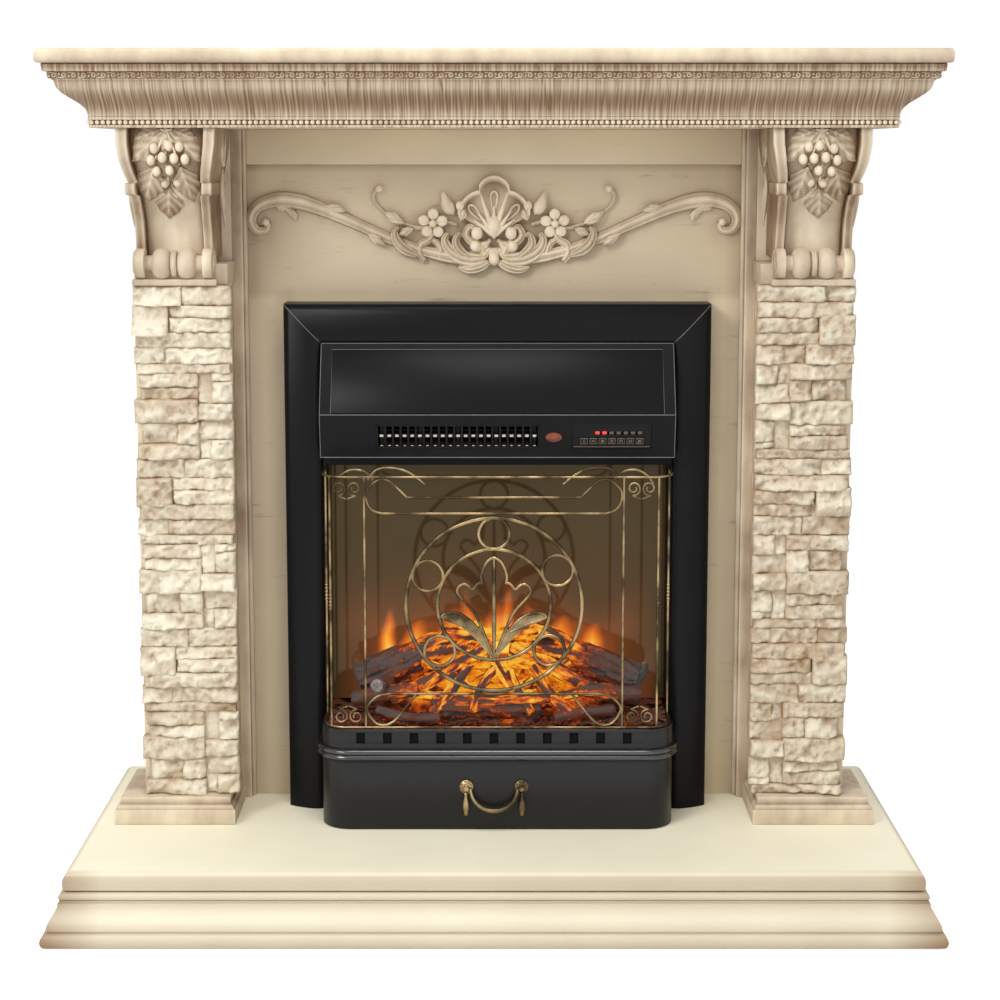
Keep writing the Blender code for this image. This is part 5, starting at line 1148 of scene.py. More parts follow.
class SUITE_OT_corbels(bpy.types.Operator):
    """Scrolled consoles with their vine clusters"""
    bl_idname = "suite.corbels"
    bl_label = "Corbels"

    def execute(self, context):
        console = Shape()
        self.bands(console)
        self.field(console)
        self.narrow(console)
        self.side_carving(console)
        for left, right, forward, low, high, ease, value in (
                (-59, 48, 84, 0, 24, 1.6, 0.4), (-48, 47.5, 101, 0, 7, 0.8, 0.4),
                (-43, 43, VOLUTE[0] / MM + 2, 5, (VOLUTE[1] - CORBEL_FOOT) / MM, 0.5, 0.45)):
            slab(console, (CORBEL_CENTRE + left * MM, CORBEL_CENTRE + right * MM),
                 (CORBEL_BACK, forward * MM), (CORBEL_FOOT + low * MM, CORBEL_FOOT + high * MM), ease, value)
        pair(console, "console", "antique_cream", "cream_paint", "corbel")
        self.cluster()
        return {"FINISHED"}

    @staticmethod
    def bands(console):
        """A band down each side with a step in it, rolled up in a volute at its foot."""
        stations = sorted([(d, f) for d, f in BELLY if not 60 < d < 75] + list(STEP))
        for side in (-1, 1):
            cross = [(side * (BAND_INNER + x), back, value) for x, back, value in BAND]
            upright_strip(console, stations, cross)
            face = CORBEL_CENTRE + side * (CORBEL_HALF + 0.8) * MM
            turned(console, ROLL, at(face, *VOLUTE), (side, 0, 0), 32, 0.14)
            spiral = []
            for k in range(46):
                way = heading(90 + 15 * k) * (14.2 - 0.27 * k) * MM
                spiral.append(at(face + side * 0.3 * MM, VOLUTE[0] - way.x * side, VOLUTE[1] + way.y))
            tube(console, spiral, 1.3, 6, value=0.1)
            lump(console, at(face, *VOLUTE), (1.6, 3, 3), 2, 0.1)

    @staticmethod
    def field(console):
        """The crowned field between the bands, and the turned bolster below it."""
        cross = [(-FIELD_HALF, 5, 0.7), (2 - FIELD_HALF, 2, 0.65), (5 - FIELD_HALF, 0.4, 0.5)]
        cross += [(share * (FIELD_HALF - 9), -2.2 * (1 - share * share), 0.36 - 0.34 * (1 - abs(share)))
                  for share in (-1, -0.66, -0.33, 0, 0.33, 0.66, 1)]
        cross += [(FIELD_HALF - 5, 0.4, 0.5), (FIELD_HALF - 2, 2, 0.65), (FIELD_HALF, 5, 0.7)]
        upright_strip(console, BELLY, [(x, BAND_DEPTH + back, value) for x, back, value in cross])
        bolster = [(0, -43), (9.5, -43), (9.5, -32)]
        bolster += [(8.5 + 10 * math.sin(math.radians(a)) ** 0.8, -18 - 13 * math.cos(math.radians(a)))
                    for a in range(5, 180, 12)]
        bolster += [(10, -4.6), (14.5, -3.6), (15.8, -1.6), (15.2, -0.5)]
        bolster += [(r, -x) for r, x in reversed(bolster)]
        turned(console, bolster, at(CORBEL_CENTRE, *VOLUTE), (1, 0, 0), 32, 0.34)

    @staticmethod
    def narrow(console):
        """Draw the corbel in on its way down, and darken with painted shade the field above, behind the
        grapes, and the bands below, where they face down.
        """
        for index, (x, y, z) in enumerate(console.points):
            drop, across = (CORBEL_TOP - z) / MM, x - CORBEL_CENTRE
            console.points[index] = (CORBEL_CENTRE + across * (1 - along_run(NARROWING, drop)), y, z)
            # Painted shade: the field darker towards its top, behind the leaves and grapes; the bands take a
            # little more glaze, and painted shade below the step
            if abs(across) < (FIELD_HALF + 0.5) * MM:
                console.values[index] += 0.4 * max(0.0, min(1.0, (72 - drop) / 24))
            else:
                console.values[index] += 0.08 + 0.22 * max(0.0, min(1.0, (drop - 62) / 20))

    @staticmethod
    def side_carving(console):
        """An almond and a long leaf on each side face."""
        almond = ((60, 6), (72, 10), (77, 20), (73, 32), (60, 42), (50, 32), (46, 20), (50, 10))
        stem = smooth(((58, 46), (66, 62), (62, 80), (54, 96), (46, 112)), 5)
        radii = [max(0.6, 3.4 * math.sin(math.pi * (k + 1) / (len(stem) + 1))) for k in range(len(stem))]
        for side in (-1, 1):
            face = CORBEL_CENTRE + side * (CORBEL_HALF - 1.6) * MM
            points = [at(face, f * MM, CORBEL_TOP - d * MM) for f, d in smooth(almond, 4, True)]
            tube(console, points, 1.6, 6, closed=True, value=0.2)
            lump(console, at(face, 61 * MM, CORBEL_TOP - 22 * MM), (2, 6, 11), 2, 0.3)
            points = [at(face - side * 1.2 * MM, f * MM, CORBEL_TOP - d * MM) for f, d in stem]
            tube(console, points, radii, 6, value=0.25)

    @staticmethod
    def cluster():
        """Grapes over fanned leaves, seated on the field."""
        def spot(across, drop, proud):
            forward = (along_run(BELLY, drop) - BAND_DEPTH + proud) * MM
            return at(CORBEL_CENTRE + across * MM, forward, CORBEL_TOP - drop * MM)

        vine = Shape()
        for base, tip, half_width, bow in CLUSTER_LEAVES:
            vine_leaf(vine, spot(*base, 3), spot(*tip, 2.5), half_width, bow, teeth=4, value=0.46)
        for (across, drop), *_ in CLUSTER_LEAVES:
            stalk = [spot(0, 1, 5), spot(across * 0.6, (drop + 4) * 0.5, 6), spot(across, drop, 5)]
            tube(vine, stalk, 1.3, 6)
        for across, drop in GRAPES:
            swell = 4 * math.cos(min(1.5, abs(across) / 24)) * math.sin(math.pi * (drop - 4) / 72)
            lump(vine, spot(across, drop, 5 + swell), (4.8, 4.9, 5.9), 3)
            # A dark lump behind each grape: painted shade between the grapes
            lump(vine, spot(across, drop + 1.5, 1.5 + swell), (6.4, 4.4, 7.6), 2, 0.85)
        pair(vine, "vine_cluster", "antique_cream", "cream_paint", "grape_cluster", 60)


def vine_leaf(shape, base, tip, half_width, bow, teeth=5, value=0.08):
    """A lobed leaf with a raised rib and veins, from its stalk end to its tip; widths in mm."""
    base, tip, outward = Vector(base), Vector(tip), Vector((0, -1, 0))
    half_width, bow = in_mm(half_width, bow)
    along = tip - base
    side = along.cross(outward).normalized()
    length, across = 16, 5
    front, behind, values = [], [], []
    for i in range(length + 1):
        s = i / length
        wide = half_width * max(0.04, math.sin(math.pi * s ** 0.75)) ** 0.75
        wide *= 1 + 0.14 * (0.5 - (s * teeth) % 1.0)
        spine = base + along * s + outward * bow * math.sin(math.pi * s)
        ring, under, row = [], [], []
        for j in range(-across, across + 1):
            a = j / across
            vein = 0.5 + 0.5 * math.cos(2 * math.pi * (s * teeth - abs(a) * 1.2))
            rise = 1.6 * MM * math.exp(-(a / 0.12) ** 2) + 0.15 * half_width * vein * (1 - abs(a) ** 3)
            rise -= 2.6 * MM * a * a
            slip = along * (0.1 * abs(a) * (1 - s))
            ring.append(spine + side * wide * a + outward * rise + slip)
            under.append(spine + side * wide * a * 0.97 + outward * (rise - 1.8 * MM) + slip)
            shade = 0.36 * (1 - vein) * (0.4 + 0.6 * abs(a)) - 0.3 * (abs(a) < 0.05) - 0.12 * vein
            row.append(value + shade)
        front.append(ring)
        behind.append(under)
        values.append(row)
    rings = [ring + list(reversed(under)) for ring, under in zip(front, behind)]
    rows = [row + [0.8] * len(row) for row in values]
    shape.skin(rings, rows)


# Applied ornament, across and up from the shell's centre, in mm

SWAG = ((12, -24, 5, 7), (33, -27, 8.5, 10), (56, -25, 8.5, 11), (80, -20, 7, 10), (104, -12, 6.5, 9),
        (128, -3, 7, 9), (152, 8, 7, 9), (177, 19, 7.5, 9), (203, 30, 8.5, 10), (228, 38, 9.5, 10),
        (250, 41, 9.5, 10), (268, 38, 8.5, 10), (281, 30, 7.5, 10), (286, 17, 6.5, 10), (280, 6, 5.5, 9),
        (269, 6, 4.5, 8), (266, 14, 3.4, 7))
TENDRIL = ((44, 12, 2.6, 6), (60, 15, 2.6, 6), (84, 8, 2.6, 5), (104, 12, 2.6, 5), (124, 22, 2.6, 5),
           (139, 36, 2.6, 6), (142, 47, 2.8, 7), (137, 53, 3.2, 7))
RIBBON = ((82, -31, 4, 7), (88, -21, 5.5, 12), (86, -11, 5.5, 12), (77, -6, 4.6, 11), (72, 2, 3.4, 8))
KNOT = ((66, -28, 3, 7), (63, -19, 4.4, 12), (67, -10, 4.4, 11), (73, -6, 3.4, 9))
CURL = ((12, -22, 5, 9), (17, -13, 5.5, 12), (27, -8, 5.5, 13), (33, 0, 5, 13), (29, 9, 4.6, 12),
        (21, 7, 4, 11))
FOILS = (((10, -27, 4, 6), (24, -29, 8, 8), (40, -26, 9, 9), (53, -17, 7, 9), (58, -6, 5, 8), (54, 2, 3, 7)),
         ((30, -26, 4, 9), (41, -17, 6, 11), (45, -7, 5, 11), (41, 1, 3, 9), (37, -2, 2, 7)),
         ((6, -32, 3.5, 5), (16, -38, 6, 7), (30, -41, 5.5, 7), (42, -38, 2, 4)),
         ((90, -24, 3, 5), (104, -18, 7, 9), (114, -8, 6.5, 10), (117, 3, 4.5, 9), (112, 9, 2, 6)))
SHELL_SCROLL = ((4, -6, 3, 8), (14, -12, 3.5, 9), (21, -6, 3.2, 9), (18, 1, 2.6, 8), (13, -1, 2.4, 7))
FLOWER = (72, 13)
BUD = ((0, 0), (5, 5), (7, 12), (5, 20), (1.6, 27), (0, 30))
BOSS = ((0, 17), (5, 14), (8, 9), (9, 3), (7.6, -3), (4.4, -8), (0, -12))
# Round pearls of the swag: place, radii and glaze
PEARLS = (((135, 54, 6), (4.6, 4, 4.6), 0.0), ((22, -13, 10), (6.4, 5.4, 6.4), 0.0),
          ((20, 2, 11), (6.8, 5.4, 7.6), 0.0), ((269, 15, 6), (4.4, 4.4, 4.4), 0.05))
# The shell's flutes as start and spread in degrees
FLUTES = ((30, 42), (72, 36), (108, 42))
# Across a strand: share of its half width, share of its rise, and glaze
RIBBED = ((-1, 0, 0.9), (-0.92, 0.5, 0.3), (-0.7, 0.72, 0.05), (-0.42, 0.62, 0.5), (-0.15, 0.95, 0.1),
          (0, 1.1, 0.0), (0.18, 0.92, 0.15), (0.44, 0.6, 0.55), (0.72, 0.72, 0.05), (0.93, 0.5, 0.35),
          (1, 0, 0.9))
GROOVED = ((-1, 0, 0.9), (-0.94, 0.42, 0.6), (-0.72, 0.74, 0.1), (-0.45, 0.62, 0.42), (-0.2, 0.8, 0.2),
           (0.12, 1.0, 0.0), (0.42, 0.86, 0.12), (0.6, 0.66, 0.45), (0.8, 0.6, 0.15), (0.96, 0.34, 0.5),
           (1, 0, 0.9))


def strand(shape, path, steps=6, cross=GROOVED, lift=0.0):
    """A carved strand along (x, height, half width, rise) stations, flat on the panel."""
    path = smooth(path, steps)
    rings, values = [], []
    for i, (x, height, width, rise) in enumerate(path):
        x0, z0 = path[max(i - 1, 0)][:2]
        x1, z1 = path[min(i + 1, len(path) - 1)][:2]
        run = Vector((x1 - x0, z1 - z0)).normalized()
        side = Vector((-run.y, run.x))
        rings.append([at((x + side.x * a * width) * MM, (0.3 + lift + out * rise) * MM,
                         SHELL_CENTRE + (height + side.y * a * width) * MM) for a, out, _ in cross])
        values.append([value for _, _, value in cross])
    shape.skin(rings, values)


def spot(x, height, forward):
    """A place on the frieze in mm from the shell's centre and forward of the panel."""
    return at(x * MM, forward * MM, SHELL_CENTRE + height * MM)


class SUITE_OT_ornament(bpy.types.Operator):
    """Shell in the middle of the frieze with a swag and flowers on each side"""
    bl_idname = "suite.ornament"
    bl_label = "Applied ornament"

    def execute(self, context):
        self.shell().made("carved_shell", "antique_cream", "cream_paint", ("ornament_shell",), 60)
        swag = Shape()
        for path in (SWAG, TENDRIL, RIBBON, KNOT, CURL):
            strand(swag, path)
        for place, radii, glaze in PEARLS:
            lump(swag, spot(*place), radii, 3, glaze)
        x, height = FLOWER
        for petal in range(5):
            way = heading(20 + 72 * petal)
            base, tip, middle = [(x + way.x * r, height + way.y * r) for r in (2, 16, 11.5)]
            vine_leaf(swag, spot(*base, 4), spot(*tip, 5), 7, 3, teeth=1, value=0.3)
            lump(swag, spot(*middle, 6.5), (6.4, 2.4, 6.4), 3, 0.05)
        lump(swag, spot(x, height, 7), (4.6, 5.4, 4.6), 3)
        for side in (-1, 1):
            turned(swag, BUD, spot(50 + side * 2.6, 23, 5), (0.42 - side * 0.16, -0.1, 1), 16, 0.08)
        for base, tip, width in (((104, 12), (130, 27), 6), ((94, 8), (112, 0), 5), ((40, 16), (34, 30), 5),
                                 ((150, 2), (128, -12), 5), ((200, 34), (174, 28), 5)):
            vine_leaf(swag, spot(*base, 7), spot(*tip, 9), width, 4, teeth=2)
        for foil in FOILS:
            strand(swag, foil, cross=RIBBED, lift=5)
        for i, angle in enumerate((205, 185, 160, 135, 110)):
            way = heading(angle)
            base = (258 - 5 * i, 36 - 1.5 * i)
            vine_leaf(swag, spot(*base, 5), spot(base[0] + way.x * 14, base[1] - abs(way.y) * 12 - 3, 3),
                      4.4, 2, teeth=2, value=0.1)
        pair(swag, "carved_swag", "antique_cream", "cream_paint", "ornament_swag", 60)
        return {"FINISHED"}

    @staticmethod
    def shell():
        """Fan of hollow flutes with a rolled rim over a foot of small scrolls."""
        shell = Shape()
        steps = 72
        rings, values = [], []
        for i in range(steps + 1):
            turn = len(FLUTES) * i / steps
            flute = min(int(turn), len(FLUTES) - 1)
            within = turn - flute
            start, spread = FLUTES[flute]
            way = heading(start + spread * within)
            wave = math.sin(math.pi * within)
            reach = (71 if flute == 1 else 60) - (12 if flute == 1 else 4) * (1 - wave ** 0.6)
            reach -= 7 * (1 - within if flute == 0 else within) * (flute != 1)
            rib = 1 - wave
            stations = ((0.06, 0, 0.5), (0.06, 8, 0.1), (0.25, 8.5 - 1.5 * wave, 0.1),
                        (0.5, 3.5 + 6 * rib, 0.3 + 0.25 * wave), (0.72, 2.6 + 7 * rib, 0.4 + 0.35 * wave),
                        (0.88, 5 + 5 * rib, 0.6 + 0.35 * wave), (0.94, 11 + 2 * rib, 0.15),
                        (0.985, 12.6, 0.0), (1.0, 9, 0.3), (0.97, 5, 0.9), (0.94, 0, 0.95))
            rings.append([spot(way.x * reach * share, way.y * reach * share - 1, 0.3 + out)
                          for share, out, _ in stations])
            values.append([value for _, _, value in stations])
        shell.skin(rings, values)
        for degrees, tip in ((50, 44), (90, 50), (130, 44)):
            way = heading(degrees)
            across = Vector((-way.y, way.x))
            loop = [tuple(way * (tip + run) + across * aside)
                    for run, aside in ((-22, 1.2), (-5, 4), (1, 0), (-5, -4), (-22, -1.2))]
            tube(shell, [spot(x, height, 5) for x, height in smooth(loop, 5)], 1.3, 6, value=0.1)
        for degrees, reach in ((36, 30), (54, 34), (72, 56), (90, 34), (108, 56), (126, 34), (144, 30)):
            way = heading(degrees)
            tube(shell, [spot(way.x * r, way.y * r, 9.5) for r in (3, reach * 0.5, reach)], (4, 2.8, 0.6))
        turned(shell, BOSS, spot(0, 7, 8), (0, 0, 1))
        lump(shell, spot(0, -28, 7), (6.4, 6, 8.5), 3)
        lump(shell, spot(0, -20, 5), (8, 5, 5), 3, 0.2)
        for side in (-1, 1):
            vine_leaf(shell, spot(side * 3, -14, 5), spot(side * 19, -32, 5), 5, 3, teeth=2)
            vine_leaf(shell, spot(side * 4, -8, 6), spot(side * 25, -20, 6), 6, 3, teeth=2)
            strand(shell, [(side * x, height, width, rise) for x, height, width, rise in SHELL_SCROLL])
            lump(shell, spot(side * 40, 34, 8), (5, 4.5, 6), 3)
        return shell


# Electric fire

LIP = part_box("canopy_hood")[0].z
HOOD_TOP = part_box("canopy_hood")[1].z
# The hood's bends, forward and up
CROWN = (54 * MM, HOOD_TOP)
FOLD = (93 * MM, HOOD_TOP - 79 * MM)
LIP_FORWARD = 82 * MM
CHASSIS_HALF = 205 * MM
BAY_FORWARD = 131 * MM
BAY_RADIUS = 34 * MM
BAND_BACK = 57.4 * MM
SLOT_PITCH = 30.8 * MM
SLOT_HALF = 5 * MM
SLOT_COUNT = 11
# The ash drawer's tray, beside its bowed front
TRAY_HALF = 180 * MM
TRAY_FOOT = 86.6 * MM
TRAY_TOP = 136.6 * MM
TRAY_BACK = 8 * MM
TRAY_WALL = 2 * MM
# The trim's section, as outward and forward in mm
TRIM = ((0, 0.3), (0, 41), (-0.4, 42.6), (-2, 44.4), (-7, 47.6), (-14, 51), (-22, 54.2), (-29, 56.4),
        (-34, 57), (-38, 56.5), (-41.5, 54.8), (-43.8, 52), (-44.5, 49), (-44.5, 14), (-42.5, 14),
        (-42.5, 48.6), (-40, 52.6), (-34, 54.9), (-22, 52.2), (-7, 45.6), (-2, 41), (-2, 0.3))


def face_frame(start, end):
    """Frame on a face of the hood that runs from start to end: columns across, down and outward."""
    down = (end - start).normalized()
    outward = Vector((1, 0, 0)).cross(down)
    if outward.y > 0:
        outward = -outward
    frame = Matrix.Identity(4)
    for column, axis in enumerate((Vector((1, 0, 0)), down, outward)):
        frame.col[column][:3] = axis
    frame.col[3][:3] = start
    return frame


def ease_solid(node, width, finish_name):
    """Show a solid as it is, with its folds eased."""
    dress(finish_name, node)
    item = FRAME["nodes"][node]
    item.data.shade_flat()
    bevel = item.modifiers.new("ease", "BEVEL")
    bevel.width = width
    bevel.segments = 2
    bevel.limit_method = "ANGLE"
    bevel.angle_limit = math.radians(40)
    bevel.harden_normals = True


def bay_path(half, front, radius, back, steps=10):
    """Plan of the bowed front: a run across with rounded corners and straight returns."""
    left = arc((-half + radius, front - radius), radius, 180, 90, steps)
    right = arc((half - radius, front - radius), radius, 90, 0, steps)
    return [(x + FIRE_X, f) for x, f in [(-half, back)] + left + right + [(half, back)]]


class SUITE_OT_casing(bpy.types.Operator):
    """Trim frame, canopy hood, slotted fender and ash drawer"""
    bl_idname = "suite.casing"
    bl_label = "Casing"

    def execute(self, context):
        low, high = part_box("trim_frame")
        path = [(low.x, low.z), (low.x, high.z), (high.x, high.z), (high.x, low.z)]
        trim = Shape()
        moulding(trim, path, TRIM, upright=True)
        trim.made("fire_trim", "black_casing", "black_steel", ("trim_frame",))
        # Thin light tubes along the trim's mitres: painted highlights
        mitre_highlights = Shape()
        for x, side in ((low.x, -1), (high.x, 1)):
            corner = [at(x + side * o * MM, (f + 0.05) * MM, high.z + o * MM) for o, f in TRIM[2:13]]
            tube(mitre_highlights, corner, 0.4, 6)
        mitre_highlights.made("trim_mitre_highlights", "edge_highlight", "black_steel")
        ease_solid("canopy_hood", 1.3 * MM, "black_casing")
        dress("dark_inside", "fire_chassis")
        self.hood_panel()
        self.fender()
        self.drawer()
        return {"FINISHED"}

    @staticmethod
    def hood_panel():
        """Raised field on the sloped face of the hood, the slots along its top edge, and painted highlight
        lines along its bends, sides and the field's rim.
        """
        top, fold = at(0, *CROWN), at(0, *FOLD)
        frame = face_frame(top, fold)
        left, right = (FIRE_X - CHASSIS_HALF) / MM + 13, (FIRE_X + CHASSIS_HALF) / MM - 13
        head, foot = 8, (fold - top).length / MM - 1.4
        field = Shape()
        plate(field, frame, (left, right), (head, foot), (-1, 1), 0.9)
        field.made("hood_field", "black_casing", "black_steel")
        # Dark plates stand in for the open slots: the dark inside seen through them, with its shade, is
        # painted
        slots = Shape()
        for x in (-100, 8, 24):
            plate(slots, frame, (x - 5, x + 5), (1.2, 4.2), (-1, 0.15), 0.2)
        slots.made("hood_slots", "dark_inside", "black_steel")
        low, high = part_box("canopy_hood")
        # Thin light tubes along the hood's bends, sides and the field's rim: painted highlights
        edges = Shape()
        outline = (CROWN, FOLD, (LIP_FORWARD, LIP))
        for forward, height in outline:
            tube(edges, [at(x, forward, height) for x in (low.x + 1 * MM, high.x - 1 * MM)], 0.5, 6)
        for x in (low.x + 0.4 * MM, high.x - 0.4 * MM):
            tube(edges, [at(x, forward, height) for forward, height in outline], 0.4, 6)
        rim = ((left, foot), (left, head), (right, head), (right, foot))
        tube(edges, [frame @ Vector(in_mm(x, drop, 1)) for x, drop in rim], 0.35, 6)
        edges.made("hood_edge_highlights", "edge_highlight", "black_steel")

    @staticmethod
    def fender():
        """Slotted strip over a double bead, bowed round the bay."""
        low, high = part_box("fender_band")
        foot, top = low.z, (high.z - low.z) / MM
        bead, slot_top = 14, top - 3.5
        path = bay_path(CHASSIS_HALF, BAY_FORWARD, BAY_RADIUS, BAND_BACK)
        beads = Shape()
        section = [(-2, 0), (1.6, 0), (3.4, 0.5), (5, 1.7), (6, 3.6), (5.6, 5), (4, 6.6), (4.3, 7.6),
                   (5.7, 8.6), (6, 9.8), (5.4, 11.6), (3.8, 13), (1.6, 13.8), (0, bead), (-2, bead)]
        moulding(beads, path, section, foot=foot)
        beads.made("fender_beads", "polished_black", "black_steel")
        strip = Shape()
        upper = [(-2, slot_top), (0, slot_top), (0, top - 0.6), (-0.6, top), (-2, top)]
        lower = [(-2, bead - 1), (0, bead - 1), (0, slot_top - 13), (-2, slot_top - 13)]
        moulding(strip, path, upper, foot=foot)
        moulding(strip, path, lower, foot=foot)
        flat = CHASSIS_HALF - BAY_RADIUS
        slots = [(i - SLOT_COUNT // 2) * SLOT_PITCH for i in range(SLOT_COUNT)]
        limits = [FIRE_X - flat] + [x + way * SLOT_HALF for x in slots for way in (-1, 1)] + [FIRE_X + flat]
        bar_foot, bar_top = slot_top - 13.4, slot_top + 0.4
        heights = (foot + bar_foot * MM, foot + bar_top * MM)
        for across in zip(limits[::2], limits[1::2]):
            slab(strip, across, (BAY_FORWARD - 2 * MM, BAY_FORWARD), heights, 0.3)
        for side in (-1, 1):
            run = arc((FIRE_X + side * flat, BAY_FORWARD - BAY_RADIUS), BAY_RADIUS, 90, 90 - side * 90, 10)
            run.append((FIRE_X + side * CHASSIS_HALF, BAND_BACK))
            if side < 0:
                run.reverse()
            moulding(strip, run, [(-2, bar_foot), (0, bar_foot), (0, bar_top), (-2, bar_top)], foot=foot)
        strip.made("fender_strip", "satin_black", "black_steel", ("fender_band",))
        # A black sheet behind the slots stands in for the shade inside the fender: painted shade
        shade_backing = Shape()
        section = [(-3.2, bead), (-2.6, bead), (-2.6, top - 1.5), (-3.2, top - 1.5)]
        moulding(shade_backing, path, section, foot=foot)
        shade_backing.made("fender_shade_backing", "black_shade", "black_steel")

    @staticmethod
    def drawer():
        """Rounded front with a rolled edge, and the tray behind it."""
        low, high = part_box("ashpan_drawer")
        front = Shape()
        section = [(-2, 0), (-1.2, 0), (-0.4, 0.4), (0, 1.2), (0, 78), (-0.4, 80), (-1.2, 82.1), (-2, 82.1)]
        path = bay_path(CHASSIS_HALF, BAY_FORWARD, BAY_RADIUS, 49.6 * MM)
        moulding(front, path, section, foot=low.z, tall=(high.z - low.z) / (section[-1][1] * MM))
        left, right, ahead = FIRE_X - TRAY_HALF, FIRE_X + TRAY_HALF, BAY_FORWARD - 1.5 * MM
        for across, forward, top in (((left, right), (TRAY_BACK, ahead), TRAY_FOOT + TRAY_WALL),
                                     ((left, left + TRAY_WALL), (TRAY_BACK, ahead), TRAY_TOP),
                                     ((right - TRAY_WALL, right), (TRAY_BACK, ahead), TRAY_TOP),
                                     ((left, right), (TRAY_BACK, TRAY_BACK + TRAY_WALL), TRAY_TOP)):
            slab(front, across, forward, (TRAY_FOOT, top), 0.4)
        front.made("ash_drawer", "satin_black", "black_steel", ("ashpan_drawer",),
                   body=body_of("ashpan_drawer"))


# The strokes of each key's sign, from (across, down) to (across, down), in mm
KEY_SIGNS = (((0, -2, 0, 2),), ((-2, 0, 2, 0),), ((-2, 0, 2, 0), (0, -2, 0, 2)),
             ((-2, -1.2, 2, -1.2), (-2, 1.2, 2, 1.2)), ((-2, 1.5, 0, -1.8), (0, -1.8, 2, 1.5)),
             ((-2, -1.5, 0, 1.8), (0, 1.8, 2, -1.5)), ((-2, -2, 2, 2), (-2, 2, 2, -2)))
# The oval lens, as (radius, rise) in mm
LENS_DOME = ((8.6, 0), (8.4, 0.9), (7.8, 1.4), (7.1, 1.1), (6.7, 1.2), (5.5, 1.9), (3, 2.3), (0.02, 2.4))
GRILLE_BARS = 20


class SUITE_OT_controls(bpy.types.Operator):
    """Outlet grille, fascia with its keys and lamps, sensor lens and the blower behind"""
    bl_idname = "suite.controls"
    bl_label = "Controls"

    def execute(self, context):
        frame = face_frame(at(0, *FOLD), at(0, LIP_FORWARD, LIP))
        self.grille(frame)
        dress("mica_sheet", "heater_element")
        dress("moulded_black", "control_panel")
        dress("board_green", "circuit_board")
        rule = Shape()
        plate(rule, frame, (92, 180), (39.2, 39.8), (-1.8, -1.3), 0.1)
        rule.made("fascia_line", "key_mark", "black_plastic")
        self.lamps(frame)
        self.keys(frame)
        self.lens(frame)
        dress("dim_tin", "blower_housing", "spindle_motor")
        dress("moulded_black", "blower_wheel", "cable_gland")
        return {"FINISHED"}

    @staticmethod
    def grille(frame):
        """A rim, a rail behind and upright bars, with the heater's bright tabs between them."""
        left, right, top, bottom = -135.7, 52.7, 11.3, 40.7
        grille = Shape()
        for across, down, out in (((left, right), (top, top + 2), (-3, 0.4)),
                                  ((left, right), (bottom - 2, bottom), (-3, 0.4)),
                                  ((left, left + 2), (top, bottom), (-3, 0.4)),
                                  ((right - 2, right), (top, bottom), (-3, 0.4)),
                                  ((left + 1, right - 1), (24, 28), (-5, -2.4))):
            plate(grille, frame, across, down, out, 0.35)
        pitch = (right - left - 3) / (GRILLE_BARS + 1)
        for i in range(GRILLE_BARS):
            x = left + 1.5 + pitch * (i + 1)
            plate(grille, frame, (x - 1.1, x + 1.1), (top + 1, bottom - 1), (-3, 0.3), 0.35)
        grille.made("warm_air_grille", "moulded_black", "black_plastic", ("outlet_grille",))
        tabs = Shape()
        for i in range(GRILLE_BARS + 1):
            x = left + 1.5 + pitch * (i + 0.5)
            plate(tabs, frame, (x - 2.1, x + 2.1), (24.8, 27.4), (-2.6, -1.2), 0.2)
            plate(tabs, frame, (x - 1.6, x + 1.6), (bottom - 2.9, bottom - 2.2), (-2.6, -1.2), 0.2)
        tabs.made("grille_tabs", "bright_tab", "grey_steel")

    @staticmethod
    def lamps(frame):
        """A row of seven small lamps, the first two lit."""
        lit, dull = Shape(), Shape()
        for i in range(7):
            x = 144 + (i - 3) * 8.2
            plate(lit if i < 2 else dull, frame, (x - 2.5, x + 2.5), (20.7, 24.3), (-5, -1), 0.5)
        lit.made("lit_lamps", "red_lamp", "red_lens", ("indicator_strip",))
        dull.made("dull_lamps", "dull_lamp", "red_lens")

    @staticmethod
    def keys(frame):
        """Seven square keys, each with a small sign of its own."""
        for number in range(1, 8):
            node = f"key_{number}"
            x = 136 + (number - 4) * 10.7
            key = Shape()
            plate(key, frame, (x - 4.7, x + 4.7), (28.2, 35.8), (-6.5, 0), 0.6)
            key.made(f"press_key_{number}", "dark_key", "black_plastic", (node,), body=body_of(node))
            sign = Shape()
            for x0, d0, x1, d1 in KEY_SIGNS[number - 1]:
                ends = [frame @ Vector(in_mm(x + a, 32 + b, 0.06)) for a, b in ((x0, d0), (x1, d1))]
                tube(sign, ends, 0.35, 6)
            rim = [(-4.1, 28.8), (4.1, 28.8), (4.1, 35.2), (-4.1, 35.2)]
            tube(sign, [frame @ Vector(in_mm(x + a, b, 0)) for a, b in rim], 0.28, 5, closed=True)
            sign.made(f"key_sign_{number}", "key_mark", "black_plastic", body=body_of(node))

    @staticmethod
    def lens(frame):
        """Oval dome of the sensor."""
        lens = Shape()
        rings = []
        for radius, height in LENS_DOME:
            oval = arc((69, 27), (radius * 1.12, radius * 0.66), 0, 350, 35)
            rings.append([frame @ Vector(in_mm(x, drop, 0.3 + height)) for x, drop in oval])
        lens.skin(rings)
        lens.made("oval_lens", "warm_lens", "copper_lens", ("receiver_lens",), 60)


# Flames on the screen: middle, height over the heap and half width, in mm
TONGUES = ((-128, 62, 9), (-96, 44, 20), (-52, 62, 22), (-30, 86, 14), (4, 74, 24), (16, 96, 12),
           (44, 66, 20), (84, 50, 22), (118, 40, 16))
FLAME_FOOT = 255 * MM
BED_TOP = 199.8 * MM
# The heap in the middle of the bed: forward place, half width, half depth and height
HEAP_FORWARD = 40 * MM
HEAP_HALF = 130 * MM
HEAP_DEEP = 36 * MM
HEAP_TALL = 52 * MM
# Chips strewn along the front of the bed
CHIPS = 420

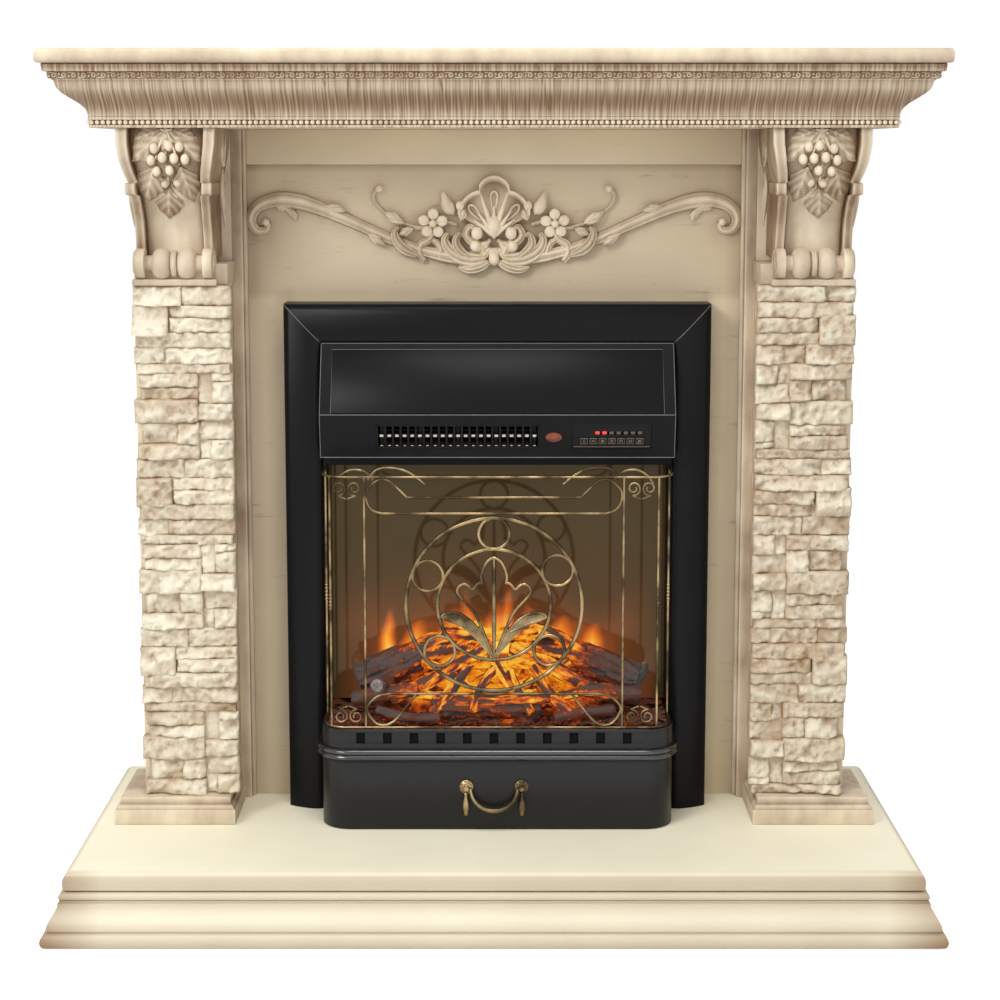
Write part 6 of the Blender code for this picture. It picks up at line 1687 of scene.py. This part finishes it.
# Branches over the heap: two ends (across, forward, height), radius and glow at each end
BRANCHES = (
    (-10, 68, 280, -122, 92, 226, 8, 0.9, 0.35), (20, 70, 282, 130, 90, 228, 8, 0.9, 0.3),
    (-30, 80, 262, -72, 106, 212, 6.5, 0.85, 0.5), (45, 80, 262, 92, 106, 212, 6.5, 0.85, 0.45),
    (2, 84, 262, -26, 110, 216, 5.5, 0.95, 0.6), (18, 84, 258, 44, 112, 214, 5.5, 0.95, 0.6),
    (-166, 78, 222, -88, 98, 240, 9, 0.05, 0.55), (172, 76, 226, 98, 98, 240, 9, 0.05, 0.5),
    (-62, 58, 296, 52, 64, 302, 8, 0.75, 0.85), (-98, 56, 276, -16, 60, 310, 6.5, 0.5, 0.95),
    (108, 56, 276, 30, 60, 310, 6.5, 0.45, 0.95), (-138, 98, 214, -62, 110, 208, 6, 0.1, 0.28),
    (142, 98, 214, 70, 110, 208, 6, 0.1, 0.28), (-48, 100, 226, 66, 102, 230, 6.5, 0.6, 0.5),
    (-112, 84, 240, -52, 94, 228, 6, 0.4, 0.8), (122, 84, 240, 60, 94, 228, 6, 0.35, 0.75),
    (-6, 76, 292, 24, 96, 236, 5, 1.0, 0.8), (-84, 72, 266, -30, 86, 240, 5.5, 0.6, 0.9),
    (90, 72, 266, 36, 86, 240, 5.5, 0.6, 0.9), (-124, 72, 238, -136, 102, 244, 10, 0.2, 0.1),
)


class SUITE_OT_fuel(bpy.types.Operator):
    """Smoked screen, the glowing bed and its logs"""
    bl_idname = "suite.fuel"
    bl_label = "Fuel and flames"

    def execute(self, context):
        self.screen()
        dress("crinkled_foil", "flame_reflector", "flicker_spindle")
        dress("frosted_glass", "lamp_bar")
        self.bed(context.scene.fire)
        self.logs()
        return {"FINISHED"}

    @staticmethod
    def flame(x, height):
        """Glow of the flames at a place on the screen."""
        best = 0.0
        for middle, tall, half in TONGUES:
            share = (height - FLAME_FOOT) / (tall * MM)
            if 0 <= share < 1:
                bend = (5 * math.sin(share * 4 + middle) + 2 * math.sin(share * 11 + 2 * middle)) * share
                reach = half * (1 - share) ** 0.6 + 3
                best = max(best, (1 - abs(x / MM - middle - bend) / reach) * (1 - share) * 0.74)
        spread = max(0.0, 1 - ((x - FIRE_X) / (195 * MM)) ** 2)
        haze = 0.46 * spread ** 0.5 * math.exp(-max(0.0, height - 290 * MM) / (36 * MM))
        sway = 0.75 + 0.5 * noise.noise(Vector((x * 24, height * 14, 0)))
        return min(1.0, max(best, 0.0) ** 0.8 + haze * sway)

    def screen(self):
        """Pane with the flames' glow on its front."""
        low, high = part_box("flame_screen")
        glass = Shape()
        columns, rows = 136, 90
        grid = []
        for i in range(columns + 1):
            x = low.x + (high.x - low.x) * i / columns
            levels = [low.z + (high.z - low.z) * j / rows for j in range(rows + 1)]
            grid.append([glass.add((x, low.y, z), self.flame(x, z)) for z in levels])
        rim = sheet(glass, grid)
        behind = [glass.add((glass.points[k][0], high.y, glass.points[k][2])) for k in rim]
        for k in range(len(rim)):
            after = (k + 1) % len(rim)
            glass.faces.append((rim[k], behind[k], behind[after], rim[after]))
        glass.faces.append(tuple(behind))
        glass.made("smoked_glass", "smoked_mirror", "smoked_screen", ("flame_screen",), 38, "ember_heat")

    @staticmethod
    def mound(x, forward):
        """Height of the bed's surface over its top at a place."""
        across = (x - FIRE_X) / HEAP_HALF
        deep = (forward - HEAP_FORWARD) / HEAP_DEEP
        if abs(across) >= 1 or abs(deep) >= 1:
            return 0.0
        return HEAP_TALL * (1 - across ** 2) ** 0.7 * math.sqrt(1 - deep ** 2)

    def bed(self, fire):
        """A glowing heap on a woven bed, with embers and chips strewn on it."""
        low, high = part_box("ember_bed")
        tray = Shape()
        plan = bay_path(202 * MM, 127 * MM, 31 * MM, -14 * MM)
        tray.skin([[at(x, f, z) for x, f in plan] for z in (low.z, BED_TOP - 2 * MM)])
        tray.made("bed_tray", "dark_inside", "glowing_bed")
        bed = Shape()
        columns, rows = 150, 52
        span = high.x - low.x - 6 * MM
        grid = []
        for i in range(columns + 1):
            line = []
            for j in range(rows + 1):
                x = low.x + 3 * MM + span * i / columns
                forward = -12 * MM + 137 * MM * j / rows
                past = (max(0.0, abs(x - FIRE_X) - 169 * MM), max(0.0, forward - 94 * MM))
                forward -= max(0.0, math.hypot(*past) - 30 * MM)
                rise = self.mound(x, forward)
                place = Vector((x * 70, forward * 70, 0))
                rough = noise.fractal(place, 0.9, 2.0, 5) * 3.5 * MM
                hot = min(1.0, rise / (36 * MM)) * (0.8 + 0.5 * noise.noise(place * 0.5))
                weave = math.sin((x + forward) * 900) * math.sin((x - forward) * 900)
                front = max(0.0, min(1.0, (forward - 78 * MM) / (14 * MM)))
                z = BED_TOP - 1.5 * MM + rise - 4 * MM * (rise > 0)
                z += rough * (1 - 0.5 * front) + weave * 0.8 * MM * front
                near_heat = 0.1 * max(0.0, 1 - ((x - FIRE_X) / (150 * MM)) ** 2)
                dim = near_heat + 0.19 + 0.16 * noise.noise(place * 0.8)
                line.append(bed.add(at(x, forward, z), max(dim, hot)))
            grid.append(line)
        sheet(bed, grid)
        self.strew(bed, low, high, fire.ember_count)
        bed.made("ember_mound", "glowing_fuel", "glowing_bed", ("ember_bed",), 60, "ember_heat")

    def strew(self, bed, low, high, embers):
        """Embers over the heap and chips along the front of the bed."""
        rng = random.Random(21)
        for _ in range(embers):
            x = FIRE_X + rng.gauss(0, 60) * MM
            x = max(low.x + 14 * MM, min(high.x - 14 * MM, x))
            forward = rng.uniform(10, 100) * MM
            rise = self.mound(x, forward)
            glow = 0.3 + rise / HEAP_TALL * 0.6 + rng.uniform(-0.3, 0.25) - abs(x - FIRE_X) / (260 * MM)
            size = rng.uniform(3.0, 7.0)
            turn = Matrix.Identity(3)
            for limits, axis in (((0, 3.1), "Z"), ((-0.6, 0.6), "X"), ((-0.7, 0.7), "Y")):
                turn = turn @ Matrix.Rotation(rng.uniform(*limits), 3, axis)
            place = at(x, forward, BED_TOP + rise + rng.uniform(-2, 6) * MM)
            radii = (size * rng.uniform(1.4, 4), size * 0.75, size * 0.6)
            lump(bed, place, radii, 2, max(0.05, min(1.0, glow)), 0.8, rng.uniform(0, 90), turn)
        for _ in range(CHIPS):
            x = rng.uniform(low.x + 14 * MM, high.x - 14 * MM)
            forward = rng.uniform(80, 116) * MM
            lean = rng.choice((0.8, -0.8, 2.3)) + rng.uniform(-0.2, 0.2)
            run = Vector((math.cos(lean), math.sin(lean))) * rng.uniform(4, 9) * MM
            lift = BED_TOP + rng.uniform(0.4, 3.0) * MM
            ends = [at(x - run.x, forward - run.y, lift), at(x + run.x, forward + run.y, lift + 0.6 * MM)]
            tube(bed, ends, rng.uniform(0.7, 1.4), 5, value=rng.choice((0.0, 0.14, 0.2, 0.26, 0.32)))

    @staticmethod
    def log(shape, path, radius, seed, heat, sides=64, steps=26):
        """A log of split bark along a bent path; heat is the glow at each of the path's points."""
        stations = [(*point, level) for point, level in zip(path, heat)]
        stations = smooth(stations, steps)
        rings, values, gone = [], [], 0.0
        last = len(stations) - 1
        for i, (px, py, pz, level) in enumerate(stations):
            point = Vector((px, py, pz))
            before, after = Vector(stations[max(i - 1, 0)][:3]), Vector(stations[min(i + 1, last)][:3])
            gone += (point - before).length
            along = (after - before).normalized()
            side = along.cross(Vector((0, 0, 1))).normalized()
            over = side.cross(along)
            end = min(1.0, min(i, last - i) / 2 + 0.72)
            ring, row = [], []
            for k in range(sides):
                angle = 2 * math.pi * k / sides + 0.8 * math.sin(gone / (40 * MM) + seed)
                around = Vector((math.cos(angle), math.sin(angle), 0)) * radius / (5.5 * MM)
                place = around + Vector((seed, seed * 0.7, gone / (26 * MM)))
                fibre, fine = noise.noise(place), noise.noise(place * 2.3)
                crack = max(0.0, 1 - abs(fibre) / 0.11)
                out = radius * end * (1 + 0.2 * fibre + 0.09 * fine - 0.12 * crack)
                ring.append(point + side * out * math.cos(angle) + over * out * math.sin(angle))
                glow = level * (0.56 + 1.25 * fibre + 0.7 * fine) + 0.45 * crack * (0.1 + level)
                row.append(max(0.0, min(1.0, glow)))
            rings.append(ring)
            values.append(row)
        shape.skin(rings, values)

    def logs(self):
        """Three logs, the branches over the heap and two sawn ends."""
        for name, seed in (("log_left", 3), ("log_right", 7), ("log_front", 5)):
            low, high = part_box(name)
            mid = PANEL_Y - (high.y + low.y) / 2
            log = Shape()
            if name == "log_front":
                radius, heat = 13 * MM, (0.12, 0.36, 0.14)
                level = low.z + radius
                path = [at(low.x + 1 * MM, mid, level), at((low.x + high.x) / 2, mid, level + 2 * MM),
                        at(high.x - 1 * MM, mid, level)]
            else:
                outer, inner = (low.x, high.x) if name == "log_left" else (high.x, low.x)
                way = 1 if name == "log_left" else -1
                radius, heat = 21 * MM, (0.0, 0.3, 0.8, 0.95)
                path = [at(outer + way * 9 * MM, mid + 7 * MM, low.z + radius + 3 * MM),
                        at(outer + way * 60 * MM, mid + 3 * MM, low.z + 45 * MM),
                        at(outer + way * 115 * MM, mid, high.z - radius - 4 * MM),
                        at(inner - way * 8 * MM, mid - 3 * MM, high.z - radius)]
            self.log(log, path, radius, seed, heat)
            log.made(f"{name}_bark", "glowing_fuel", "log_bark", (name,), 70, "ember_heat")
        branches = Shape()
        rng = random.Random(8)
        for x0, f0, z0, x1, f1, z1, radius, hot, cool in BRANCHES:
            middle = [(a + b) / 2 + rng.uniform(-5, 5) for a, b in ((x0, x1), (f0, f1), (z0, z1))]
            path = [at(x * MM, f * MM, z * MM) for x, f, z in ((x0, f0, z0), middle, (x1, f1, z1))]
            heat = (hot, (hot + cool) / 2 + 0.1, cool)
            self.log(branches, path, radius * MM, rng.uniform(0, 60), heat, 30, 14)
        branches.made("heap_branches", "glowing_fuel", "log_bark", (), 70, "ember_heat")
        ends = Shape()
        for centre, way, radius in (((-136.6, 103, 244.2), (-0.37, -0.91, 0.18), 7.6),
                                    ((176, 40, 240), (0.8, -0.5, -0.3), 17)):
            profile = ((0, -2), (radius, -2), (radius, 0), (radius * 0.8, 0.5), (0, 0.6))
            turned(ends, profile, at(*in_mm(*centre)), way)
        ends.made("sawn_ends", "sawn_end", "log_bark")


# Guard and handle

GUARD_FORWARD = 127 * MM
WIRE = 1.5
INNER_RING = 65
# Wires of the guard and its tulip, across and up, in mm; a tulip wire may come in a pair
ARCHES = (((183, 480), (178, 492), (165, 501), (149, 500), (138, 490)),
          ((144, 490), (135, 501), (121, 504), (103, 501), (90, 494), (79, 485)))
TULIP_WIRES = (
    (((-13.5, 89.5), (-14.5, 100), (-9, 114), (0, 120), (9, 114), (14.5, 100), (13.5, 89.5)), False),
    (((-13.5, 90.5), (-18.7, 89.7), (-24.6, 83.2), (-30, 88), (-36, 89.2), (-42, 83.8), (-40, 76),
      (-25, 59), (-17.6, 46), (-1, 4)), True),
    (((-19, 33), (-38, 41.7), (-60.5, 51), (-45.6, 56), (-29.5, 48), (-18, 36)), True),
)
PETAL = smooth(((0.5, 2), (8, 22), (20, 40), (34, 50), (50, 54), (60, 50.5), (48, 47), (36, 38), (24, 28),
                (12, 14)), 4, True)
HINGE_HEIGHT = 132.3 * MM
# Turned profiles of the drawer's handle, as (radius, height) in mm
ROSETTE = ((0, 7), (1.8, 6.9), (3, 6.2), (3.3, 5.2), (3.1, 4.4), (4.4, 4), (5.6, 3.6), (6, 3), (7.6, 2.8),
           (8.4, 1.8), (8.5, 0), (0, 0))
DROP = ((0, 0), (1.8, -1), (2.6, -3), (1.8, -5), (2.2, -7), (3.4, -11), (4.2, -17), (3.8, -21), (2.6, -24),
        (2.9, -26), (1.8, -28.4), (0, -29))


class SUITE_OT_guard(bpy.types.Operator):
    """Wire guard, its medallion and the drawer's handle"""
    bl_idname = "suite.guard"
    bl_label = "Guard and handle"

    def execute(self, context):
        self.guard()
        self.medallion()
        self.handle()
        return {"FINISHED"}

    @staticmethod
    def front(points):
        """Places on the guard's front, across and up in mm."""
        return [at(x * MM, GUARD_FORWARD, z * MM) for x, z in points]

    def wire(self, shape, points, radius=1.7, steps=5):
        """A wire that runs smoothly through places on the guard's front."""
        tube(shape, self.front(smooth(points, steps)), radius)

    def guard(self):
        """Two rails round the bay, joined by uprights, scrolls and loops."""
        low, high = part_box("wire_guard")
        foot, top = low.z + WIRE * MM, high.z - WIRE * MM
        guard = Shape()
        plan = bay_path(201 * MM, GUARD_FORWARD, 28 * MM, 50.8 * MM, 8)
        for height in (foot, top):
            tube(guard, [at(x, f, height) for x, f in plan], WIRE)
        for side in (-1, 1):
            uprights = ((side * 148, 127), (side * 188, 122.2 + side * 2.5), (4 + side * 201, 66))
            for x, f in uprights:
                tube(guard, [at(x * MM, f * MM, foot), at(x * MM, f * MM, top)], WIRE)
                if abs(x) > 180:
                    for k in range(5):
                        z = (foot + top) / 2 + (k - 2) * 4.2 * MM
                        lump(guard, at(x * MM, f * MM, z), (2.4, 2.4, 1.9))
            self.scrolls(guard, side, foot / MM, top / MM)
            for arch in ARCHES:
                tube(guard, [at(side * x * MM, 117 * MM, z * MM) for x, z in smooth(arch, 5)], 1.6)
        self.loops(guard, foot / MM, top / MM)
        guard.made("guard_wires", "aged_brass", "antique_brass", ("wire_guard",), 60)

    def scrolls(self, guard, side, foot, top):
        """A heart of two curled wires in each narrow bay, upright above and below."""
        for centre, flip in ((top - 13, 1), (foot + 13, -1)):
            for hand in (-1, 1):
                curl = []
                for k in range(20):
                    way = heading(-100 + 26 * k) * 8.4 * (1 - 0.035 * k)
                    curl.append((side * 168 + hand * (8.9 - way.x * 0.98), centre + flip * way.y))
                self.wire(guard, [(side * 168 + hand * 0.8, centre - flip * 12.2)] + curl, 1.2, steps=2)

    def loops(self, guard, foot, top):
        """The long loop under the top rail and the line with a teardrop at each end below."""
        high = top - 24.8 + 1.5
        lower = high - 18.7
        end, crown = 145.6, top - 2.4
        half = [(99, high), (108, high + 9), (118, crown - 3), (128, crown), (138, crown - 5),
                (end, crown - 15), (end - 1, lower + 13), (end - 7, lower + 4), (128, lower)]
        run = smooth(half, 5)
        other = [(-x, z) for x, z in reversed(run)]
        tube(guard, self.front(run + other), WIRE, closed=True)
        line = foot + 40
        tube(guard, self.front([(-121, line), (121, line)]), WIRE)
        dip = foot + 2
        drop = [(119, line), (134, line - 3), (end, line - 14), (end - 1, line - 24), (136, dip + 3),
                (125, dip + 1), (114, dip + 7), (101, line - 15), (90, line - 0.5)]
        for side in (-1, 1):
            self.wire(guard, [(side * x, z) for x, z in drop])

    def medallion(self):
        """Two rings with small ones between them round a tulip of wire."""
        low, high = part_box("guard_medallion")
        medal = Shape()
        centre = (low.z + high.z) / 2 / MM
        radius = (high.z - low.z) / 2 / MM - 2
        tube(medal, self.front(arc((0, centre), radius, 0, 357, 96)), 2.4, closed=True)
        tube(medal, self.front(arc((0, centre), INNER_RING, 0, 356, 72)), 2.3, closed=True)
        small = (radius - INNER_RING) / 2 - 0.4
        for angle in (90, 156, 29, 221, 320):
            way = heading(angle) * (radius + INNER_RING) / 2
            ring = arc((way.x, centre + way.y), small, 0, 350, 36)
            tube(medal, self.front(ring), 2.0, closed=True)
        foot = centre - INNER_RING
        stem = [(0, foot + rise) for rise in (0, 40, 90, 120.5)]
        tube(medal, self.front(stem), (1.4, 2.6, 2.2, 1.2))
        for points, paired in TULIP_WIRES:
            for side in ((1, -1) if paired else (1,)):
                self.wire(medal, [(side * x, foot + z) for x, z in points], 1.9)
        for side in (-1, 1):
            petal = self.front([(side * x, foot + z) for x, z in PETAL])
            medal.skin([[p + Vector((0, thick, 0)) for p in petal] for thick in in_mm(0.9, -0.9)])
        medal.made("guard_tulip", "aged_brass", "antique_brass", ("guard_medallion",), 60)

    @staticmethod
    def handle():
        """A petalled rosette with a turned drop at each side, and the bail between them."""
        for name, side in (("left", -1), ("right", 1)):
            node = f"handle_rosette_{name}"
            x, z = side * 32 * MM, HINGE_HEIGHT
            rose = Shape()
            turned(rose, ROSETTE, at(x, 131.3 * MM, z), (0, -1, 0), 40)
            for bead in range(10):
                way = heading(36 * bead) * 6.6 * MM
                lump(rose, at(x + way.x, 134 * MM, z + way.y), (1.5, 1, 1.5), 1)
            turned(rose, DROP, at(side * 32.5 * MM, 135.7 * MM, z - 5 * MM), (0, 0, 1), 24)
            tube(rose, [at(x, 131.5 * MM, z), at(x, 142.2 * MM, z)], 2.6, 16)
            rose.made(f"handle_rose_{name}", "aged_brass", "antique_brass", (node,), 50, body=body_of(node))
        bail = Shape()
        points, radii = [], []
        for k in range(49):
            angle = math.pi * k / 48
            height = HINGE_HEIGHT - 27 * math.sin(angle) * MM
            points.append(at(-27.1 * math.cos(angle) * MM, 139.3 * MM, height))
            radii.append(2.0 + 0.7 * math.sin(angle) ** 4)
        tube(bail, points, radii, 12)
        bail.made("drawer_bail", "aged_brass", "antique_brass", ("bail_handle",), 60,
                  body=body_of("bail_handle"))


# Stage

class SUITE_OT_stage(bpy.types.Operator):
    """White floor, soft studio lamps and the camera"""
    bl_idname = "suite.stage"
    bl_label = "Stage"

    def execute(self, context):
        stage = context.scene.stage_light
        mesh = bpy.data.meshes.new("studio_floor")
        corners = ((-9, -9), (9, -9), (9, 9), (-9, 9))
        mesh.from_pydata([(x, y, -0.0005) for x, y in corners], [], [(0, 1, 2, 3)])
        mesh.materials.append(self.white_floor())
        floor = bpy.data.objects.new("studio_floor", mesh)
        context.scene.collection.objects.link(floor)
        self.room(stage.air)
        self.lamp("key", (-1.9, -2.3, 2.3), 1.2, stage.key_power)
        self.lamp("top", (0.0, -0.9, 2.6), 1.2, stage.top_power)
        self.lamp("fill", (1.0, -3.2, 1.1), 2.4, stage.fill_power)
        data = bpy.data.cameras.new("camera")
        data.lens, data.sensor_width = 71.6, 36
        data.shift_x, data.shift_y = 0.006, -0.0802
        camera = bpy.data.objects.new("camera", data)
        camera.location = (0, PANEL_Y - 2.3589, 0.8644)
        camera.rotation_euler = (math.radians(82.249), 0, 0)
        context.scene.collection.objects.link(camera)
        context.scene.camera = camera
        context.scene.view_settings.view_transform = "Standard"
        return {"FINISHED"}

    @staticmethod
    def lamp(name, place, size, power):
        """A round soft lamp that looks at the middle of the suite."""
        data = bpy.data.lights.new(name, "AREA")
        data.shape, data.size, data.energy = "DISK", size, power
        lamp = bpy.data.objects.new(name, data)
        lamp.location = place
        aim = Vector((0, 0, 0.45)) - Vector(place)
        lamp.rotation_euler = aim.to_track_quat("-Z", "Y").to_euler()
        bpy.context.scene.collection.objects.link(lamp)

    @staticmethod
    def shown(tree):
        """1 for rays from the camera, mirrors and glass."""
        path = tree.nodes.new("ShaderNodeLightPath")
        seen = path.outputs["Is Camera Ray"]
        for ray in ("Is Glossy Ray", "Is Transmission Ray"):
            either = tree.nodes.new("ShaderNodeMath")
            either.operation = "MAXIMUM"
            tree.links.new(seen, either.inputs[0])
            tree.links.new(path.outputs[ray], either.inputs[1])
            seen = either.outputs[0]
        return seen

    def white_floor(self):
        """Matt white that glows a little for the camera alone."""
        material = bpy.data.materials.new("white_floor")
        material.use_nodes = True
        tree = material.node_tree
        shader = tree.nodes["Principled BSDF"]
        shader.inputs["Base Color"].default_value = (0.9, 0.9, 0.9, 1)
        shader.inputs["Roughness"].default_value = 0.9
        shader.inputs["Emission Color"].default_value = (1, 1, 1, 1)
        scale = tree.nodes.new("ShaderNodeMath")
        scale.operation = "MULTIPLY"
        scale.inputs[1].default_value = 0.6
        tree.links.new(self.shown(tree), scale.inputs[0])
        tree.links.new(scale.outputs[0], shader.inputs["Emission Strength"])
        return material

    def room(self, air):
        """White surroundings, dimmer as a source of light than as a backdrop."""
        world = bpy.data.worlds.new("room")
        bpy.context.scene.world = world
        world.use_nodes = True
        tree = world.node_tree
        back = tree.nodes["Background"]
        back.inputs["Color"].default_value = (1, 1, 1, 1)
        share = tree.nodes.new("ShaderNodeMapRange")
        share.inputs["To Min"].default_value = air
        share.inputs["To Max"].default_value = 1.0
        tree.links.new(self.shown(tree), share.inputs["Value"])
        tree.links.new(share.outputs[0], back.inputs["Strength"])


OPERATORS = (SUITE_OT_hearth, SUITE_OT_panel, SUITE_OT_mantel, SUITE_OT_stones, SUITE_OT_corbels,
             SUITE_OT_ornament, SUITE_OT_casing, SUITE_OT_controls, SUITE_OT_fuel, SUITE_OT_guard,
             SUITE_OT_stage)


class SUITE_PT_panel(bpy.types.Panel):
    """Sizes, colours and build steps of the fireplace suite"""
    bl_idname = "SUITE_PT_panel"
    bl_label = "Fireplace suite"
    bl_space_type = "VIEW_3D"
    bl_region_type = "UI"
    bl_category = "Fireplace"

    def draw(self, context):
        for settings in (context.scene.surround, context.scene.fire, context.scene.stage_light):
            box = self.layout.box()
            for name in settings.__annotations__:
                box.prop(settings, name)
        for operator in OPERATORS:
            self.layout.operator(operator.bl_idname)


CLASSES = (SurroundSettings, FireSettings, StageSettings) + OPERATORS + (SUITE_PT_panel,)


def register():
    for item in CLASSES:
        bpy.utils.register_class(item)
    bpy.types.Scene.surround = PointerProperty(type=SurroundSettings)
    bpy.types.Scene.fire = PointerProperty(type=FireSettings)
    bpy.types.Scene.stage_light = PointerProperty(type=StageSettings)


def unregister():
    for name in ("surround", "fire", "stage_light"):
        delattr(bpy.types.Scene, name)
    for item in reversed(CLASSES):
        bpy.utils.unregister_class(item)


def main():
    register()
    for operator in OPERATORS:
        group, name = operator.bl_idname.split(".")
        getattr(getattr(bpy.ops, group), name)()


if __name__ == "__main__":
    main()
